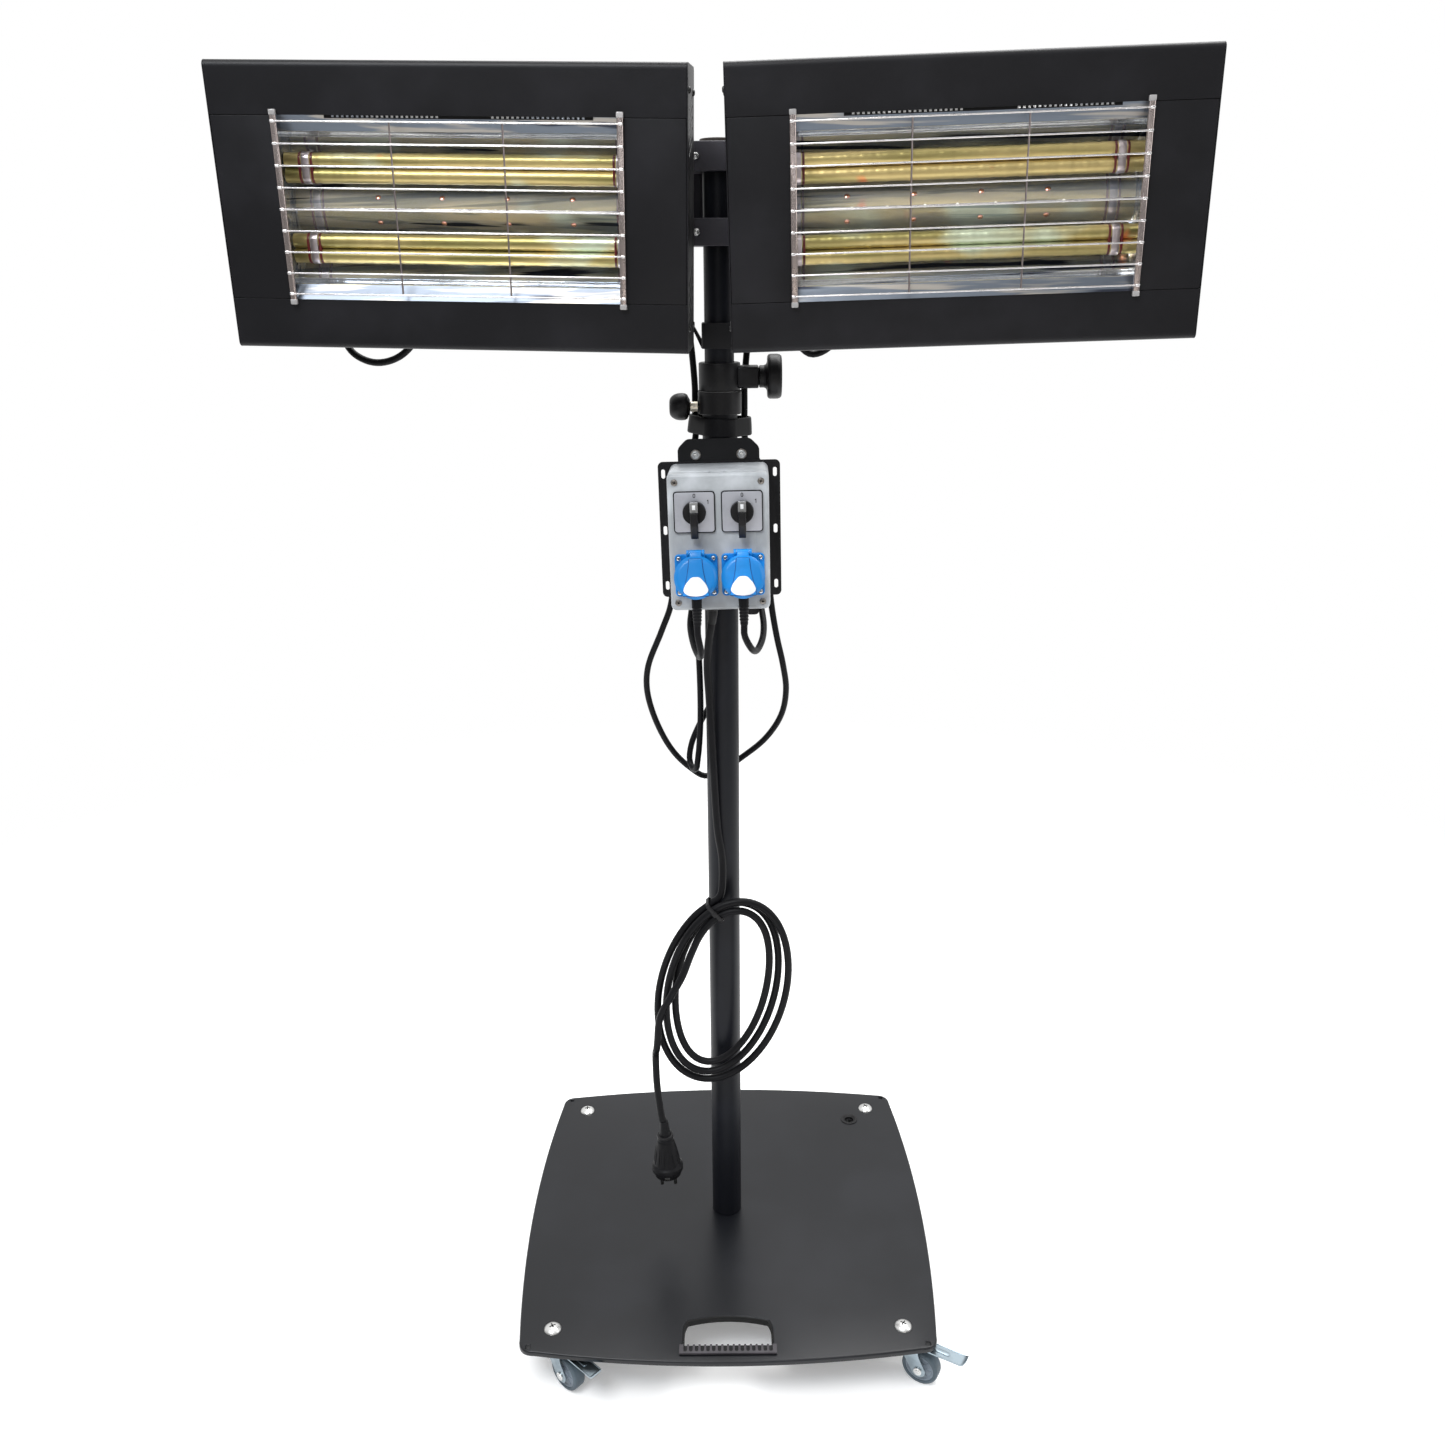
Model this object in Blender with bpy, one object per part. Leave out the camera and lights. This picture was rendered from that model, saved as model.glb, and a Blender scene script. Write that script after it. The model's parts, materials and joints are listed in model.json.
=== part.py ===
"""Twin infrared heater on a telescopic mast with a castor base, in metres with +Z up.

The origin is on the floor under the mast, and the heads face -Y.
"""

import math

import bmesh
import bpy
from mathutils import Matrix, Vector

# Shared fits and settings
gap = 0.0003
cut_overrun = 0.004
round_sides = 16
small_sides = 8
pivot_sides = 10
wheel_sides = 16

# Base plate, handle hole and castor places
plate_half_x = 0.275
plate_half_y = 0.271
plate_bow_x = 0.015
plate_bow_y = 0.019
plate_corner = 0.022
plate_thickness = 0.008
plate_top = 0.075
handle_half_width = 0.0595
handle_front_y = -0.2667
handle_back_y = -0.222
handle_arch = 0.009
handle_corner = 0.010
grip_half_width = 0.0635
grip_depth = 0.0145
grip_rise = 0.0034
grip_wall = 0.0026
grip_drop = 0.012
grip_ribs = 16
castor_place = 0.233
drain_place = 0.262
drain_side = 0.006
bush_x = 0.203
bush_y = 0.205
bush_radius = 0.016
bush_bore = 0.0115
bush_height = 0.0025

# Castors
wheel_radius = 0.025
wheel_width = 0.018
wheel_bore = 0.0033
castor_trail = 0.028
axle_radius = 0.003
fork_leg = 0.002
fork_leg_clear = 0.0025
crown_thickness = 0.0025
crown_half_length = 0.017
race_radius = 0.018
race_height = 0.0028
castor_bolt_radius = 0.005
castor_nut_radius = 0.008
castor_nut_height = 0.004
bolt_head_radius = 0.0115
bolt_head_height = 0.006
pedal_pivot_x = 0.014
pedal_pivot_radius = 0.0022
pedal_lift = 0.0026
pedal_reach = 0.086
pedal_width = 0.019
pedal_thickness = 0.002
pedal_lip = 0.0065

# Mast tubes, collar, clamp knob and lock pin
outer_radius = 0.0212
outer_wall = 0.0023
outer_top = 1.275
inner_radius = 0.0175
inner_wall = 0.002
inner_foot = 0.47
index_holes = 7
index_pitch = 0.100
mast_top = 1.5386
collar_rise = 0.025
collar_lap = 0.035
collar_skirt_height = 0.027
collar_top = outer_top + collar_rise
collar_foot = outer_top - collar_lap
collar_step = collar_foot + collar_skirt_height
collar_radius = 0.0248
collar_skirt = 0.0262
boss_reach = 0.047
boss_half_depth = 0.013
boss_half_height = 0.013
knob_drop = 0.017
knob_height = collar_top - knob_drop
knob_radius = 0.026
knob_length = 0.027
knob_stem = 0.004
pin_rise = 0.0085
pin_height = collar_foot + pin_rise
pin_radius = 0.003
bush_shaft_radius = 0.006
bush_shaft_end = 0.0355
pin_knob_radius = 0.0160
pin_knob_length = 0.025
foot_bolt_radius = 0.006
foot_washer_radius = 0.020
foot_washer = 0.003
foot_head_radius = 0.011
foot_head_height = 0.007
foot_plug_height = 0.030

# Cable guide and head clamp
guide_foot = 1.316
guide_top = 1.345
guide_half_width = 0.0205
guide_flare = 0.0345
guide_half_depth = 0.0215
guide_wing_depth = 0.012
guide_wing = 0.003
clamp_half_width = 0.054
clamp_half_depth = 0.026
clamp_upper_foot = 1.5078
clamp_lower_top = 1.4588
clamp_lower_foot = 1.429
clamp_web_half = 0.030
clamp_web = 0.004
clamp_screw_x = 0.029
clamp_screw_radius = 0.0042
clamp_screw_head = 0.0022
cap_radius = 0.0205
cap_height = 0.004
cap_seat = 0.002

# Head mounting: pan axis, tilt axis, and the angles that the heads stand at
pan_x = 0.040
pan_barrel = 0.0115
pan_pin = 0.004
tilt_reach = 0.040
tilt_pin = 0.004
tongue_near = 0.028
tongue_far = 0.054
tongue_radius = 0.011
arm_half_height = 0.009
ear_sheet = 0.0024
ear_radius = 0.014
bracket_sheet = 0.0025
bracket_half_height = 0.030
bracket_length = 0.150
head_back = 0.0265
head_drop = 0.0130
left_yaw = math.radians(-3.7)
left_pitch = math.radians(4.4)
left_roll = math.radians(1.33)
right_yaw = math.radians(-1.4)
right_pitch = math.radians(3.9)
right_roll = math.radians(-1.39)
left_inner_edge = 0.0180
right_inner_edge = 0.0265

# Head housing, reflector, lamps and guard
head_width = 0.498
head_height = 0.284
head_depth = 0.077
head_sheet = 0.0015
head_bend = 0.007
opening_half_width = 0.183
opening_half_height = 0.090
louvre_count = 3
louvre_pitch = 0.020
louvre_length = 0.045
louvre_slot = 0.003
louvre_group = 0.085
louvre_slant = math.radians(24)
reflector_sheet = 0.002
reflector_depth = 0.0515
reflector_ridge = 0.020
reflector_half_width = 0.1905
reflector_half_height = 0.0935
trough_steps = 4
lamp_tube_radius = 0.0079
lamp_tube_pitch = 0.0152
lamp_half_length = 0.186
lamp_setback = 0.0337
lamp_clip_x = 0.150
lamp_stem_radius = 0.003
lamp_place = 0.0405
lamp_cap_length = 0.016
lamp_cap_half_height = 0.0172
lamp_cap_half_depth = 0.0098
guard_wires = 9
guard_wire_radius = 0.0015
guard_pitch = 0.0212
guard_end_x = 0.1800
guard_end_half = 0.0032
guard_end_depth = 0.005
guard_end_overhang = 0.0055
guard_nub = 0.0035
guard_tie_x = 0.0555
guard_tie_half = 0.0009
gland_radius = 0.009
gland_length = 0.016
gland_x = -0.170
gland_z = -0.090

# Control box and its carrier
box_yaw = math.radians(-1.07)
box_roll = math.radians(-1.0)
box_centre_z = 1.1045
box_half_width = 0.0588
box_half_height = 0.0805
box_front = 0.110
box_corner = 0.006
lid_depth = 0.020
box_wall = 0.0025
carrier_sheet = 0.0025
back_half_width = 0.0735
back_half_height = 0.083
back_corner = 0.006
slot_x = 0.0672
slot_pitch = 0.0685
slot_half_width = 0.0023
slot_half_height = 0.0055
tab_half_width = 0.049
tab_top = 0.1089
tab_chamfer = 0.011
tab_foot = -0.1085
tab_foot_x = 0.037
tab_foot_half = 0.0085
tab_bolt_x = 0.0276
tab_bolt_z = 0.0900
tab_bolt_radius = 0.0048
tab_bolt_head = 0.0035
saddle_half_height = 0.010
saddle_sheet = 0.0028
saddle_ear = 0.034
switch_x = 0.0274
switch_z = 0.0365
switch_half = 0.024
switch_plate_depth = 0.0026
switch_corner = 0.004
switch_neck = 0.010
switch_body_half = 0.0215
switch_body_depth = 0.036
switch_knob_radius = 0.0135
switch_knob_depth = 0.009
switch_lever_half = 0.0042
switch_lever_length = 0.029
switch_lever_depth = 0.019
switch_stem = 0.004
socket_x = 0.0272
socket_z = -0.0370
socket_half = 0.025
socket_flange = 0.003
socket_cup = 0.0222
socket_recess = 0.0195
socket_rim = 0.012
socket_depth = 0.022
socket_floor = 0.004
socket_pin_place = 0.0095
socket_pin_bore = 0.0028
plug_pin_radius = 0.0024
plug_pin_length = 0.013
plug_radius = 0.0188
plug_rise = 0.0140
plug_sleeve_radius = 0.0065
plug_sleeve_z = -0.0925
cover_radius = 0.0252
cover_wall = 0.002
cover_offset = 0.001
cover_crown = 0.019
cover_dome = 0.004
cover_band = 0.0012
cover_band_top = 0.006
cover_band_foot = 0.0125
cover_angle = math.radians(17)
hinge_z = 0.0285
hinge_inset = 0.002
hinge_half = 0.0105
hinge_radius = 0.0036
hinge_pin = 0.0014
hinge_ear = 0.003
box_gland_x = -0.012
box_gland_y = -0.050
box_gland_radius = 0.009
box_gland_length = 0.014

# Cords, strap, tie and supply plug
lead_radius = 0.004
supply_radius = 0.005
cord_step_share = 3.0
strap_foot = 1.2145
strap_height = 0.0175
strap_sheet = 0.0028
strap_tilt = math.radians(3.0)
strap_half_width = 0.0370
strap_back = 0.0290
strap_corner = 0.007
cord_pass_x = 0.030
cord_pass_y = 0.0222
cord_pass_z = 1.2430
coil_centre_z = 0.468
coil_y = -0.0400
coil_half_long = 0.150
coil_half_wide = 0.091
coil_lean = math.radians(15)
coil_turns = 3.26
coil_full_turns = 3.0
coil_forward_share = 1.6
coil_crossing = 0.0135
coil_loop_points = 24
coil_spread = 0.0142
coil_bunch = 0.0060
coil_layer = 0.0056
coil_start_angle = math.radians(-33)
tie_half_height = 0.0026
tie_sheet = 0.0018
tie_slack = 0.0018
supply_plug_top = 0.0110
supply_plug_wide = 0.0222
supply_plug_front = 0.0190
supply_plug_length = 0.066
supply_flange_height = 0.008
supply_pin_radius = 0.0024
supply_pin_length = 0.019
supply_pin_place = 0.0095

# Finishes: colour, roughness, metallic
black_coat = ((0.012, 0.012, 0.013), 0.55, 0.0)
base_coat = ((0.030, 0.031, 0.034), 0.65, 0.0)
black_plastic = ((0.016, 0.016, 0.017), 0.5, 0.0)
black_rubber = ((0.012, 0.012, 0.012), 0.6, 0.0)
zinc = ((0.62, 0.64, 0.66), 0.35, 1.0)
wheel_grey = ((0.20, 0.22, 0.24), 0.6, 0.0)
brushed = ((0.55, 0.60, 0.66), 0.4, 0.6)
mirror_sheet = ((0.86, 0.87, 0.88), 0.08, 1.0)
chrome = ((0.80, 0.80, 0.81), 0.15, 1.0)
gold_quartz = ((0.75, 0.58, 0.22), 0.2, 0.5)
grey_plastic = ((0.58, 0.59, 0.60), 0.45, 0.0)
socket_blue = ((0.02, 0.16, 0.68), 0.35, 0.0)


# Shapes, each added to a bmesh in the frame of the object that carries it
def placed(bm, points, frame):
    """Adds vertices at the points, carried by the frame."""
    return [bm.verts.new(frame @ Vector(p)) for p in points]


def box(bm, low, high, frame=Matrix.Identity(4)):
    """A box between two opposite corners."""
    corners = [(x, y, z) for z in (low[2], high[2]) for y in (low[1], high[1]) for x in (low[0], high[0])]
    v = placed(bm, corners, frame)
    for ring in ((0, 2, 3, 1), (4, 5, 7, 6), (0, 1, 5, 4), (2, 6, 7, 3), (0, 4, 6, 2), (1, 3, 7, 5)):
        bm.faces.new([v[i] for i in ring])
    return bm


AXIS_MAPS = {
    "X": lambda a, b, t: (t, a, b),
    "Y": lambda a, b, t: (a, t, b),
    "Z": lambda a, b, t: (a, b, t),
}


def prism(bm, outline, low, high, axis="Z", frame=Matrix.Identity(4)):
    """An outline drawn across the axis and extruded from low to high along it."""
    put = AXIS_MAPS[axis]
    foot = placed(bm, [put(a, b, low) for a, b in outline], frame)
    head = placed(bm, [put(a, b, high) for a, b in outline], frame)
    count = len(outline)
    bm.faces.new(foot[::-1])
    bm.faces.new(head)
    for i in range(count):
        bm.faces.new((foot[i], foot[(i + 1) % count], head[(i + 1) % count], head[i]))
    return bm


def loft(bm, sections, axis="Z", frame=Matrix.Identity(4)):
    """Outlines of equal count, each at its own place along the axis, joined in a row."""
    put = AXIS_MAPS[axis]
    rings = [placed(bm, [put(a, b, t) for a, b in outline], frame) for outline, t in sections]
    count = len(rings[0])
    bm.faces.new(rings[0][::-1])
    bm.faces.new(rings[-1])
    for low, high in zip(rings, rings[1:]):
        for i in range(count):
            bm.faces.new((low[i], low[(i + 1) % count], high[(i + 1) % count], high[i]))
    return bm


def lathe(bm, profile, axis="Z", sides=round_sides, frame=Matrix.Identity(4)):
    """A closed profile of (radius, height) turned once round the axis."""
    put = AXIS_MAPS[axis]
    rings = []
    for radius, height in profile:
        if radius == 0:
            rings.append(placed(bm, [put(0, 0, height)], frame))
            continue
        turns = [2 * math.pi * k / sides for k in range(sides)]
        rings.append(placed(bm, [put(radius * math.cos(t), radius * math.sin(t), height) for t in turns], frame))
    for low, high in zip(rings, rings[1:] + rings[:1]):
        if len(low) == len(high) == 1:
            continue
        for k in range(sides):
            n = (k + 1) % sides
            ring = [low[k % len(low)], low[n % len(low)], high[n % len(high)], high[k % len(high)]]
            bm.faces.new(list(dict.fromkeys(ring)))
    return bm


def rod(bm, radius, low, high, axis="Z", sides=small_sides, at=(0, 0), frame=Matrix.Identity(4)):
    """A round bar along the axis, centred at two coordinates across it."""
    shift = Matrix.Translation(Vector(AXIS_MAPS[axis](at[0], at[1], 0)))
    return lathe(bm, [(0, low), (radius, low), (radius, high), (0, high)], axis, sides, frame @ shift)


def rounded(half_a, half_b, corner, steps=3, centre=(0, 0)):
    """The outline of a rectangle with round corners."""
    points = []
    for k, (sa, sb) in enumerate(((1, 1), (-1, 1), (-1, -1), (1, -1))):
        for i in range(steps + 1):
            turn = math.pi / 2 * (k + i / steps)
            a = sa * (half_a - corner) + corner * math.cos(turn)
            b = sb * (half_b - corner) + corner * math.sin(turn)
            points.append((centre[0] + a, centre[1] + b))
    return points


# Objects, finishes and boolean steps
def clear_scene():
    """Empties the scene that the script starts in."""
    for old in list(bpy.data.objects):
        bpy.data.objects.remove(old, do_unlink=True)


def finish_material(name, finish):
    """A Principled material from a colour, roughness and metallic value."""
    colour, roughness, metallic = finish
    made = bpy.data.materials.new(name)
    made.use_nodes = True
    shader = made.node_tree.nodes["Principled BSDF"]
    shader.inputs["Base Color"].default_value = (*colour, 1.0)
    shader.inputs["Roughness"].default_value = roughness
    shader.inputs["Metallic"].default_value = metallic
    return made


def link(name, data, parent):
    """Links an object under its parent's frame."""
    made = bpy.data.objects.new(name, data)
    bpy.context.scene.collection.objects.link(made)
    made.parent = parent
    return made


def solid(name, bm, finish, parent=None):
    """Turns a bmesh into a named, shaded object in its parent's frame."""
    bmesh.ops.recalc_face_normals(bm, faces=bm.faces)
    mesh = bpy.data.meshes.new(name)
    bm.to_mesh(mesh)
    bm.free()
    mesh.shade_smooth()
    mesh.set_sharp_from_angle(angle=math.radians(35))
    mesh.materials.append(finish_material(name + "_finish", finish))
    return link(name, mesh, parent)


def reshape(target, kind, bm, frame=None):
    """Joins or cuts the target with a shape drawn in its own frame or in another."""
    bmesh.ops.recalc_face_normals(bm, faces=bm.faces)
    label = f"{target.name}_{kind.lower()}_{len(target.modifiers)}"
    mesh = bpy.data.meshes.new(label)
    bm.to_mesh(mesh)
    bm.free()
    helper = link(label, mesh, frame or target.parent)
    helper.hide_render = True
    helper.display_type = "WIRE"
    step = target.modifiers.new(label, "BOOLEAN")
    step.operation = kind
    step.solver = "EXACT"
    step.object = helper
    return target


def join(target, bm, frame=None):
    """Unites the target with a shape."""
    return reshape(target, "UNION", bm, frame)


def cut(target, bm, frame=None):
    """Takes a shape out of the target."""
    return reshape(target, "DIFFERENCE", bm, frame)


def frame_empty(name, parent=None, place=(0, 0, 0), turn=(0, 0, 0), order="XYZ"):
    """An empty whose axes are a joint's or an assembly's frame."""
    made = link(name, None, parent)
    made.location = place
    made.rotation_mode = order
    made.rotation_euler = turn
    bpy.context.view_layer.update()
    return made


# Base plate
def plate_outline():
    """The bowed square of the base, with its corners rounded off."""
    corner_x, corner_y = plate_half_x, plate_half_y
    points = []
    sides = (((1, -1), (1, 1)), ((1, 1), (-1, 1)), ((-1, 1), (-1, -1)), ((-1, -1), (1, -1)))
    for side, (start, end) in enumerate(sides):
        along_y = side % 2 == 0
        half = corner_y if along_y else corner_x
        limit = (half - plate_corner) / half
        for k in range(7):
            t = limit * (k / 3 - 1)
            bow = 1 - (t / limit) ** 2
            a = (start[0] + (end[0] - start[0]) * (t + 1) / 2) * corner_x
            b = (start[1] + (end[1] - start[1]) * (t + 1) / 2) * corner_y
            if along_y:
                a += math.copysign(plate_bow_x * bow, start[0])
            else:
                b += math.copysign(plate_bow_y * bow, start[1])
            points.append((a, b))
        turn = end
        for share in (0.25, 0.5, 0.75):
            run = 1 - share
            inset_a = plate_corner * (share**2 if along_y else run**2)
            inset_b = plate_corner * (run**2 if along_y else share**2)
            points.append((turn[0] * (corner_x - inset_a), turn[1] * (corner_y - inset_b)))
    return points


def handle_outline():
    """The carrying hole, straight in front and arched behind."""
    front = rounded(handle_half_width, (handle_back_y - handle_front_y) / 2, handle_corner)
    middle = (handle_back_y + handle_front_y) / 2
    points = []
    for a, b in front:
        rise = handle_arch * (1 - (a / handle_half_width) ** 2) if b > 0 else 0
        points.append((a, middle + b + rise))
    arch = []
    for k in range(1, 6):
        a = (handle_half_width - handle_corner) * (1 - k / 3)
        arch.append((a, handle_back_y + handle_arch * (1 - (a / handle_half_width) ** 2)))
    return points[:4] + arch + points[4:]


def castor_places():
    """Name, place and trailing angle of each castor."""
    angles = {"front_left": -43, "front_right": -30, "rear_left": 205, "rear_right": 62}
    signs = {"front_left": (-1, -1), "front_right": (1, -1), "rear_left": (-1, 1), "rear_right": (1, 1)}
    return [(n, signs[n][0] * castor_place, signs[n][1] * castor_place, math.radians(angles[n])) for n in angles]


plate_foot = plate_top - plate_thickness
race_foot = plate_foot - race_height
crown_underside = race_foot - gap - crown_thickness
axle_z = wheel_radius
leg_inner = wheel_width / 2 + fork_leg_clear
leg_outer = leg_inner + fork_leg
pedal_z = crown_underside - pedal_thickness / 2 - pedal_lift


def make_base_plate():
    """The plate with its handle hole, drain holes, rear bush and castor bolts."""
    plate = solid("base_plate", prism(bmesh.new(), plate_outline(), plate_foot, plate_top), base_coat)
    holes = prism(bmesh.new(), handle_outline(), plate_foot - cut_overrun, plate_top + cut_overrun)
    for sx in (-1, 1):
        for sy in (-1, 1):
            x, y, half = sx * drain_place, sy * drain_place, drain_side / 2
            box(holes, (x - half, y - half, plate_foot - cut_overrun), (x + half, y + half, plate_top + cut_overrun))
    cut(plate, holes)
    bush = rod(bmesh.new(), bush_radius, plate_foot - bush_height, plate_foot + plate_thickness / 2, at=(bush_x, bush_y))
    join(plate, bush)
    bore = rod(bmesh.new(), bush_bore, plate_foot - bush_height - cut_overrun, plate_top + cut_overrun, at=(bush_x, bush_y))
    rod(bore, foot_bolt_radius + 2 * gap, plate_foot - cut_overrun, plate_top + cut_overrun)
    cut(plate, bore)
    bolts = bmesh.new()
    head_radius, shank, nut = bolt_head_radius, castor_bolt_radius, castor_nut_radius
    middle = (plate_top + plate_foot) / 2
    nut_top = crown_underside - gap
    nut_foot = nut_top - castor_nut_height
    profile = [(0, plate_top + bolt_head_height), (head_radius * 0.6, plate_top + bolt_head_height * 0.86)]
    profile += [(head_radius, middle), (race_radius, middle)]
    profile += [(race_radius, race_foot), (shank, race_foot), (shank, nut_top), (nut, nut_top), (nut, nut_foot), (0, nut_foot)]
    for _, x, y, _ in castor_places():
        lathe(bolts, profile, sides=small_sides, frame=Matrix.Translation((x, y, 0)))
    join(plate, bolts)


def make_grip():
    """The ribbed insert that lines the front edge of the handle hole."""
    top = plate_top + gap + grip_rise
    back = handle_front_y + grip_wall
    front = back - grip_depth
    pitch = 2 * grip_half_width / grip_ribs
    comb = [(-grip_half_width, plate_top + gap)]
    for k in range(grip_ribs):
        left = -grip_half_width + k * pitch
        comb += [(left + pitch * share, top - grip_rise * drop) for share, drop in ((0.1, 0.45), (0.35, 0), (0.75, 0))]
    comb.append((grip_half_width, plate_top + gap))
    grip = solid("handle_grip", prism(bmesh.new(), comb, front, back, "Y"), black_plastic)
    wall = box(bmesh.new(), (-handle_half_width + handle_corner, handle_front_y + gap, plate_top - grip_drop), (handle_half_width - handle_corner, back, plate_top + grip_rise / 2))
    join(grip, wall)


# Castors
def make_fork(name, frame):
    """The swivel crown, its two legs and the axle."""
    foot_round = [(castor_trail + 0.4 * wheel_radius * math.cos(t), axle_z + 0.4 * wheel_radius * math.sin(t)) for t in [math.radians(a) for a in (20, -25, -70, -115, -160)]]
    leg = [(-crown_half_length, crown_underside + crown_thickness), (-crown_half_length, crown_underside - crown_thickness)]
    leg = foot_round[::-1] + [(castor_trail * 0.9, crown_underside + crown_thickness)] + leg
    fork = bmesh.new()
    prism(fork, leg, leg_inner, leg_outer, "Y")
    made = solid(name, fork, zinc, frame)
    join(made, prism(bmesh.new(), leg, -leg_outer, -leg_inner, "Y"))
    crown = [(-crown_half_length, crown_underside), (castor_trail * 0.88, crown_underside)]
    crown += [(castor_trail * 0.88, crown_underside + crown_thickness), (-crown_half_length, crown_underside + crown_thickness)]
    join(made, prism(bmesh.new(), crown, -leg_outer + gap, leg_outer - gap, "Y"))
    join(made, rod(bmesh.new(), axle_radius, -leg_outer - fork_leg, leg_outer + fork_leg, "Y", 6, (castor_trail, axle_z)))
    cut(made, rod(bmesh.new(), castor_bolt_radius + 2 * gap, crown_underside - cut_overrun, race_foot + cut_overrun))
    return made


def make_wheel(name, frame):
    """The wheel with its tyre, round bore and sunk sides."""
    half = wheel_width / 2
    hub = wheel_radius * 0.28
    rim = wheel_radius * 0.76
    sunk = half * 0.72
    profile = [(wheel_bore, -half), (hub, -half), (rim, -sunk), (rim, -half * 0.92), (wheel_radius, -half * 0.5)]
    profile += [(r, -z) for r, z in profile[::-1]]
    return solid(name, lathe(bmesh.new(), profile, "Y", wheel_sides), wheel_grey, frame)


def make_pedal(name, frame):
    """The brake pedal on its pivot pin, with a turned-up toe."""
    half = pedal_thickness / 2
    reach = pedal_reach - pedal_pivot_x
    low, high = -half, half
    side = [(-pedal_pivot_radius * 2, low), (reach, low), (reach + pedal_lip * 0.6, pedal_lip), (reach + pedal_lip * 0.6 - pedal_thickness, pedal_lip), (reach - pedal_thickness, high), (-pedal_pivot_radius * 2, high)]
    pedal = solid(name, prism(bmesh.new(), side, -pedal_width / 2, pedal_width / 2, "Y"), zinc, frame)
    join(pedal, rod(bmesh.new(), pedal_pivot_radius, -leg_outer, leg_outer, "Y"))
    return pedal


def make_castors():
    """Four castors, the front two with brake pedals."""
    for name, x, y, angle in castor_places():
        swivel = frame_empty(name + "_swivel", None, (x, y, 0), (0, 0, angle))
        fork = make_fork(name + "_fork", swivel)
        axle = frame_empty(name + "_axle", swivel, (castor_trail, 0, axle_z))
        make_wheel(name + "_wheel", axle)
        if name.startswith("front"):
            cut(fork, rod(bmesh.new(), pedal_pivot_radius + gap, -leg_outer - cut_overrun, leg_outer + cut_overrun, "Y", at=(pedal_pivot_x, pedal_z)))
            pivot = frame_empty(name + "_pedal_pivot", swivel, (pedal_pivot_x, 0, pedal_z))
            make_pedal(name + "_pedal", pivot)


# Mast
def tube_profile(radius, wall, low, high):
    """The wall of a tube as a closed profile."""
    return [(radius, low), (radius, high), (radius - wall, high), (radius - wall, low)]


def make_mast_tube():
    """The outer tube, seated on the plate, with the hole for the lock pin."""
    foot = plate_top + gap
    tube = solid("mast_tube", lathe(bmesh.new(), tube_profile(outer_radius, outer_wall, foot, outer_top)), black_coat)
    cut(tube, rod(bmesh.new(), bush_shaft_radius + gap, -outer_radius - cut_overrun, -outer_radius / 2, "X", at=(0, pin_height)))


def make_foot_bolt():
    """The bolt through the plate into the plug that closes the tube's foot."""
    washer_foot = plate_foot - gap - foot_washer
    head_foot = washer_foot - foot_head_height
    plug_foot = plate_top + gap
    plug = outer_radius - outer_wall - gap
    profile = [(0, head_foot), (foot_head_radius, head_foot), (foot_head_radius, washer_foot), (foot_washer_radius, washer_foot)]
    profile += [(foot_washer_radius, plate_foot - gap), (foot_bolt_radius, plate_foot - gap), (foot_bolt_radius, plug_foot)]
    profile += [(plug, plug_foot), (plug, plug_foot + foot_plug_height), (0, plug_foot + foot_plug_height)]
    solid("mast_foot_bolt", lathe(bmesh.new(), profile), zinc)


def make_collar():
    """The clamp collar over the tube's top, with its boss and pin bush."""
    over = outer_radius + gap
    guide = inner_radius + gap
    seat = outer_top + gap
    profile = [(over, collar_foot), (collar_skirt, collar_foot), (collar_skirt, collar_step), (collar_radius, collar_step + gap * 2)]
    profile += [(collar_radius, collar_top), (guide, collar_top), (guide, seat), (over, seat)]
    collar = solid("clamp_collar", lathe(bmesh.new(), profile), black_plastic)
    inside = (guide + collar_radius) / 2
    boss = box(bmesh.new(), (inside, -boss_half_depth, knob_height - boss_half_height), (boss_reach, boss_half_depth, knob_height + boss_half_height))
    join(collar, boss)
    cut(collar, rod(bmesh.new(), knob_stem + gap, collar_radius * 0.5, boss_reach + cut_overrun, "X", round_sides, (0, knob_height)))
    bush = rod(bmesh.new(), bush_shaft_radius, -bush_shaft_end, -outer_radius + outer_wall / 2, "X", at=(0, pin_height))
    join(collar, bush)
    cut(collar, rod(bmesh.new(), pin_radius + gap, -bush_shaft_end - cut_overrun, -outer_radius / 2, "X", at=(0, pin_height)))


def make_collar_controls():
    """The round clamp knob and the sprung lock pin."""
    axis = frame_empty("clamp_knob_axis", None, (boss_reach, 0, knob_height))
    rim, length = knob_radius, knob_length
    profile = [(0, -(boss_reach - inner_radius - gap * 2)), (knob_stem, -(boss_reach - inner_radius - gap * 2)), (knob_stem, gap), (rim * 0.5, gap)]
    profile += [(rim * 0.62, length * 0.3), (rim * 0.92, length * 0.34), (rim, length * 0.46), (rim, length * 0.84), (rim * 0.9, length), (0, length)]
    solid("clamp_knob", lathe(bmesh.new(), profile, "X"), black_plastic, axis)
    axis = frame_empty("lock_pin_axis", None, (-bush_shaft_end, 0, pin_height))
    tip = bush_shaft_end - inner_radius - gap * 2
    rim, length = pin_knob_radius, pin_knob_length
    profile = [(0, tip), (pin_radius, tip), (pin_radius, -gap), (rim * 0.6, -gap), (rim, -length * 0.25)]
    profile += [(rim, -length * 0.8), (rim * 0.85, -length), (0, -length)]
    solid("lock_pin", lathe(bmesh.new(), profile, "X"), black_plastic, axis)


def make_inner_mast(mast):
    """The inner tube with its index holes."""
    profile = tube_profile(inner_radius, inner_wall, inner_foot, mast_top - cap_seat)
    tube = solid("mast_inner_tube", lathe(bmesh.new(), profile), black_coat, mast)
    holes = bmesh.new()
    for k in range(index_holes):
        rod(holes, pin_radius + gap, -inner_radius - cut_overrun, -inner_radius / 2, "X", 8, (0, pin_height - k * index_pitch))
    cut(tube, holes)


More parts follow.
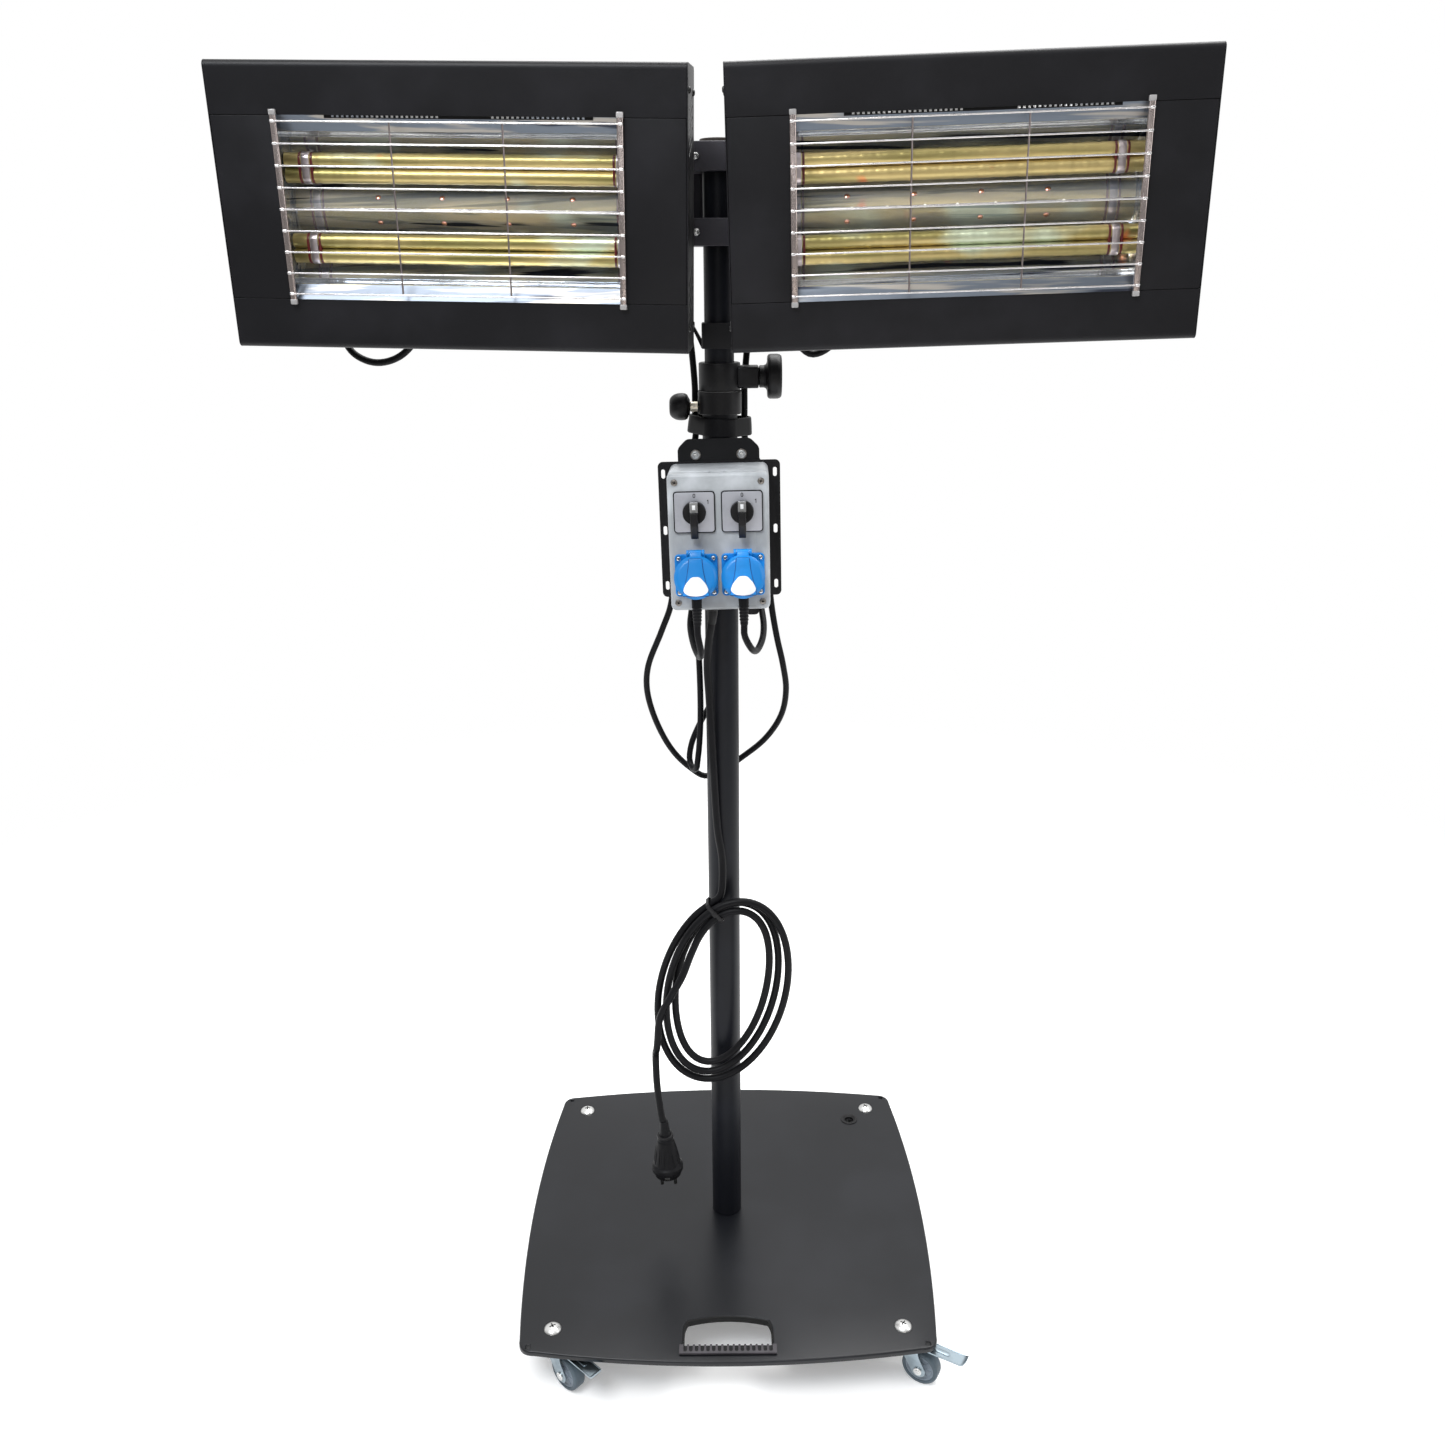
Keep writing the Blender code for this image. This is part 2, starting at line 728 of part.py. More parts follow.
def make_cable_guide(mast):
    """The flared guide block at the foot of the inner tube's free length."""
    block = box(bmesh.new(), (-guide_half_width, -guide_half_depth, guide_foot), (guide_half_width, guide_half_depth, guide_top))
    guide = solid("cable_guide", block, black_plastic, mast)
    for side in (-1, 1):
        foot, top = side * guide_half_width, side * guide_flare
        wing = [(foot, guide_foot), (top, guide_top), (top - side * guide_wing, guide_top), (foot - side * guide_wing, guide_foot + guide_wing * 2)]
        join(guide, prism(bmesh.new(), wing, -guide_wing_depth, guide_wing_depth, "Y"))
    cut(guide, rod(bmesh.new(), inner_radius + gap, guide_foot - cut_overrun, guide_top + cut_overrun, sides=round_sides))


def make_head_clamp(mast):
    """The two clamp blocks on the inner tube, joined by their rear web, with the cap over the tube."""
    upper = (clamp_upper_foot, mast_top)
    lower = (clamp_lower_foot, clamp_lower_top)
    block = bmesh.new()
    outline = rounded(clamp_half_width, clamp_half_depth, clamp_half_depth * 0.2, 1)
    prism(block, outline, *upper)
    clamp = solid("head_clamp", block, black_plastic, mast)
    join(clamp, prism(bmesh.new(), outline, *lower))
    inside = clamp_half_depth - clamp_web
    join(clamp, box(bmesh.new(), (-clamp_web_half, inside, clamp_lower_foot + clamp_web), (clamp_web_half, clamp_half_depth - gap, mast_top - clamp_web)))
    cut(clamp, rod(bmesh.new(), inner_radius + gap, clamp_lower_foot - cut_overrun, mast_top + cut_overrun, sides=round_sides))
    screws = bmesh.new()
    pins = bmesh.new()
    for side in (-1, 1):
        for low, high in (upper, lower):
            rod(screws, clamp_screw_radius, -clamp_half_depth - clamp_screw_head, -clamp_half_depth / 2, "Y", at=(side * clamp_screw_x, (low + high) / 2))
        rod(pins, pan_pin + gap, clamp_lower_foot - cut_overrun, mast_top + cut_overrun, sides=pivot_sides, at=(side * pan_x, 0))
    join(clamp, screws)
    cut(clamp, pins)
    cap_foot, cap_top = mast_top - cap_seat + gap, mast_top + cap_height
    join(clamp, lathe(bmesh.new(), [(0, cap_foot), (cap_radius, cap_foot), (cap_radius, cap_top), (0, cap_top)]))


# Heads: the swivel between the clamp blocks, and the tilting head on it
clamp_middle = (mast_top + clamp_lower_foot) / 2


def span(side, near, far):
    """Two distances from an axis, on the left or the right side, in rising order."""
    return tuple(sorted((side * near, side * far)))


def rounded_tail(reach, radius, back, half, steps=6):
    """A tongue outline: straight back, round front end at the given reach."""
    end = [math.pi / 2 + math.pi * k / steps for k in range(steps + 1)]
    return [(back, -half), (back, half)] + [(reach + radius * math.cos(t), radius * math.sin(t)) for t in end]


def make_swivel(name, pan, side):
    """The barrel with its pivot pins, and the arm with the tilt tongue."""
    low, high = clamp_lower_top + gap - clamp_middle, clamp_upper_foot - gap - clamp_middle
    foot, top = clamp_lower_foot - clamp_middle, mast_top - clamp_middle
    profile = [(0, foot), (pan_pin, foot), (pan_pin, low), (pan_barrel, low), (pan_barrel, high), (pan_pin, high), (pan_pin, top), (0, top)]
    swivel = solid(name, lathe(bmesh.new(), profile), black_coat, pan)
    thick = arm_half_height
    near, far = span(side, 0, tongue_far)
    join(swivel, box(bmesh.new(), (near, -thick, -thick), (far, thick, thick)))
    tongue = rounded_tail(-tilt_reach, tongue_radius, thick / 2, thick - gap)
    join(swivel, prism(bmesh.new(), tongue, *span(side, tongue_near, tongue_far - gap), "X"))
    cut(swivel, rod(bmesh.new(), tilt_pin + gap, -tongue_far * 2, tongue_far * 2, "X", pivot_sides, (-tilt_reach, 0)))


def make_housing(name, head, tilt, side):
    """The folded sheet housing with opening, louvres, gland and tilt bracket."""
    half_depth, half_height = head_depth / 2, head_height / 2
    half_width = head_width / 2
    sheet = head_sheet
    outer = rounded(half_depth, half_height, head_bend, 2, (-half_depth, 0))
    inner = rounded(half_depth - sheet, half_height - sheet, head_bend - sheet, 2, (-half_depth, 0))
    housing = solid(name, prism(bmesh.new(), outer, -half_width, half_width, "X"), black_coat, head)
    cut(housing, prism(bmesh.new(), inner, sheet - half_width, half_width - sheet, "X"))
    front = -head_depth
    low = (-opening_half_width, front - cut_overrun, -opening_half_height)
    high = (opening_half_width, front + cut_overrun, opening_half_height)
    cut(housing, box(bmesh.new(), low, high))
    slots = bmesh.new()
    for group in (-1, 1):
        for k in range(louvre_count):
            z = group * louvre_group + (k - (louvre_count - 1) / 2) * louvre_pitch
            here = Matrix.Translation((0, -half_depth, z)) @ Matrix.Rotation(louvre_slant, 4, "X")
            reach = half_width + cut_overrun
            box(slots, (-reach, -louvre_length / 2, -louvre_slot / 2), (reach, louvre_length / 2, louvre_slot / 2), here)
    cut(housing, slots)
    join(housing, rod(bmesh.new(), gland_radius, -sheet / 2, gland_length, "Y", at=(gland_x, gland_z)))
    cut(housing, rod(bmesh.new(), lead_radius + 2 * gap, gland_length / 3, gland_length + cut_overrun, "Y", 10, (gland_x, gland_z)))
    make_bracket(housing, tilt, side)
    return housing


def make_bracket(housing, tilt, side):
    """The rear plate, its two ears and the tilt bolt, on the housing's back."""
    seat = -head_back
    near, far = span(side, tongue_near - gap - ear_sheet * 2, bracket_length)
    plate = box(bmesh.new(), (near, seat - head_sheet / 2, -bracket_half_height), (far, seat + bracket_sheet, bracket_half_height))
    join(housing, plate, tilt)
    ears = bmesh.new()
    ear = [(seat + bracket_sheet / 2, ear_radius), (seat + bracket_sheet / 2, -ear_radius)]
    ear += [(ear_radius * math.cos(t), ear_radius * math.sin(t)) for t in [math.pi * (k / 6 - 0.5) for k in range(7)]]
    prism(ears, ear, *span(side, tongue_near - gap - ear_sheet, tongue_near - gap), "X")
    prism(ears, ear, *span(side, tongue_far + gap, tongue_far + gap + ear_sheet), "X")
    join(housing, ears, tilt)
    near, far = span(side, tongue_near - gap - ear_sheet * 1.5, tongue_far + gap + ear_sheet * 1.5)
    join(housing, rod(bmesh.new(), tilt_pin, near, far, "X", pivot_sides), tilt)


front_inside = head_sheet + gap - head_depth


def trough_depth(z):
    """Depth of the reflector behind its lip at a height."""
    away = abs(z) - lamp_place
    reach = reflector_half_height - lamp_place if away > 0 else lamp_place
    edge = 0 if away > 0 else reflector_ridge
    return reflector_depth - (reflector_depth - edge) * abs(away / reach) ** 2.2


def make_reflector(name, head):
    """The double trough of polished sheet, with its two end cheeks."""
    curve = []
    half = reflector_half_height
    for k in range(4 * trough_steps + 1):
        z = half * (1 - k / (2 * trough_steps))
        curve.append((front_inside + trough_depth(z), z))
    back = [(y + reflector_sheet, z) for y, z in curve[::-1]]
    lip = head_bend / 2
    front = [(front_inside, half + lip), (front_inside + reflector_sheet, half + lip)]
    foot = [(front_inside + reflector_sheet, -half - lip), (front_inside, -half - lip)]
    outline = curve + foot[::-1] + back + front[::-1]
    width = reflector_half_width
    trough = solid(name, prism(bmesh.new(), outline, -width, width, "X"), mirror_sheet, head)
    cheek = [(y + reflector_sheet / 2, z) for y, z in curve]
    for side in (-1, 1):
        join(trough, prism(bmesh.new(), cheek, *span(side, width - reflector_sheet, width), "X"))
    return trough


def make_lamp(name, head, row):
    """One gold-coated twin-tube quartz lamp with its two end clips."""
    y, z = front_inside + lamp_setback, row * lamp_place
    lamp = solid(name, rod(bmesh.new(), lamp_tube_radius, -lamp_half_length, lamp_half_length, "X", at=(y, z + lamp_tube_pitch / 2)), gold_quartz, head)
    join(lamp, rod(bmesh.new(), lamp_tube_radius, -lamp_half_length + gap, lamp_half_length - gap, "X", at=(y, z - lamp_tube_pitch / 2)))
    clips = bmesh.new()
    seat = front_inside + trough_depth(abs(z) + lamp_stem_radius) - 2 * gap
    for side in (-1, 1):
        near, far = span(side, lamp_clip_x, lamp_clip_x + lamp_cap_length)
        deep, tall = lamp_cap_half_depth, lamp_cap_half_height
        box(clips, (near, y - deep, z - tall), (far, y + deep, z + tall))
    join(lamp, clips)
    stems = bmesh.new()
    for side in (-1, 1):
        rod(stems, lamp_stem_radius, y, seat, "Y", 8, (side * (lamp_clip_x + lamp_cap_length / 2), z))
    join(lamp, stems)
    return lamp


def make_guard(name, head):
    """The guard: nine wires through two end bars, tied by two thin wires."""
    seat = -head_depth - gap
    middle = seat - guard_end_depth / 2
    reach = (guard_wires - 1) / 2 * guard_pitch
    tall = opening_half_height + guard_end_overhang
    bars = bmesh.new()
    for side in (-1, 1):
        near, far = span(side, guard_end_x - guard_end_half, guard_end_x + guard_end_half)
        box(bars, (near, seat - guard_end_depth, -tall), (far, seat, tall))
    guard = solid(name, bars, chrome, head)
    wires = bmesh.new()
    length = guard_end_x + guard_end_half + guard_nub
    for k in range(guard_wires):
        rod(wires, guard_wire_radius, -length, length, "X", 4, (middle, reach - k * guard_pitch))
    join(guard, wires)
    ties = bmesh.new()
    tie = middle - guard_wire_radius
    for side in (-1, 1):
        x = side * guard_tie_x
        box(ties, (x - guard_tie_half, tie - guard_tie_half, -reach - guard_wire_radius), (x + guard_tie_half, tie + guard_tie_half, reach + guard_wire_radius))
    join(guard, ties)
    return guard


def make_head(side_name, mast):
    """One head on its swivel. Returns its pan, tilt and head frames."""
    left = side_name == "left"
    side = -1 if left else 1
    yaw, pitch, roll = (left_yaw, left_pitch, left_roll) if left else (right_yaw, right_pitch, right_roll)
    inner = left_inner_edge if left else right_inner_edge
    pan = frame_empty(side_name + "_pan", mast, (side * pan_x, 0, clamp_middle), (0, 0, yaw))
    make_swivel(side_name + "_swivel", pan, side)
    tilt = frame_empty(side_name + "_tilt", pan, (0, -tilt_reach, 0), (pitch, 0, 0))
    head = frame_empty(side_name + "_head", tilt, (side * (head_width / 2 - inner), -head_back, -head_drop), (0, roll, 0))
    make_housing(side_name + "_housing", head, tilt, side)
    make_reflector(side_name + "_reflector", head)
    make_lamp(side_name + "_upper_lamp", head, 1)
    make_lamp(side_name + "_lower_lamp", head, -1)
    make_guard(side_name + "_guard", head)
    return pan, tilt, head


# Control box, in a frame centred on the mast at the box's height
bracket_back = -outer_radius - gap
bracket_front = bracket_back - carrier_sheet
back_rear = bracket_front - gap
back_front = back_rear - carrier_sheet
base_rear = back_front - gap
lid_rear = lid_depth - box_front
lid_front = -box_front
fitting_seat = lid_front - gap
rim_front = fitting_seat - socket_flange - socket_rim
hinge_y = rim_front + hinge_inset
sleeve_y = rim_front - gap - plug_sleeve_radius


def make_pole_bracket(frame):
    """The bracket plate and the rear saddle that clamp the box to the mast."""
    half, top = tab_half_width, tab_top
    outline = [(-half, -back_half_height), (half, -back_half_height), (half, top - tab_chamfer), (half - tab_chamfer, top)]
    outline += [(tab_chamfer - half, top), (-half, top - tab_chamfer)]
    bracket = solid("pole_bracket", prism(bmesh.new(), outline, bracket_front, bracket_back, "Y"), black_coat, frame)
    middle = (tab_foot - back_half_height) / 2
    tab = rounded(tab_foot_half, (middle - tab_foot) * 1.4, tab_foot_half * 0.6, 2, (tab_foot_x, middle + (middle - tab_foot) * 0.4))
    join(bracket, prism(bmesh.new(), tab, bracket_front, bracket_back, "Y"))
    near, far = outer_radius + 3 * gap, outer_radius + 3 * gap + saddle_sheet
    turns = [math.pi * k / 8 for k in range(9)]
    ring = [(far * math.cos(t), far * math.sin(t)) for t in turns]
    ring += [(-saddle_ear, 0), (-saddle_ear, -saddle_sheet), (-near, -saddle_sheet)]
    ring += [(near * math.cos(t), near * math.sin(t)) for t in turns[::-1]]
    ring += [(near, -saddle_sheet), (saddle_ear, -saddle_sheet), (saddle_ear, 0)]
    low, high = tab_bolt_z - saddle_half_height, tab_bolt_z + saddle_half_height
    saddle = prism(bmesh.new(), ring, low, high, frame=Matrix.Translation((-tab_bolt_z * math.tan(box_roll), 0, 0)))
    join(bracket, saddle)
    bolts = bmesh.new()
    for side in (-1, 1):
        at = (side * tab_bolt_x, tab_bolt_z)
        shank = tab_bolt_radius * 0.55
        profile = [(0, bracket_front - tab_bolt_head), (tab_bolt_radius, bracket_front - tab_bolt_head)]
        profile += [(tab_bolt_radius, (bracket_front + bracket_back) / 2), (shank, (bracket_front + bracket_back) / 2)]
        profile += [(shank, saddle_sheet), (0, saddle_sheet)]
        lathe(bolts, profile, "Y", 6, Matrix.Translation((at[0], 0, at[1])))
    join(bracket, bolts)


def make_back_plate(frame):
    """The slotted plate behind the box."""
    outline = rounded(back_half_width, back_half_height, back_corner, 2)
    plate = solid("back_plate", prism(bmesh.new(), outline, back_front, back_rear, "Y"), black_coat, frame)
    slots = bmesh.new()
    for side in (-1, 1):
        for row in (-1, 0, 1):
            slot = rounded(slot_half_width, slot_half_height, slot_half_width * 0.9, 1, (side * slot_x, row * slot_pitch))
            prism(slots, slot, back_front - cut_overrun, back_rear + cut_overrun, "Y")
    cut(plate, slots)


def make_enclosure(frame):
    """The box's rear shell with its cable gland, and its screwed lid."""
    outline = rounded(box_half_width, box_half_height, box_corner)
    hollow = rounded(box_half_width - box_wall, box_half_height - box_wall, box_corner - box_wall)
    shell = solid("enclosure_base", prism(bmesh.new(), outline, lid_rear + gap, base_rear, "Y"), grey_plastic, frame)
    cut(shell, prism(bmesh.new(), hollow, lid_rear - cut_overrun, base_rear - box_wall, "Y"))
    foot = -box_half_height
    at = (box_gland_x, box_gland_y)
    join(shell, rod(bmesh.new(), box_gland_radius, foot - box_gland_length, foot + box_wall / 2, at=at))
    cut(shell, rod(bmesh.new(), supply_radius + 2 * gap, foot - box_gland_length - cut_overrun, foot - box_gland_length / 2, at=at))
    small = rounded(box_half_width - box_corner / 3, box_half_height - box_corner / 3, box_corner * 0.7)
    sections = [(small, lid_front), (outline, lid_front + box_corner / 2), (outline, lid_rear)]
    lid = solid("enclosure_lid", loft(bmesh.new(), sections, "Y"), grey_plastic, frame)
    cut(lid, prism(bmesh.new(), hollow, lid_front + box_wall, lid_rear + cut_overrun, "Y"))
    holes = bmesh.new()
    for side in (-1, 1):
        rod(holes, switch_neck + gap, lid_front - cut_overrun, lid_front + box_wall + cut_overrun, "Y", 16, (side * switch_x, switch_z))
        rod(holes, socket_cup + gap, lid_front - cut_overrun, lid_front + box_wall + cut_overrun, "Y", round_sides, (side * socket_x, socket_z))
    cut(lid, holes)


def make_switch(side_name, side, frame):
    """A rotary switch: its plate with the body behind, and its lever knob."""
    centre = (side * switch_x, switch_z)
    face = fitting_seat - switch_plate_depth
    plate = rounded(switch_half, switch_half, switch_corner, 2, centre)
    switch = solid(side_name + "_switch_plate", prism(bmesh.new(), plate, face, fitting_seat, "Y"), brushed, frame)
    behind = lid_front + box_wall + gap
    join(switch, rod(bmesh.new(), switch_neck, face / 2 + fitting_seat / 2, behind + box_wall, "Y", round_sides, centre))
    body = rounded(switch_body_half, switch_body_half, switch_corner, 1, centre)
    join(switch, prism(bmesh.new(), body, behind, behind + switch_body_depth, "Y"))
    stem = switch_plate_depth + box_wall
    cut(switch, rod(bmesh.new(), switch_stem + gap, face - cut_overrun, face + stem + gap, "Y", round_sides, centre))
    axis = frame_empty(side_name + "_switch_axis", frame, (centre[0], face, centre[1]))
    rim, deep = switch_knob_radius, switch_knob_depth
    profile = [(0, stem), (switch_stem, stem), (switch_stem, -gap), (rim, -gap), (rim, -deep * 0.8), (rim * 0.9, -deep), (0, -deep)]
    knob = solid(side_name + "_switch_knob", lathe(bmesh.new(), profile, "Y"), black_plastic, axis)
    tip, front = -switch_lever_length, -switch_lever_depth
    lever = [(-deep * 0.3, tip), (-deep, tip), (front, tip * 0.55), (front, rim * 0.55), (-deep * 0.6, rim * 0.9), (-deep * 0.3, rim * 0.9)]
    join(knob, prism(bmesh.new(), lever, -switch_lever_half, switch_lever_half, "X"))


def make_socket(side_name, side, frame):
    """A flanged socket with its recess, contact holes and hinge ears."""
    x, z = side * socket_x, socket_z
    here = Matrix.Translation((x, 0, z))
    flange = rounded(socket_half, socket_half, socket_half * 0.16, 1, (x, z))
    socket = solid(side_name + "_socket", prism(bmesh.new(), flange, fitting_seat - socket_flange, fitting_seat, "Y"), socket_blue, frame)
    back = lid_front + socket_depth
    join(socket, rod(bmesh.new(), socket_cup, rim_front, back, "Y", round_sides, (x, z)))
    floor = lid_front + socket_floor
    cut(socket, rod(bmesh.new(), socket_recess, rim_front - cut_overrun, floor, "Y", round_sides, (x, z)))
    contacts = bmesh.new()
    for pin in (-1, 1):
        rod(contacts, socket_pin_bore, floor - cut_overrun, floor + plug_pin_length + gap, "Y", 8, (x + pin * socket_pin_place, z))
    cut(socket, contacts)
    ears = bmesh.new()
    r, root = hinge_radius, fitting_seat - socket_flange / 2
    ear = [(hinge_y + r * math.cos(t), hinge_z + r * math.sin(t)) for t in [math.radians(a) for a in (195, 150, 105, 60, 15)]]
    ear += [(root, socket_half * 0.96), (root, socket_half * 0.8), (hinge_y, socket_half * 0.8), (hinge_y - r * 0.3, hinge_z - r * 1.1)]
    for edge in (-1, 1):
        prism(ears, ear, *span(edge, hinge_half - hinge_ear, hinge_half), "X", here)
    join(socket, ears)
    cut(socket, rod(bmesh.new(), hinge_pin + gap, x - hinge_half - cut_overrun, x + hinge_half + cut_overrun, "X", 8, (hinge_y, z + hinge_z)))
    hinge = frame_empty(side_name + "_cover_hinge", frame, (x, hinge_y, z + hinge_z), (-cover_angle, 0, 0))
    make_cover(side_name, hinge)
    make_plug(side_name, x, z, floor, frame, hinge)


def make_cover(side_name, hinge):
    """The sprung hinged cover, resting on the plug."""
    back, face = -cover_offset, -cover_offset - cover_wall - cover_dome
    disc = Matrix.Translation((0, 0, -hinge_z))
    profile = [(0, back), (cover_radius, back), (cover_radius, back - cover_wall), (cover_crown, face), (0, face)]
    cover = solid(side_name + "_socket_cover", lathe(bmesh.new(), profile, "Y", round_sides, disc), socket_blue, hinge)
    inner = hinge_half - hinge_ear - gap
    join(cover, rod(bmesh.new(), hinge_radius, -inner, inner, "X", 10))
    join(cover, rod(bmesh.new(), hinge_pin, -hinge_half, hinge_half, "X", 8))
    join(cover, box(bmesh.new(), (gap - inner, face / 2, cover_radius / 2 - hinge_z), (inner - gap, back - gap, -gap)))
    top, foot = cover_crown * 0.9 - hinge_z, -cover_crown * 0.95 - hinge_z
    band = [(-cover_band_foot, foot), (cover_band_foot, foot), (cover_band_top, top), (-cover_band_top, top)]
    join(cover, prism(bmesh.new(), band, face - cover_band, face + cover_band, "Y"))


def make_plug(side_name, x, z, floor, frame, hinge):
    """The angled plug in the socket, its sleeve leaving downward under the cover."""
    front = rim_front - plug_rise
    plug = solid(side_name + "_plug", rod(bmesh.new(), plug_radius, front, floor - gap, "Y", round_sides, (x, z)), black_rubber, frame)
    join(plug, rod(bmesh.new(), plug_sleeve_radius, plug_sleeve_z, z, at=(x, sleeve_y)))
    slope = box(bmesh.new(), (-plug_radius * 2, -plug_radius * 4, -plug_radius * 8), (plug_radius * 2, gap - cover_offset, plug_radius * 2))
    cut(plug, slope, hinge)
    pins = bmesh.new()
    for pin in (-1, 1):
        rod(pins, plug_pin_radius, floor - gap * 4, floor + plug_pin_length - gap, "Y", 8, (x + pin * socket_pin_place, z))
    join(plug, pins)


def make_control_box():
    """Everything that the bracket carries on the mast. Returns its frame."""
    frame = frame_empty("box_frame", None, (0, 0, box_centre_z), (0, box_roll, box_yaw))
    make_pole_bracket(frame)
    make_back_plate(frame)
    make_enclosure(frame)
    for side_name, side in (("left", -1), ("right", 1)):
        make_switch(side_name, side, frame)
        make_socket(side_name, side, frame)
    return frame


# Cords
def smooth_route(points, step):
    """Evenly spaced points on a smooth curve through the route's own points."""
    route = [Vector(p) for p in points]
    knots = [2 * route[0] - route[1]] + route + [2 * route[-1] - route[-2]]
    dense = []
    for a, b, c, d in zip(knots, knots[1:], knots[2:], knots[3:]):
        t0 = 0.0
        t1 = t0 + math.sqrt((b - a).length)
        t2 = t1 + math.sqrt((c - b).length)
        t3 = t2 + math.sqrt((d - c).length)
        for k in range(16):
            t = t1 + (t2 - t1) * k / 16
            ab = a.lerp(b, (t - t0) / (t1 - t0))
            bc = b.lerp(c, (t - t1) / (t2 - t1))
            cd = c.lerp(d, (t - t2) / (t3 - t2))
            abc = ab.lerp(bc, (t - t0) / (t2 - t0))
            bcd = bc.lerp(cd, (t - t1) / (t3 - t1))
            dense.append(abc.lerp(bcd, (t - t1) / (t2 - t1)))
    dense.append(route[-1])
    run = [0.0]
    for a, b in zip(dense, dense[1:]):
        run.append(run[-1] + (b - a).length)
    count = max(2, round(run[-1] / step))
    even, k = [dense[0]], 0
    for i in range(1, count):
        want = run[-1] * i / count
        while run[k + 1] < want:
            k += 1
        even.append(dense[k].lerp(dense[k + 1], (want - run[k]) / (run[k + 1] - run[k])))
    return even + [dense[-1]]


def tube(name, points, radius, frame=None, resolution=2):
    """A round cord with closed ends through the given world points."""
    curve = bpy.data.curves.new(name, "CURVE")
    curve.dimensions = "3D"
    curve.bevel_depth = radius
    curve.bevel_resolution = resolution
    curve.use_fill_caps = True
    spline = curve.splines.new("POLY")
    spline.points.add(len(points) - 1)
    for spot, point in zip(spline.points, points):
        spot.co = (*point, 1.0)
    curve.materials.append(finish_material(name + "_finish", black_rubber))
    made = link(name, curve, frame)
    if frame:
        made.matrix_parent_inverse = frame.matrix_world.inverted()
    return made


def cord(name, points, radius, frame=None):
    """A cord along a hand-chosen route whose first and last stretches stay straight."""
    route = [Vector(p) for p in points]
    first, last = (route[1] - route[0]).normalized(), (route[-2] - route[-1]).normalized()
    lead_in, lead_out = route[1] + first * radius, route[-2] + last * radius
    middle = smooth_route([route[1], lead_in] + route[2:-2] + [lead_out, route[-2]], 2 * radius * cord_step_share)
    return tube(name, [route[0]] + middle + [route[-1]], radius, frame)


def world(frame, *local):
    """A local point of a frame in world coordinates."""
    return frame.matrix_world @ Vector(local)


def make_head_cords(side_name, pan, head, mast):
    """A head's cord in three stretches: on the head, on the swivel, on the mast."""
    side = -1 if side_name == "left" else 1
    start = world(head, gland_x, gland_length / 3 + gap, gland_z)
    mouth = world(head, gland_x, gland_length + lead_radius, gland_z)
    if side_name == "left":
        route = [(-0.4460, -0.0020, 1.3790), (-0.4464, 0.0005, 1.3680), (-0.4455, -0.0030, 1.3530), (-0.4410, -0.0110, 1.3330)]
        route += [(-0.4280, -0.0175, 1.3140), (-0.4030, -0.0200, 1.3040), (-0.3720, -0.0220, 1.3120)]
        route += [(-0.335, -0.0260, 1.352), (-0.300, -0.0300, 1.400), (-0.255, -0.0340, 1.442), (-0.205, -0.0365, 1.470)]
    else:
        route = [(0.0925, -0.0300, 1.3720), (0.0910, -0.0260, 1.3600), (0.0900, -0.0230, 1.3400), (0.0940, -0.0210, 1.3200)]
        route += [(0.1074, -0.0200, 1.3093), (0.1260, -0.0210, 1.3150)]
        route += [(0.146, -0.0240, 1.342), (0.168, -0.0290, 1.385), (0.184, -0.0340, 1.430), (0.183, -0.0380, 1.464), (0.166, -0.0395, 1.480)]
    meet = 0.0855
    ends = [world(pan, side * (meet + 0.016), -tilt_reach, 0), world(pan, side * meet, -tilt_reach, 0)]
    cord(side_name + "_head_cord", [start, mouth] + route + ends, lead_radius, head)
    bend = [(meet - gap, -0.0400, 0), (0.0770, -0.0400, 0), (0.0665, -0.0365, -0.0070), (0.0630, -0.0300, -0.0200), (0.0600, -0.0240, -0.0330)]
    bend += [(0.0500, -0.0150, -0.0480), (0.0360, -0.0080, -0.0590), (0.0200, -0.0030, -0.0620), (0.0070, -0.0005, -0.0650), (0, 0, -0.0750), (0, 0, -0.0820)]
    cord(side_name + "_swivel_cord", [world(pan, side * x, y, z) for x, y, z in bend], lead_radius, pan)
    top = clamp_middle - 0.0820 - gap
    fall = [(pan_x, 0, top), (pan_x, 0, top - 0.0080), (0.0395, 0.0040, top - 0.0220), (0.0380, 0.0120, 1.364), (0.0360, 0.0190, 1.338), (0.0325, 0.0225, 1.305)]
    fall += [(cord_pass_x, cord_pass_y, 1.270), (cord_pass_x, cord_pass_y, 1.255), (cord_pass_x, cord_pass_y, cord_pass_z)]
    cord(side_name + "_mast_cord", [(side * x, y, z) for x, y, z in fall], lead_radius, mast)


def sleeve_end(box_frame, side):
    """The foot of a plug's sleeve, and a point below it, in world coordinates."""
    x = side * socket_x
    return world(box_frame, x, sleeve_y, plug_sleeve_z - 0.012), world(box_frame, x, sleeve_y, plug_sleeve_z - gap)


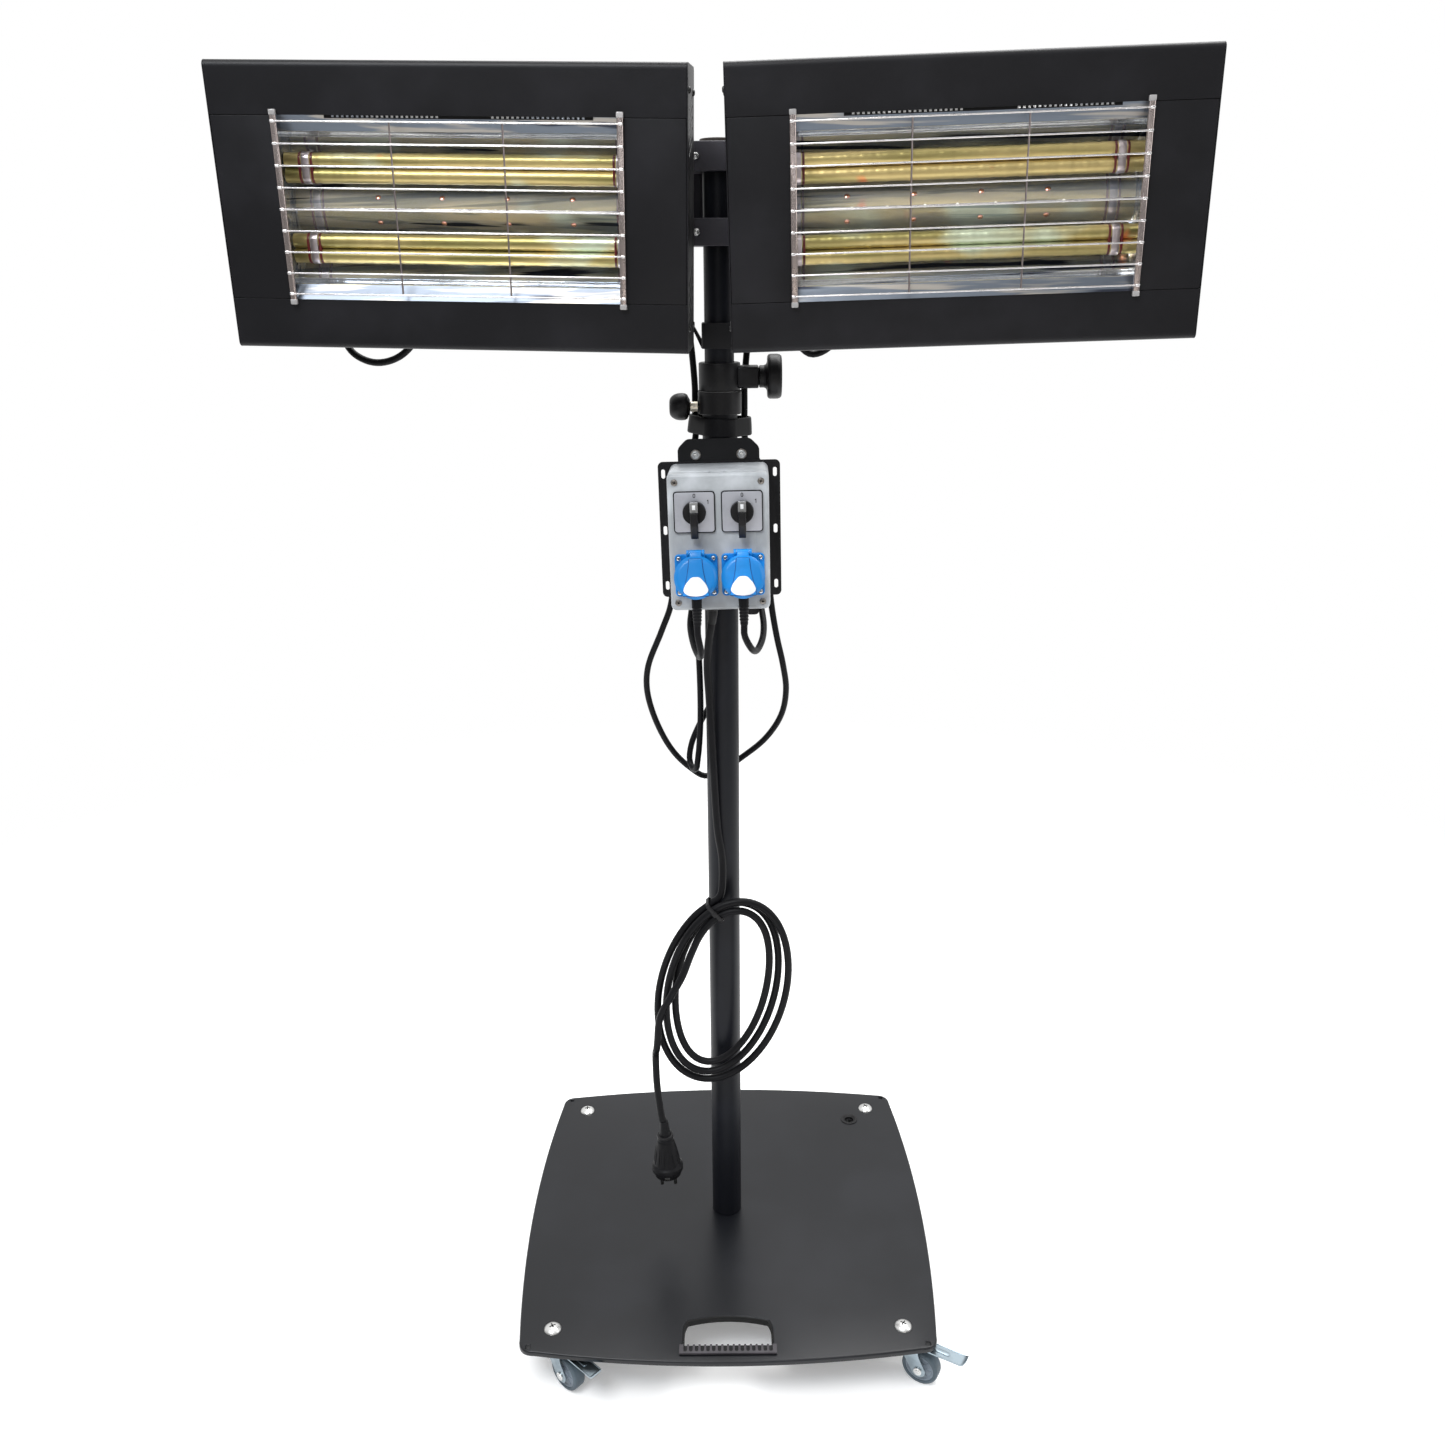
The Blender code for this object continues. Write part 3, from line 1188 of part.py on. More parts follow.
def make_leads(box_frame):
    """The two head leads below the strap, with their surplus loops, to the plugs."""
    top = cord_pass_z - gap
    route = [(-cord_pass_x, cord_pass_y, top), (-cord_pass_x, cord_pass_y, 1.2110), (-0.0340, 0.0205, 1.1980), (-0.0420, 0.0150, 1.1850), (-0.0480, 0.0125, 1.1680)]
    route += [(-0.0480, 0.0140, 1.1400), (-0.0420, 0.0180, 1.0900), (-0.0370, 0.0160, 1.0450), (-0.0350, 0.0110, 1.0000), (-0.0310, 0.0060, 0.9560)]
    route += [(-0.0290, 0.0060, 0.9056), (-0.0290, 0.0080, 0.8493), (-0.0315, 0.0080, 0.8075), (-0.0350, 0.0090, 0.7840), (-0.0414, 0.0140, 0.7745)]
    route += [(-0.0480, 0.0210, 0.7880), (-0.0441, 0.0290, 0.8088), (-0.0304, 0.0350, 0.8325), (-0.0120, 0.0370, 0.8680), (-0.0020, 0.0360, 0.9200)]
    route += [(0.0000, 0.0350, 0.9800), (0.0010, 0.0360, 1.0500), (0.0080, 0.0370, 1.1050), (0.0240, 0.0350, 1.1220), (0.0380, 0.0260, 1.1080)]
    route += [(0.0410, 0.0160, 1.0700), (0.0450, 0.0040, 1.0280), (0.0500, -0.0140, 1.0020), (0.0520, -0.0400, 0.9880), (0.0490, -0.0750, 0.9780)]
    route += [(0.0400, -0.1100, 0.9740), (0.0325, -0.1285, 0.9860)]
    cord("left_lead", route + list(sleeve_end(box_frame, 1)), lead_radius)
    route = [(cord_pass_x, cord_pass_y, top), (cord_pass_x, cord_pass_y, 1.2110), (0.0345, 0.0190, 1.1980), (0.0440, 0.0100, 1.1850), (0.0520, 0.0030, 1.1680)]
    route += [(0.0560, 0.0000, 1.1400), (0.0570, -0.0020, 1.0900), (0.0590, -0.0020, 1.0450), (0.0635, 0.0000, 1.0000), (0.0704, 0.0040, 0.9593)]
    route += [(0.0788, 0.0100, 0.9202), (0.0834, 0.0200, 0.8830), (0.0776, 0.0300, 0.8449), (0.0567, 0.0380, 0.8089), (0.0244, 0.0420, 0.7800)]
    route += [(-0.0015, 0.0430, 0.7613), (-0.0248, 0.0420, 0.7542), (-0.0430, 0.0400, 0.7660), (-0.0660, 0.0370, 0.7909), (-0.0866, 0.0300, 0.8330)]
    route += [(-0.0985, 0.0220, 0.8814), (-0.0962, 0.0140, 0.9180), (-0.0770, 0.0050, 0.9685), (-0.0640, 0.0000, 1.0050), (-0.0600, -0.0040, 1.0500)]
    route += [(-0.0590, -0.0050, 1.1000), (-0.0540, -0.0060, 1.1290), (-0.0440, -0.0070, 1.1290), (-0.0360, -0.0100, 1.0900), (-0.0345, -0.0120, 1.0400)]
    route += [(-0.0370, -0.0190, 1.0060), (-0.0390, -0.0400, 0.9880), (-0.0340, -0.0750, 0.9720), (-0.0270, -0.1050, 0.9660), (-0.0245, -0.1260, 0.9780)]
    cord("right_lead", route + list(sleeve_end(box_frame, -1)), lead_radius)


def make_strap():
    """The strap that holds both leads to the mast tube."""
    near = outer_radius + 4 * gap
    width, back, corner = strap_half_width, strap_back, strap_corner
    inner = [(near * math.cos(t), near * math.sin(t)) for t in [math.radians(a) for a in (225, 255, 285, 315)]]
    side = [(width, back - 2 * corner), (width, back - corner), (width - corner, back)]
    inner += side + [(-x, y) for x, y in side[::-1]]
    grow = 1 + strap_sheet / width
    lift = back / 4
    outer = [(x * grow, lift + (y - lift) * grow) for x, y in inner]
    frame = Matrix.Translation((0, 0, strap_foot + strap_height / 2)) @ Matrix.Rotation(strap_tilt, 4, "Y")
    half = strap_height / 2
    strap = solid("cable_strap", prism(bmesh.new(), outer, -half, half, "Z", frame), black_plastic)
    cut(strap, prism(bmesh.new(), inner, -half - cut_overrun, half + cut_overrun, "Z", frame))


def smooth(share):
    """A share from 0 to 1 eased at both ends."""
    return share * share * (3 - 2 * share)


def coil_point(turn):
    """A point of the hanging coil, by turns run from the tie; the last part crosses in front."""
    angle = coil_start_angle - 2 * math.pi * turn
    near_tie = ((1 + math.cos(2 * math.pi * turn)) / 2) ** 3
    leaving = max(0.0, turn - coil_full_turns) / (coil_turns - coil_full_turns)
    forward = smooth(min(1.0, leaving * coil_forward_share))
    outward = smooth(max(0.0, 1 - (1 - leaving) * coil_forward_share))
    inset = (coil_spread * (1 - near_tie) + coil_bunch * near_tie) * turn * (1 - outward)
    along = (coil_half_long - inset) * math.cos(angle)
    across = (coil_half_wide - inset) * math.sin(angle)
    lean_x, lean_z = math.sin(coil_lean), math.cos(coil_lean)
    y = coil_y + coil_layer * math.cos(math.pi * turn) - coil_crossing * forward
    return Vector((lean_x * along + lean_z * across, y, coil_centre_z + lean_z * along - lean_x * across))


def coil_points():
    """The coil's points, with a straight diameter at each end."""
    count = round(coil_turns * coil_loop_points)
    points = [coil_point(coil_turns * k / count) for k in range(count + 1)]
    first, last = (points[0] - points[1]).normalized(), (points[-1] - points[-2]).normalized()
    straight = 2 * supply_radius
    return [points[0] + first * straight] + points + [points[-1] + last * straight], first, last


def least_gap(points, radius):
    """The least clear gap between a tube and its own other turns."""
    best = 1.0
    skip = coil_loop_points // 4
    for i in range(len(points) - 1):
        for j in range(i + skip, len(points) - 1):
            for share in (0, 0.25, 0.5, 0.75):
                spot = points[i].lerp(points[i + 1], share)
                run = points[j + 1] - points[j]
                t = max(0.0, min(1.0, (spot - points[j]).dot(run) / run.length_squared))
                best = min(best, (spot - points[j] - run * t).length)
    return best - 2 * radius


def make_supply(box_frame):
    """The supply cord from the box's gland, its hanging coil, its tail and plug."""
    coil, first, last = coil_points()
    tube("supply_coil", coil, supply_radius, None, 1)
    print(f"supply coil, least gap to itself: {least_gap(coil, supply_radius) * 1000:.2f} mm")
    foot = -box_half_height - box_gland_length / 2 - gap
    start = world(box_frame, box_gland_x, box_gland_y, foot)
    mouth = world(box_frame, box_gland_x, box_gland_y, foot - box_gland_length)
    route = [(-0.0160, -0.0430, 0.9700), (-0.0185, -0.0350, 0.9350), (-0.0165, -0.0292, 0.8866), (-0.0125, -0.0278, 0.7909), (-0.0080, -0.0278, 0.7059)]
    route += [(-0.0020, -0.0285, 0.6560)]
    ends = [coil[0] + first * (0.012 + gap), coil[0] + first * gap]
    cord("supply_drop", [start, mouth] + route + ends, supply_radius)
    plug_top = Vector((-0.0868, -0.0580, 0.2490))
    plug_foot = Vector((-0.0830, -0.0580, 0.1630))
    down = (plug_foot - plug_top).normalized()
    route = [coil[-1] + last * gap, coil[-1] + last * 0.012, (-0.0975, -0.0440, 0.3730), (-0.0965, -0.0490, 0.3240), (-0.0915, -0.0555, 0.2800)]
    cord("supply_tail", route + [plug_top - down * 0.012, plug_top - down * gap], supply_radius)
    make_supply_plug(plug_top, down)
    make_tie(coil)


def make_supply_plug(top, down):
    """The earthed rubber plug: tapered grip, flange, front and two pins."""
    turn = Vector((0, 0, -1)).rotation_difference(down).to_matrix().to_4x4()
    frame = Matrix.Translation(top) @ turn @ Matrix.Rotation(math.pi, 4, "X")
    length, wide, front = supply_plug_length, supply_plug_wide, supply_plug_front
    flange = length - 2 * supply_flange_height
    profile = [(0, 0), (supply_plug_top, 0), (supply_plug_top, supply_flange_height), (front, flange), (wide, flange)]
    profile += [(wide, flange + supply_flange_height), (front, flange + supply_flange_height), (front, length), (0, length)]
    plug = solid("supply_plug", lathe(bmesh.new(), profile, frame=frame), black_rubber)
    pins = bmesh.new()
    for side in (-1, 1):
        rod(pins, supply_pin_radius, length - supply_flange_height / 2, length + supply_pin_length, "Z", 8, (side * supply_pin_place, 0), frame)
    join(plug, pins)


def make_tie(coil):
    """The cable tie round the bunched turns at the top of the coil."""
    turns = [coil_point(k) for k in range(4)]
    middle = sum(turns, Vector()) / 4
    tangent = (coil[2] - coil[1]).normalized()
    depth = Vector((0, 1, 0))
    across = depth.cross(tangent).normalized()
    frame = Matrix.Translation(middle) @ Matrix((across, depth, tangent)).transposed().to_4x4()
    reach = max(abs((p - middle).dot(across)) for p in turns) + supply_radius + tie_slack
    deep = coil_layer + supply_radius + tie_slack
    inner = rounded(reach, deep, supply_radius * 0.6, 2)
    outer = rounded(reach + tie_sheet, deep + tie_sheet, supply_radius * 0.6 + tie_sheet, 2)
    half = tie_half_height
    tie = solid("cable_tie", prism(bmesh.new(), outer, -half, half, "Z", frame), black_plastic)
    cut(tie, prism(bmesh.new(), inner, -half - cut_overrun, half + cut_overrun, "Z", frame))


def main():
    """Builds the whole heater."""
    clear_scene()
    make_base_plate()
    make_grip()
    make_castors()
    make_mast_tube()
    make_foot_bolt()
    make_collar()
    make_collar_controls()
    mast = frame_empty("mast_slide")
    make_inner_mast(mast)
    make_cable_guide(mast)
    make_head_clamp(mast)
    for side_name in ("left", "right"):
        pan, _, head = make_head(side_name, mast)
        make_head_cords(side_name, pan, head, mast)
    box_frame = make_control_box()
    make_leads(box_frame)
    make_strap()
    make_supply(box_frame)
    bpy.context.view_layer.update()


main()
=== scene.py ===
"""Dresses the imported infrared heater: finishes, detailed pieces, cords, light and camera."""

from __future__ import annotations

import json
import logging
import math
from dataclasses import dataclass, field
from enum import Enum
from itertools import product
from typing import Any, Mapping, Sequence

import bmesh
import bpy
import numpy as np
from mathutils import Matrix, Vector, geometry

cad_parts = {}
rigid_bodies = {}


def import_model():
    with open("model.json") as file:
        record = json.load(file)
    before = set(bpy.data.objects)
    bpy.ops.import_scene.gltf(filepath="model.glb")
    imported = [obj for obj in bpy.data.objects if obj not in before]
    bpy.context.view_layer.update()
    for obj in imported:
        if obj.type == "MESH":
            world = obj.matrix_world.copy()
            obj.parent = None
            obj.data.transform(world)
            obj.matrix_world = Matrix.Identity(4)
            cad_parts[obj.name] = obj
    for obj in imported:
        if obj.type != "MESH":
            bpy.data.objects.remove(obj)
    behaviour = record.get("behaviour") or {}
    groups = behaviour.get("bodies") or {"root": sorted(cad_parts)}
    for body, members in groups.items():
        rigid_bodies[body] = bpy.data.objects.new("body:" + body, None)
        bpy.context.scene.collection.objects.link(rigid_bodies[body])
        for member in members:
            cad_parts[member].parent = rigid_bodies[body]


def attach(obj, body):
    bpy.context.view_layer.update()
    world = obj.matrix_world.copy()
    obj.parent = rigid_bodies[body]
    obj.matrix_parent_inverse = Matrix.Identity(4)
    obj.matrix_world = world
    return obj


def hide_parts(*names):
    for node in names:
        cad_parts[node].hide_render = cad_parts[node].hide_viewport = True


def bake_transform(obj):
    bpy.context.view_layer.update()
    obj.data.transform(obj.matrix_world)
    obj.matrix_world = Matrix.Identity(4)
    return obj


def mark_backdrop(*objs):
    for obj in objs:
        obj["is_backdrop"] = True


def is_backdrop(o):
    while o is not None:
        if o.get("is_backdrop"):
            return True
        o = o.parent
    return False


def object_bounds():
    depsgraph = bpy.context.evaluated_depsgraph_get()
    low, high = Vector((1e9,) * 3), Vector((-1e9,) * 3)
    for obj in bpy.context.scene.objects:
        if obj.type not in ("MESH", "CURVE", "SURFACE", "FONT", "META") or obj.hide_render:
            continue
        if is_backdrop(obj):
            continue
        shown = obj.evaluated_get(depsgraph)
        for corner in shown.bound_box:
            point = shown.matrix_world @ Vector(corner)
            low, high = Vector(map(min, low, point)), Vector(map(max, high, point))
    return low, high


Array = np.ndarray
Colour = tuple[float, float, float]
log = logging.getLogger("heater")
TAU = 2 * math.pi
GAP = 0.0003


class Slot(Enum):
    """The record's material slots."""

    BASE_PAINT = "base_paint"
    BLACK_PAINT = "black_paint"
    BLACK_PLASTIC = "black_plastic"
    BLACK_RUBBER = "black_rubber"
    ZINC_PLATE = "zinc_plate"
    WHEEL_GREY = "wheel_grey"
    SWITCH_METAL = "switch_metal"
    REFLECTOR = "reflector_metal"
    GUARD = "guard_chrome"
    LAMP = "lamp_glass"
    BOX_GREY = "box_grey"
    SOCKET_BLUE = "socket_blue"


class Side(Enum):
    """The two hands of the heater, seen from the lamps' side."""

    LEFT = -1
    RIGHT = 1

    @property
    def word(self) -> str:
        """The side's word in node names."""
        return self.name.lower()


# Shader expressions
class Wire:
    """A shader value that Python's operators can work with."""

    def __init__(self, shader: "Shader", source: bpy.types.NodeSocket) -> None:
        """Wraps one output socket.

        Args:
            shader: The material that owns the socket.
            source: The output socket.
        """
        self.shader = shader
        self.source = source

    def __add__(self, other: "Number") -> "Wire":
        """Adds."""
        return self.shader.maths("ADD", self, other)

    def __radd__(self, other: "Number") -> "Wire":
        """Adds, reflected."""
        return self.shader.maths("ADD", other, self)

    def __sub__(self, other: "Number") -> "Wire":
        """Subtracts."""
        return self.shader.maths("SUBTRACT", self, other)

    def __rsub__(self, other: "Number") -> "Wire":
        """Subtracts, reflected."""
        return self.shader.maths("SUBTRACT", other, self)

    def __mul__(self, other: "Number") -> "Wire":
        """Multiplies."""
        return self.shader.maths("MULTIPLY", self, other)

    def __rmul__(self, other: "Number") -> "Wire":
        """Multiplies, reflected."""
        return self.shader.maths("MULTIPLY", other, self)

    def __pow__(self, other: "Number") -> "Wire":
        """Raises to a power."""
        return self.shader.maths("POWER", self, other)

    def step(self, low: float, high: float) -> "Wire":
        """Rises from 0 to 1 between two values, and stays there.

        Args:
            low: Where it leaves 0.
            high: Where it reaches 1.

        Returns:
            The eased value.
        """
        return self.shader.add("MapRange", {"interpolation_type": "SMOOTHSTEP"}, {0: self, 1: low, 2: high})


Number = Wire | float


class Shader:
    """One material under construction."""

    def __init__(self, name: str) -> None:
        """Makes the material with its Principled shader.

        Args:
            name: The material's name.
        """
        self.material = bpy.data.materials.new(name)
        self.material.use_nodes = True
        self.tree = self.material.node_tree
        self.surface = self.tree.nodes["Principled BSDF"]

    def add(self, kind: str, settings: Mapping[str, Any] | None = None,
            values: Mapping[str | int, Any] | None = None, output: str | int = 0) -> Wire:
        """Adds a node.

        Args:
            kind: The node's type without its ShaderNode prefix.
            settings: Properties that are set first.
            values: Values or wires of its input sockets, by name or number.
            output: The output socket that is wanted.

        Returns:
            That output.
        """
        node = self.tree.nodes.new("ShaderNode" + kind)
        for key, value in (settings or {}).items():
            setattr(node, key, value)
        for key, value in (values or {}).items():
            self.feed(node.inputs[key], value)
        return Wire(self, node.outputs[output])

    def feed(self, target: bpy.types.NodeSocket, value: Any) -> None:
        """Links a wire to a socket, or sets the socket's own value.

        Args:
            target: The input socket.
            value: A wire, a number, a colour or a vector.
        """
        if isinstance(value, Wire):
            self.tree.links.new(value.source, target)
        elif target.type == "RGBA":
            target.default_value = (*value[:3], 1.0)
        else:
            target.default_value = value

    def set(self, **values: Any) -> None:
        """Feeds sockets of the Principled shader, named with underscores for spaces."""
        for name, value in values.items():
            self.feed(self.surface.inputs[name.replace("_", " ")], value)

    def maths(self, operation: str, first: Number, second: Number = 0.0) -> Wire:
        """Adds a Math node for an expression."""
        return self.add("Math", {"operation": operation}, {0: first, 1: second})

    def place(self, stretch: Sequence[float] = (1, 1, 1)) -> Wire:
        """Object coordinates, stretched along X, Y and Z."""
        spot = self.add("TexCoord", output="Object")
        if tuple(stretch) == (1, 1, 1):
            return spot
        return self.add("Mapping", {}, {"Vector": spot, "Scale": tuple(stretch)})

    def noise(self, scale: float, detail: float = 3.0, stretch: Sequence[float] = (1, 1, 1)) -> Wire:
        """Cloudy noise in Object coordinates, from 0 to 1."""
        return self.add("TexNoise", {}, {"Vector": self.place(stretch), "Scale": scale, "Detail": detail})

    def mix(self, share: Number, first: Any, second: Any) -> Wire:
        """Mixes two colours."""
        return self.add("Mix", {"data_type": "RGBA"}, {0: share, 6: first, 7: second}, 2)

    def axes(self) -> tuple[Wire, Wire, Wire]:
        """The three coordinates one by one."""
        split = self.add("SeparateXYZ", {}, {0: self.place()})
        return tuple(Wire(self, split.source.node.outputs[k]) for k in range(3))

    def bump(self, height: Wire, depth: float, strength: float = 1.0) -> None:
        """Raises the surface by a height pattern.

        Args:
            height: The pattern, from 0 to 1.
            depth: Its real depth in metres.
            strength: How much of it shows.
        """
        self.set(Normal=self.add("Bump", {}, {"Strength": strength, "Distance": depth, "Height": height}))


def shade(colour: Colour, factor: float) -> Colour:
    """A colour made lighter or darker."""
    return tuple(min(1.0, c * factor) for c in colour)


# Finishes
@dataclass(frozen=True)
class Finish:
    """A surface finish, made once and shared by its pieces.

    Attributes:
        name: The material's name.
        slot: The record's slot that it belongs to.
        colour: The main colour.
        roughness: The main roughness.
    """

    name: str
    slot: Slot
    colour: Colour
    roughness: float = 0.5

    def material(self) -> bpy.types.Material:
        """Returns the material, made at its first use.

        Its title ends in _finish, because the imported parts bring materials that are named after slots.

        Returns:
            The material.
        """
        title = self.name + "_finish"
        found = bpy.data.materials.get(title)
        if found is None:
            shader = Shader(title)
            self.paint(shader)
            found = shader.material
        return found

    def paint(self, shader: Shader) -> None:
        """Builds the finish's nodes."""
        raise NotImplementedError


@dataclass(frozen=True)
class PowderCoat(Finish):
    """Baked paint with a fine orange-peel grain and light dust.

    Attributes:
        grain: Grain cells per metre.
        dust: How light the settled dust is.
        gloss: Strength of its reflections, where 0.5 is plain paint.
    """

    grain: float = 700.0
    dust: float = 1.5
    gloss: float = 0.3

    def paint(self, shader: Shader) -> None:
        """Builds the paint."""
        cloud, speck = shader.noise(9, 4), shader.noise(self.grain, 2)
        patches = cloud.step(0.42, 0.72)
        base = shader.mix(patches, shade(self.colour, 0.92), shade(self.colour, self.dust))
        rough = self.roughness + 0.14 * (cloud - 0.5) + 0.05 * speck
        shader.set(Base_Color=base, Roughness=rough, Specular_IOR_Level=self.gloss)
        shader.bump(speck, 0.00012, 0.35)


@dataclass(frozen=True)
class Moulded(Finish):
    """Moulded plastic or rubber with a fine grain and handling marks.

    Attributes:
        grain: Grain cells per metre.
        depth: Depth of the grain in metres.
        coat: Weight of a thin gloss skin.
        gloss: Strength of its reflections, where 0.5 is plain plastic.
    """

    grain: float = 1400.0
    depth: float = 0.00008
    coat: float = 0.0
    gloss: float = 0.35

    def paint(self, shader: Shader) -> None:
        """Builds the plastic."""
        wear, speck = shader.noise(26, 5), shader.noise(self.grain, 2)
        base = shader.mix(wear.step(0.4, 0.75), shade(self.colour, 0.9), shade(self.colour, 1.35))
        shader.set(Base_Color=base, Roughness=self.roughness + 0.16 * (wear - 0.5),
                   Specular_IOR_Level=self.gloss)
        shader.set(Coat_Weight=self.coat, Coat_Roughness=0.12)
        shader.bump(speck, self.depth, 0.4)


@dataclass(frozen=True)
class BareMetal(Finish):
    """Bare or plated metal with fine drawn lines and dull spots.

    Attributes:
        stretch: Factors that draw the lines out along an axis.
        dull: Colour of the dull spots, as a factor.
        line_depth: Depth of the lines in metres.
    """

    stretch: tuple[float, float, float] = (1, 1, 1)
    dull: float = 0.8
    line_depth: float = 0.00003

    def paint(self, shader: Shader) -> None:
        """Builds the metal."""
        lines, spots = shader.noise(900, 3, self.stretch), shader.noise(60, 5)
        base = shader.mix(spots.step(0.45, 0.7), self.colour, shade(self.colour, self.dull))
        rough = self.roughness + 0.12 * (lines - 0.5) + 0.14 * spots.step(0.5, 0.8)
        shader.set(Base_Color=base, Metallic=1.0, Roughness=rough)
        shader.bump(lines, self.line_depth, 0.3)


@dataclass(frozen=True)
class MirrorSheet(Finish):
    """Polished sheet, drawn along X, whose long shallow waves pull its reflections into streaks. Its colour
    also carries painted reflections in bluish-grey and dark streaks.

    Attributes:
        wave: Depth of the waves in metres.
        tint: Colour of its duller, rougher streaks, a painted reflection of the room.
        dark: Colour of its darkest streaks, a painted reflection of dark surroundings.
        metal: Share of mirror in its surface; the rest is a dull white bloom of diffuse colour, partly a
            painted reflection that brightens the sheet.
    """

    wave: float = 0.0012
    metal: float = 0.78
    tint: Colour = (0.50, 0.54, 0.60)
    dark: Colour = (0.07, 0.08, 0.12)

    def paint(self, shader: Shader) -> None:
        """Builds the sheet."""
        waves = shader.noise(30, 2, (0.30, 1, 1))
        lines = shader.noise(500, 2, (0.02, 1, 1))
        dull = shader.noise(90, 3, (0.05, 1, 1))
        # Painted reflections: the duller streaks take the bluish-grey tint and the darkest streaks the dark
        # colour, standing in for what the sheet mirrors.
        base = shader.mix(dull.step(0.50, 0.60), self.colour, self.tint)
        base = shader.mix(shader.noise(110, 2, (0.035, 1, 1)).step(0.60, 0.66), base, self.dark)
        shader.set(Base_Color=base, Metallic=self.metal,
                   Roughness=self.roughness + 0.05 * lines + 0.06 * dull.step(0.5, 0.8))
        shader.bump(waves + 0.05 * lines, self.wave, 1.0)


@dataclass(frozen=True)
class GoldQuartz(Finish):
    """Quartz tube with a thin gold coat: olive bands along it, drawn streaks, pale clouds of painted
    highlight and a few small red patches of painted light.

    Attributes:
        olive: Colour of the darker bands.
        pale: Colour of the pale clouds, painted highlights.
        glow: Colour of the small red patches, painted light.
    """

    olive: Colour = (0.30, 0.26, 0.09)
    pale: Colour = (0.60, 0.66, 0.48)
    glow: Colour = (0.80, 0.20, 0.06)

    def paint(self, shader: Shader) -> None:
        """Builds the coated glass."""
        bands = shader.noise(70, 2, (0.06, 1, 1))
        streaks = shader.noise(320, 2, (0.03, 1, 1))
        cloud = shader.noise(17, 2, (0.5, 1, 1))
        base = shader.mix(bands.step(0.36, 0.66), self.colour, self.olive)
        # Painted highlights: pale clouds mixed into the coat's colour.
        base = shader.mix(cloud.step(0.56, 0.70), base, self.pale)
        # Painted light: small red patches mixed into the colour.
        spots = shader.noise(34, 2, (0.7, 1, 1)).step(0.68, 0.80)
        base = shader.mix(spots, base, self.glow)
        shader.set(Base_Color=base, Metallic=0.8, Roughness=self.roughness + 0.12 * streaks,
                   Coat_Weight=0.12, Coat_Roughness=0.1)
        shader.bump(bands + 0.15 * streaks, 0.0006, 0.8)


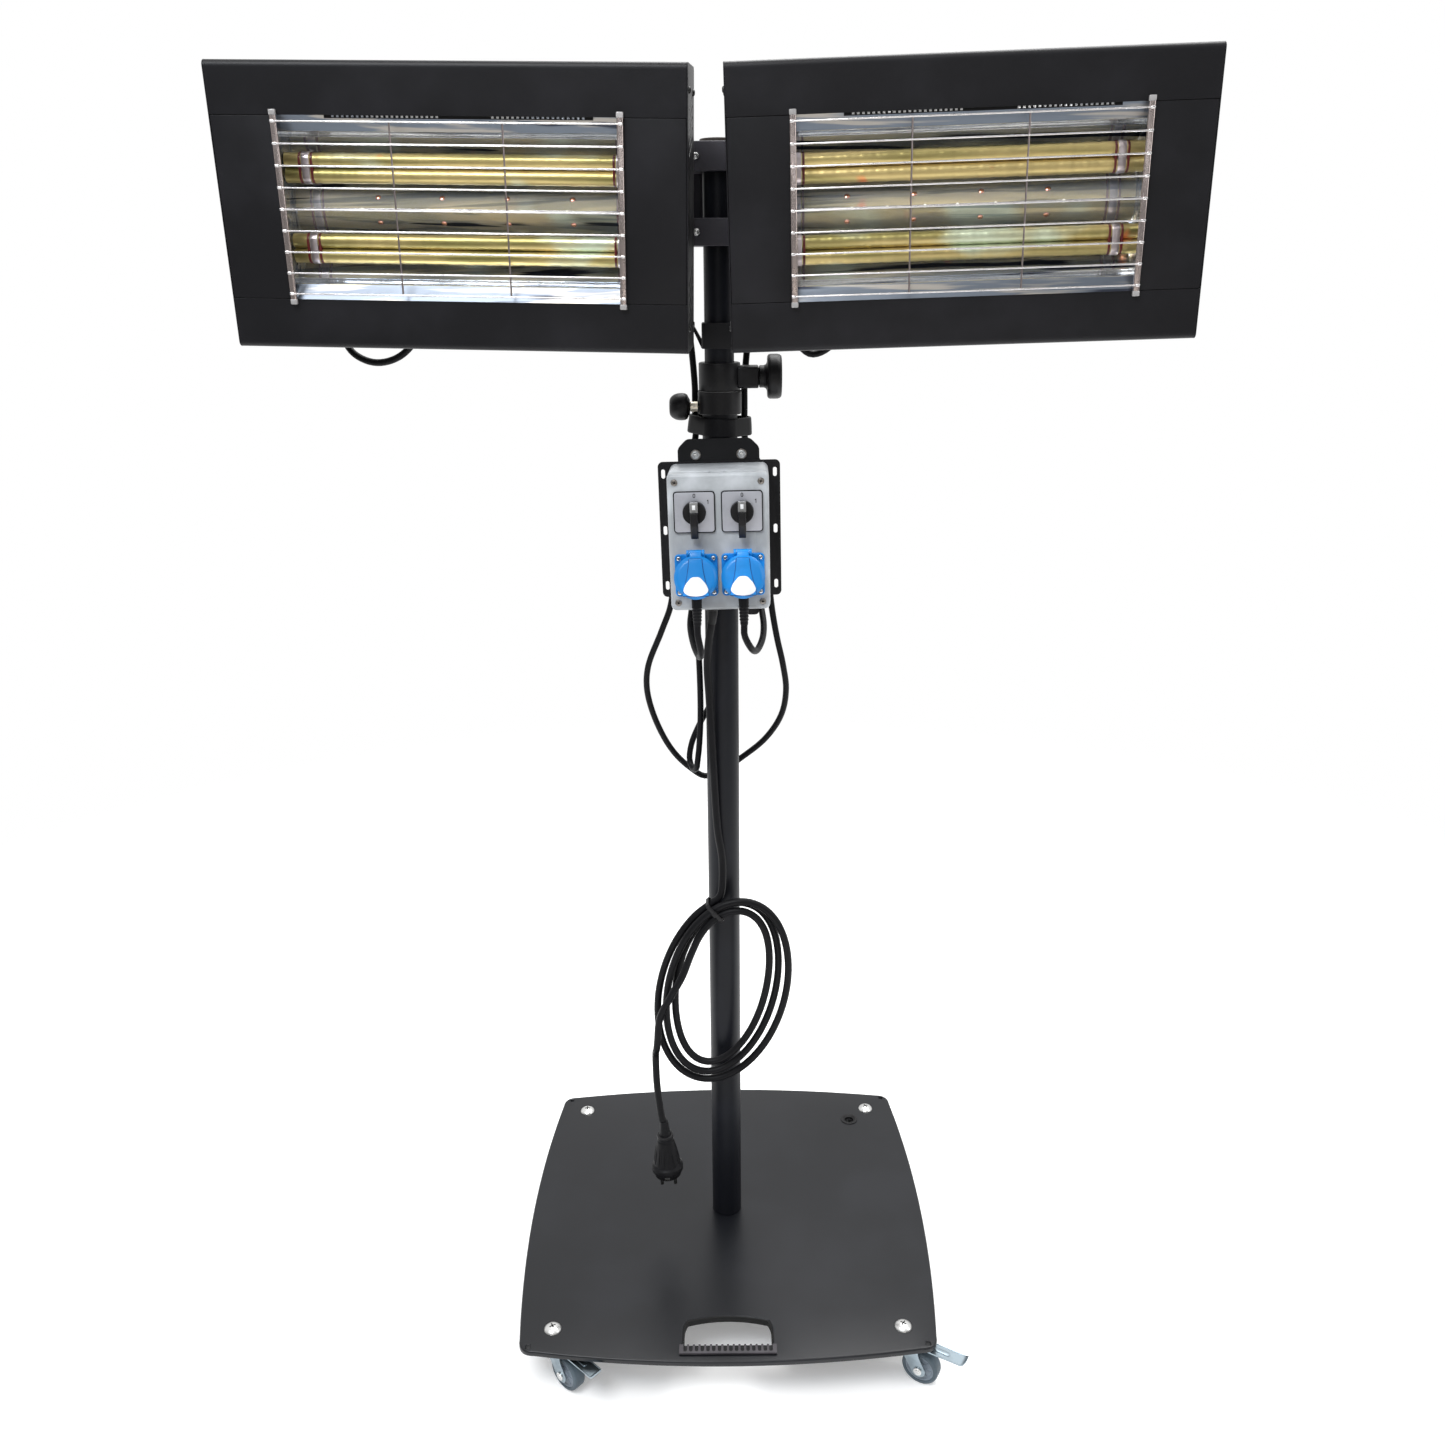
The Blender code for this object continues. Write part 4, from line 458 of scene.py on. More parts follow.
@dataclass(frozen=True)
class Finishes:
    """Every finish of the heater."""

    head: Finish = PowderCoat("head_paint", Slot.BLACK_PAINT, (0.0070, 0.0069, 0.0084), 0.40, 900, 1.6, 0.22)
    # Painted shade: near-black for gaps, recesses and hole walls where shade falls; it also prints the switch
    # numbers.
    seam: Finish = Moulded("seam_shadow", Slot.BLACK_PAINT, (0.002, 0.002, 0.002), 0.8)
    mast: Finish = PowderCoat("mast_paint", Slot.BLACK_PAINT, (0.0055, 0.0062, 0.0090), 0.38, 800, 1.6, 0.20)
    base: Finish = PowderCoat("base_paint", Slot.BASE_PAINT, (0.0050, 0.0056, 0.0076), 0.30, 620, 1.3, 0.35)
    carrier: Finish = PowderCoat("carrier_paint", Slot.BLACK_PAINT, (0.006, 0.006, 0.007), 0.5, 900, 1.6, 0.2)
    plastic: Finish = Moulded("black_moulding", Slot.BLACK_PLASTIC, (0.0070, 0.0068, 0.0078), 0.42,
                              gloss=0.25)
    grip: Finish = Moulded("grip_moulding", Slot.BLACK_PLASTIC, (0.050, 0.046, 0.052), 0.5)
    brown: Finish = Moulded("brown_moulding", Slot.BLACK_PLASTIC, (0.028, 0.021, 0.017), 0.55)
    rubber: Finish = Moulded("cord_rubber", Slot.BLACK_RUBBER, (0.0042, 0.0042, 0.0052), 0.46, 2200, 0.00005,
                             gloss=0.13)
    # Painted highlight: a lighter grey for the collar's seam ring, where light catches the step.
    rim: Finish = Moulded("worn_rubber", Slot.BLACK_RUBBER, (0.07, 0.07, 0.07), 0.6)
    zinc: Finish = BareMetal("zinc_plate", Slot.ZINC_PLATE, (0.60, 0.61, 0.62), 0.34, dull=0.75)
    screw: Finish = BareMetal("screw_steel", Slot.ZINC_PLATE, (0.72, 0.72, 0.71), 0.28)
    worn: Finish = BareMetal("worn_screw", Slot.ZINC_PLATE, (0.26, 0.24, 0.22), 0.36, dull=0.7)
    dark_screw: Finish = BareMetal("black_screw", Slot.BLACK_PAINT, (0.06, 0.06, 0.06), 0.4)
    bush: Finish = BareMetal("pale_bush", Slot.ZINC_PLATE, (0.78, 0.72, 0.60), 0.35)
    clamp: Finish = PowderCoat("clamp_paint", Slot.BLACK_PLASTIC, (0.052, 0.050, 0.061), 0.45, 900, 1.5)
    # Painted shade: the castors' sheet, tyre and hub are darkened because the castors stand in the shade
    # under the plate.
    galvanised: Finish = BareMetal("galvanised_sheet", Slot.ZINC_PLATE, (0.30, 0.36, 0.40), 0.34)
    tyre: Finish = Moulded("grey_tyre", Slot.WHEEL_GREY, (0.060, 0.082, 0.100), 0.58, 900)
    hub: Finish = Moulded("grey_hub", Slot.WHEEL_GREY, (0.150, 0.180, 0.215), 0.5)
    plate: Finish = BareMetal("brushed_plate", Slot.SWITCH_METAL, (0.50, 0.51, 0.555), 0.5,
                              stretch=(0.04, 1, 1), dull=0.92)
    # The sheets' streak colours and their diffuse bloom are painted reflections.
    reflector: Finish = MirrorSheet("polished_sheet", Slot.REFLECTOR, (0.90, 0.90, 0.89), 0.05)
    flange: Finish = MirrorSheet("drawn_sheet", Slot.REFLECTOR, (0.13, 0.15, 0.18), 0.30,
                                 tint=(0.32, 0.30, 0.27), dark=(0.03, 0.035, 0.05))
    guard: Finish = BareMetal("satin_chrome", Slot.GUARD, (0.74, 0.72, 0.72), 0.22)
    guard_bar: Finish = BareMetal("guard_bar", Slot.GUARD, (0.50, 0.43, 0.41), 0.26,
                                  stretch=(1, 1, 0.05))
    tie_wire: Finish = BareMetal("tie_wire", Slot.GUARD, (0.34, 0.29, 0.28), 0.3)
    # gold_quartz paints pale highlight clouds and red light patches into its colour.
    lamp: Finish = GoldQuartz("gold_quartz", Slot.LAMP, (0.60, 0.47, 0.20), 0.30)
    cap: Finish = Moulded("clear_cap", Slot.GUARD, (0.34, 0.33, 0.33), 0.2, coat=0.6)
    # Painted reflections: the dimples' warm colour and the rivets' white stand in for light mirrored by them.
    dimple: Finish = BareMetal("warm_rivet", Slot.REFLECTOR, (0.80, 0.42, 0.32), 0.25)
    pearl: Finish = Moulded("pale_rivet", Slot.REFLECTOR, (0.85, 0.80, 0.70), 0.3, coat=0.5)
    clip: Finish = BareMetal("lamp_clip", Slot.LAMP, (0.62, 0.55, 0.56), 0.3)
    ember: Finish = Moulded("dark_red_end", Slot.LAMP, (0.10, 0.008, 0.008), 0.35, coat=0.5)
    grey: Finish = Moulded("grey_housing", Slot.BOX_GREY, (0.36, 0.38, 0.40), 0.4, 1500, 0.00005, 0.2)
    window: Finish = Moulded("grey_window", Slot.BLACK_PLASTIC, (0.20, 0.20, 0.20), 0.25, 1400, 0.00004, 0.4)
    label: Finish = Moulded("white_label", Slot.SOCKET_BLUE, (0.80, 0.81, 0.82), 0.4)
    # Painted shade: a darker blue that outlines the covers' raised bands, where shade falls at their edges.
    deep_blue: Finish = Moulded("blue_groove", Slot.SOCKET_BLUE, (0.006, 0.055, 0.20), 0.5)
    blue: Finish = Moulded("blue_moulding", Slot.SOCKET_BLUE, (0.005, 0.20, 0.57), 0.38, 1200, 0.00005, 0.10)


FINISH = Finishes()


# Geometry, worked out as whole arrays
def placed(place: Sequence[float] = (0, 0, 0), turn: Sequence[float] = (0, 0, 0),
           parent: Matrix | None = None) -> Matrix:
    """A frame from its place and its angles about X, Y and Z.

    Args:
        place: The origin in the parent's frame.
        turn: The angles, applied about X first.
        parent: The frame that carries it, or None for the world.

    Returns:
        The frame in the world.
    """
    own = Matrix.Translation(place)
    for number, axis in ((2, "Z"), (1, "Y"), (0, "X")):
        own = own @ Matrix.Rotation(turn[number], 4, axis)
    return (parent @ own) if parent is not None else own


def carry(frame: Matrix, points: Any) -> Array:
    """Takes points out of a frame into the world."""
    m = np.array(frame)
    return np.asarray(points, float) @ m[:3, :3].T + m[:3, 3]


def rounded(half_a: float, half_b: float, corner: float, steps: int = 6,
            centre: Sequence[float] = (0, 0)) -> Array:
    """A rectangle's outline whose corners are quarter circles.

    Args:
        half_a: Half its width.
        half_b: Half its height.
        corner: The corners' radius.
        steps: Segments per corner.
        centre: Where its middle lies.

    Returns:
        The points, anticlockwise.
    """
    turns = (np.arange(4)[:, None] + np.linspace(0, 1, steps + 1)[None, :]) * math.pi / 2
    signs = np.array(((1, 1), (-1, 1), (-1, -1), (1, -1)))[:, None, :]
    arcs = corner * np.stack((np.cos(turns), np.sin(turns)), axis=-1)
    return (signs * (half_a - corner, half_b - corner) + arcs).reshape(-1, 2) + centre


def circle(radius: float, sides: int = 40, centre: Sequence[float] = (0, 0)) -> Array:
    """A regular polygon that stands for a circle."""
    turns = np.arange(sides) * TAU / sides
    return radius * np.stack((np.cos(turns), np.sin(turns)), axis=-1) + centre


def soften(points: Any, radius: float | Sequence[float], steps: int = 4, closed: bool = True) -> Array:
    """Rounds the corners of an outline: each becomes a parabola that starts at most 0.45 of an edge away.

    Args:
        points: The corners.
        radius: How far from each corner its rounding starts, one value or one for each corner.
        steps: Segments per corner.
        closed: Whether the last corner joins the first; an open line keeps its ends.

    Returns:
        The rounded outline.
    """
    p = np.asarray(points, float)
    before, after = np.roll(p, 1, axis=0) - p, np.roll(p, -1, axis=0) - p
    near, far = np.linalg.norm(before, axis=1), np.linalg.norm(after, axis=1)
    reach = np.minimum(np.broadcast_to(radius, len(p)), 0.45 * np.minimum(near, far))
    if not closed:
        reach = reach * np.r_[0, np.ones(len(p) - 2), 0]
    start = p + before / np.maximum(near, 1e-12)[:, None] * reach[:, None]
    end = p + after / np.maximum(far, 1e-12)[:, None] * reach[:, None]
    s = np.linspace(0, 1, steps + 1)[None, :, None]
    curve = (1 - s) ** 2 * start[:, None] + 2 * s * (1 - s) * p[:, None] + s**2 * end[:, None]
    flat = curve.reshape(-1, p.shape[1])
    keep = np.r_[True, np.linalg.norm(np.diff(flat, axis=0), axis=1) > 1e-7]
    return flat[keep]


def inset(outline: Array, distance: float) -> Array:
    """Moves an outline inwards: each point goes along the mean of its two edges' normals."""
    along = np.roll(outline, -1, axis=0) - outline
    along /= np.maximum(np.linalg.norm(along, axis=1), 1e-12)[:, None]
    normal = np.stack((-along[:, 1], along[:, 0]), axis=-1)
    x, y = outline.T
    normal *= np.sign(np.sum(x * np.roll(y, -1) - np.roll(x, -1) * y))
    mean = normal + np.roll(normal, 1, axis=0)
    mean /= np.maximum(np.sum(mean**2, axis=1) / 2, 0.5)[:, None]
    return outline + distance * mean


def smooth_route(points: Any, step: float) -> Array:
    """Even points on a centripetal spline through a route, as the CAD's cords are drawn.

    Args:
        points: The route's own points.
        step: The spacing wanted along the curve.

    Returns:
        The points of the smooth curve.
    """
    p = np.asarray(points, float)
    knots = np.vstack((2 * p[0] - p[1], p, 2 * p[-1] - p[-2]))
    a, b, c, d = (knots[k:len(knots) - 3 + k][:, None, :] for k in range(4))
    t1 = np.sqrt(np.linalg.norm(b - a, axis=2, keepdims=True))
    t2 = t1 + np.sqrt(np.linalg.norm(c - b, axis=2, keepdims=True))
    t3 = t2 + np.sqrt(np.linalg.norm(d - c, axis=2, keepdims=True))
    t = t1 + (t2 - t1) * (np.arange(16) / 16)[None, :, None]
    ab, bc, cd = a + (b - a) * t / t1, b + (c - b) * (t - t1) / (t2 - t1), c + (d - c) * (t - t2) / (t3 - t2)
    abc, bcd = ab + (bc - ab) * t / t2, bc + (cd - bc) * (t - t1) / (t3 - t1)
    dense = np.vstack(((abc + (bcd - abc) * (t - t1) / (t2 - t1)).reshape(-1, 3), p[-1]))
    run = np.r_[0, np.cumsum(np.linalg.norm(np.diff(dense, axis=0), axis=1))]
    even = np.linspace(0, run[-1], max(2, round(run[-1] / step)) + 1)
    return np.stack([np.interp(even, run, dense[:, k]) for k in range(3)], axis=-1)


class Shape:
    """Surfaces gathered in one frame and made into one mesh piece."""

    def __init__(self, frame: Matrix | None = None) -> None:
        """Starts an empty shape.

        Args:
            frame: The frame that its points are given in, or None for the world.
        """
        self.frame = frame if frame is not None else Matrix.Identity(4)
        self.points: list[Array] = []
        self.faces: list[tuple[Sequence[int], int]] = []
        self.finishes: list[Finish] = []
        self.count = 0

    def put(self, points: Array, faces: Sequence[Sequence[int]], finish: Finish) -> "Shape":
        """Adds points and the faces between them.

        Args:
            points: The points, in the shape's frame.
            faces: Point numbers of each face.
            finish: The faces' finish.

        Returns:
            The shape itself.
        """
        if finish not in self.finishes:
            self.finishes.append(finish)
        number = self.finishes.index(finish)
        self.points.append(carry(self.frame, points))
        self.faces += [([int(k) + self.count for k in face], number) for face in faces]
        self.count += len(points)
        return self

    def skin(self, rings: Array, finish: Finish, loop: bool = False, ends: bool = True) -> "Shape":
        """Joins closed rings of equally many points in a row.

        Args:
            rings: Points as (ring, point, coordinate).
            finish: The skin's finish.
            loop: Whether the last ring joins the first.
            ends: Whether the first and last ring are filled.

        Returns:
            The shape itself.
        """
        rows, n = rings.shape[:2]
        grid = np.arange(rows * n).reshape(rows, n)
        low, high = (grid, np.roll(grid, -1, axis=0)) if loop else (grid[:-1], grid[1:])
        right = np.r_[1:n, 0]
        faces = list(np.stack((low, low[:, right], high[:, right], high), axis=-1).reshape(-1, 4))
        if ends and not loop:
            faces += [grid[0][::-1], grid[-1]]
        return self.put(rings.reshape(-1, 3), faces, finish)

    def slab(self, outline: Array, low: float, high: float, finish: Finish, axis: str = "Z",
             edge: float = 0.0, holes: Sequence[Array] = (), steps: int = 3) -> "Shape":
        """A plate with rounded edges: each edge is a quarter circle from face to wall.

        Args:
            outline: Its outline across the axis.
            low: Where it starts along the axis.
            high: Where it ends.
            finish: Its finish.
            axis: The axis that it is thick along.
            edge: Radius of its edges.
            holes: Outlines that go through it.
            steps: Segments per edge.

        Returns:
            The shape itself.
        """
        turns = np.linspace(0, math.pi / 2, steps + 1) if edge else np.zeros(1)
        draw = edge * (1 - np.sin(turns))
        rise = edge * (1 - np.cos(turns))
        draws, levels = np.r_[draw, draw[::-1]], np.r_[low + rise, (high - rise)[::-1]]
        caps: list[tuple[Array, Array]] = []
        for number, loop in enumerate([outline, *holes]):
            sign = 1 if number == 0 else -1
            flat = [inset(loop, sign * d) for d in draws]
            self.skin(np.array([self.across(ring, t, axis) for ring, t in zip(flat, levels)]), finish,
                      ends=not holes)
            caps.append((flat[0], flat[-1]))
        if holes:
            self.fill([pair[0] for pair in caps], levels[0], axis, finish)
            self.fill([pair[1] for pair in caps], levels[-1], axis, finish)
        return self

    def fill(self, loops: Sequence[Array], level: float, axis: str, finish: Finish) -> "Shape":
        """Fills a flat outline round its holes.

        The triangles between the loops are kept where an odd number of loops encloses them.

        Args:
            loops: The outline and its holes.
            level: Where the face lies along the axis.
            axis: The axis that it is flat across.
            finish: Its finish.

        Returns:
            The shape itself.
        """
        starts = np.cumsum([0, *(len(loop) for loop in loops)])
        edges = [(int(a + k), int(a + (k + 1) % (b - a))) for a, b in zip(starts[:-1], starts[1:])
                 for k in range(b - a)]
        found = geometry.delaunay_2d_cdt([Vector(point) for point in np.vstack(loops)], edges, [], 1, 1e-7)
        flat, faces = np.array([tuple(point) for point in found[0]]), np.array(found[2])
        x, y = flat[faces].mean(axis=1).T[:, :, None]
        crossings = np.zeros(len(faces), int)
        for loop in loops:
            (ax, ay), (bx, by) = loop.T, np.roll(loop, -1, axis=0).T
            rise = np.where(by == ay, 1.0, by - ay)
            crossings += (((ay > y) != (by > y)) & (x < ax + (y - ay) * (bx - ax) / rise)).sum(axis=1)
        return self.put(self.across(flat, level, axis), faces[crossings % 2 == 1], finish)

    @staticmethod
    def across(points: Array, level: float, axis: str) -> Array:
        """Lays flat points across an axis at one level of it."""
        a, b, t = points[:, 0], points[:, 1], np.full(len(points), level)
        return np.stack({"X": (t, a, b), "Y": (a, t, b), "Z": (a, b, t)}[axis], axis=-1)

    def lathe(self, profile: Any, finish: Finish, axis: str = "Z", at: Sequence[float] = (0, 0),
              sides: int = 40, edge: float = 0.0, loop: bool = False) -> "Shape":
        """Turns a profile of (radius, height) once round an axis.

        Args:
            profile: The profile's corners.
            finish: Its finish.
            axis: The axis of the turn.
            at: Where the axis crosses the plane of the other two coordinates.
            sides: Steps round.
            edge: Rounding of the profile's corners.
            loop: Whether the profile closes on itself, as a ring's does.

        Returns:
            The shape itself.
        """
        corners = np.asarray(profile, float)
        if edge:
            corners = soften(corners, edge, 3, closed=loop)
        unit = circle(1.0, sides)
        rings = np.array([self.across(unit * max(r, 0.0) + at, t, axis) for r, t in corners])
        return self.skin(rings, finish, loop=loop, ends=not loop)

    def rod(self, radius: float, low: float, high: float, finish: Finish, axis: str = "Z",
            at: Sequence[float] = (0, 0), sides: int = 24, edge: float = 0.0) -> "Shape":
        """A round bar along an axis, with its ends' edges eased."""
        return self.lathe([(0, low), (radius, low), (radius, high), (0, high)], finish, axis, at, sides, edge)

    def block(self, low: Sequence[float], high: Sequence[float], finish: Finish,
              edge: float = 0.0008) -> "Shape":
        """A box between two corners, with rounded edges."""
        low, high = np.minimum(low, high), np.maximum(low, high)
        half, middle = (high - low) / 2, (high + low) / 2
        edge = min(edge, 0.45 * float(half.min()))
        outline = rounded(half[0], half[1], max(edge * 1.5, 1e-5), 3, middle[:2])
        return self.slab(outline, low[2], high[2], finish, "Z", edge, steps=2)

    def sweep(self, path: Array, radius: float | Array, finish: Finish, sides: int = 16) -> "Shape":
        """A round tube along a path, whose sections turn as little as they can.

        Args:
            path: Its centreline.
            radius: Its radius, one value or one for each point.
            finish: Its finish.
            sides: Steps round.

        Returns:
            The shape itself.
        """
        path = np.asarray(path, float)
        heading = np.gradient(path, axis=0)
        heading /= np.linalg.norm(heading, axis=1)[:, None]
        side = np.cross(heading[0], (0.31, 0.52, 0.79))
        sections = []
        for ahead in heading:
            side = side - ahead * (side @ ahead)
            side = side / np.linalg.norm(side)
            sections.append((side, np.cross(ahead, side)))
        unit, wide = circle(1.0, sides), np.broadcast_to(radius, len(path))
        rings = path[:, None] + np.einsum("kj,ijc->ikc", unit, np.array(sections)) * wide[:, None, None]
        return self.skin(rings, finish)

    def join(self, other: "Shape") -> "Shape":
        """Takes over another shape's surfaces."""
        numbers = []
        for finish in other.finishes:
            if finish not in self.finishes:
                self.finishes.append(finish)
            numbers.append(self.finishes.index(finish))
        self.points += other.points
        self.faces += [([k + self.count for k in face], numbers[m]) for face, m in other.faces]
        self.count += other.count
        return self

    def mesh(self, name: str, sharp: float = 34.0) -> bpy.types.Object:
        """Makes the mesh, with its doubles merged, its faces outwards and its curved faces smooth.

        Args:
            name: The object's name.
            sharp: Edges sharper than this many degrees stay edges.

        Returns:
            The object, at the origin.
        """
        data = bpy.data.meshes.new(name)
        data.from_pydata(np.vstack(self.points).tolist(), [], [face for face, _ in self.faces])
        data.polygons.foreach_set("material_index", [number for _, number in self.faces])
        bm = bmesh.new()
        bm.from_mesh(data)
        bmesh.ops.remove_doubles(bm, verts=bm.verts, dist=2e-6)
        bmesh.ops.recalc_face_normals(bm, faces=bm.faces)
        bm.to_mesh(data)
        bm.free()
        for finish in self.finishes:
            data.materials.append(finish.material())
        data.shade_smooth()
        data.set_sharp_from_angle(angle=math.radians(sharp))
        made = bpy.data.objects.new(name, data)
        bpy.context.scene.collection.objects.link(made)
        return made

    def piece(self, name: str, body: str, slot: Slot, *nodes: str, sharp: float = 34.0) -> bpy.types.Object:
        """Makes the mesh as a piece of the heater.

        Args:
            name: The piece's name.
            body: The CAD body that it rides on.
            slot: The record's slot of its finish; not used.
            nodes: The CAD nodes that it stands for.
            sharp: Edges sharper than this many degrees stay edges.

        Returns:
            The piece.
        """
        made = self.mesh(name, sharp)
        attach(made, body)
        if nodes:
            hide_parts(*nodes)
        return made


# Light, floor and camera
@dataclass(frozen=True)
class Viewpoint:
    """The photograph's camera, fitted to the heater's straight edges.

    Attributes:
        place: Where it stands, in metres.
        down: How far it looks down, in degrees.
        roll: Its roll in degrees.
        yaw: Its turn to the right in degrees.
        lens: Focal length in millimetres on a 36 mm sensor.
        lift: Vertical shift of the frame.
    """

    place: tuple[float, float, float] = (0.00227, -1.55539, 1.39222)
    down: float = 18.9396
    roll: float = -0.5241
    yaw: float = -0.0870
    lens: float = 31.4513
    lift: float = -0.006457

    def build(self) -> None:
        """Makes the camera the scene's own."""
        data = bpy.data.cameras.new("camera")
        data.sensor_width, data.lens, data.shift_y = 36.0, self.lens, self.lift
        data.clip_start, data.clip_end = 0.05, 60.0
        camera = bpy.data.objects.new("camera", data)
        bpy.context.scene.collection.objects.link(camera)
        down, roll, yaw = (math.radians(a) for a in (self.down, self.roll, self.yaw))
        turn = Matrix.Rotation(-yaw, 4, "Z") @ Matrix.Rotation(math.pi / 2 - down, 4, "X")
        turn = turn @ Matrix.Rotation(roll, 4, "Z")
        camera.matrix_world = Matrix.Translation(self.place) @ turn
        bpy.context.scene.camera = camera


@dataclass(frozen=True)
class SoftBox:
    """One soft studio light.

    Attributes:
        name: Its name.
        place: Where it hangs.
        aim: The point that it faces.
        size: Width and height.
        power: Power in watts.
        colour: Its tint.
    """

    name: str
    place: tuple[float, float, float]
    aim: tuple[float, float, float]
    size: tuple[float, float]
    power: float
    colour: Colour = (1.0, 1.0, 1.0)

    def build(self) -> bpy.types.Object:
        """Hangs the light."""
        data = bpy.data.lights.new(self.name, "AREA")
        data.shape, data.size, data.size_y = "RECTANGLE", *self.size
        data.energy, data.color = self.power, self.colour
        lamp = bpy.data.objects.new(self.name, data)
        bpy.context.scene.collection.objects.link(lamp)
        lamp.location = self.place
        lamp.rotation_euler = (Vector(self.aim) - Vector(self.place)).to_track_quat("-Z", "Y").to_euler()
        return lamp


@dataclass(frozen=True)
class Studio:
    """A white room with a pale floor, brighter above and behind than in front.

    Attributes:
        floor_radius: Radius of the floor's disc.
        fade_start: Where the floor starts to fade into the white.
        front: Brightness of the room in front of the heater.
        back: Brightness behind it.
        above: Brightness of the ceiling.
        glow: The floor's own light, which keeps its shadows soft.
        boxes: The soft lights.
    """

    floor_radius: float = 2.6
    fade_start: float = 1.3
    front: float = 0.28
    back: float = 0.95
    above: float = 1.15
    glow: float = 0.22
    boxes: tuple[SoftBox, ...] = (
        SoftBox("key", (-0.9, -1.7, 3.3), (0.0, 0.0, 0.9), (1.6, 1.2), 60),
        SoftBox("top", (0.6, 0.9, 3.4), (0.0, 0.0, 0.6), (2.4, 1.6), 70),
        SoftBox("side", (2.6, -0.8, 1.9), (0.0, 0.0, 1.0), (0.9, 1.6), 14),
        SoftBox("front_strip", (0.1, -3.4, 1.74), (0.0, 0.0, 1.46), (3.2, 0.10), 5),
        SoftBox("window", (-1.2, -2.2, 3.1), (-0.2, 0.0, 1.46), (1.4, 0.5), 10, (0.62, 0.80, 1.0)),
        SoftBox("low_strip", (0.4, -2.6, 0.25), (0.0, 0.0, 1.46), (2.2, 0.12), 4, (1.0, 0.93, 0.84)),
    )

    def build(self) -> None:
        """Builds the room, the floor and the lights."""
        world = bpy.data.worlds.new("room")
        world.use_nodes = True
        bpy.context.scene.world = world
        tree = world.node_tree
        plain, seen = tree.nodes["Background"], tree.nodes.new("ShaderNodeBackground")
        coordinates, split = tree.nodes.new("ShaderNodeTexCoord"), tree.nodes.new("ShaderNodeSeparateXYZ")
        tree.links.new(coordinates.outputs["Generated"], split.inputs[0])
        depth = self.ramp(tree, split.outputs[1], -0.75, 0.35, self.front, self.back)
        height = self.ramp(tree, split.outputs[2], 0.25, 0.95, 0.0, 1.0)
        blend = tree.nodes.new("ShaderNodeMix")
        tree.links.new(height, blend.inputs[0])
        tree.links.new(depth, blend.inputs[2])
        blend.inputs[3].default_value = self.above
        tree.links.new(blend.outputs[0], plain.inputs["Strength"])
        plain.inputs["Color"].default_value = (1.0, 1.0, 1.0, 1.0)
        seen.inputs["Color"].default_value = (1.0, 1.0, 1.0, 1.0)
        path, choice = tree.nodes.new("ShaderNodeLightPath"), tree.nodes.new("ShaderNodeMixShader")
        tree.links.new(path.outputs["Is Camera Ray"], choice.inputs[0])
        tree.links.new(plain.outputs[0], choice.inputs[1])
        tree.links.new(seen.outputs[0], choice.inputs[2])
        tree.links.new(choice.outputs[0], tree.nodes["World Output"].inputs["Surface"])
        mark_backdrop(self.floor(), *(box.build() for box in self.boxes))

    @staticmethod
    def ramp(tree: bpy.types.NodeTree, value: bpy.types.NodeSocket, low: float, high: float, first: float,
             last: float) -> bpy.types.NodeSocket:
        """An eased ramp between two brightnesses."""
        node = tree.nodes.new("ShaderNodeMapRange")
        node.interpolation_type = "SMOOTHSTEP"
        tree.links.new(value, node.inputs[0])
        for number, setting in enumerate((low, high, first, last), 1):
            node.inputs[number].default_value = setting
        return node.outputs[0]

    def floor(self) -> bpy.types.Object:
        """The floor's disc, which fades out towards its edge."""
        shader = Shader("floor_white")
        x, y, _ = shader.axes()
        away = (x * x + y * y) ** 0.5
        shader.set(Base_Color=(0.9, 0.9, 0.9), Roughness=0.9,
                   Alpha=1.0 - away.step(self.fade_start, self.floor_radius * 0.95))
        shader.set(Emission_Color=(1.0, 1.0, 1.0, 1.0), Emission_Strength=self.glow)
        data = bpy.data.meshes.new("floor")
        ring = Shape.across(circle(self.floor_radius, 96), 0.0, "Z")
        data.from_pydata(ring.tolist(), [], [list(range(len(ring)))])
        data.materials.append(shader.material)
        floor = bpy.data.objects.new("floor", data)
        bpy.context.scene.collection.objects.link(floor)
        return floor


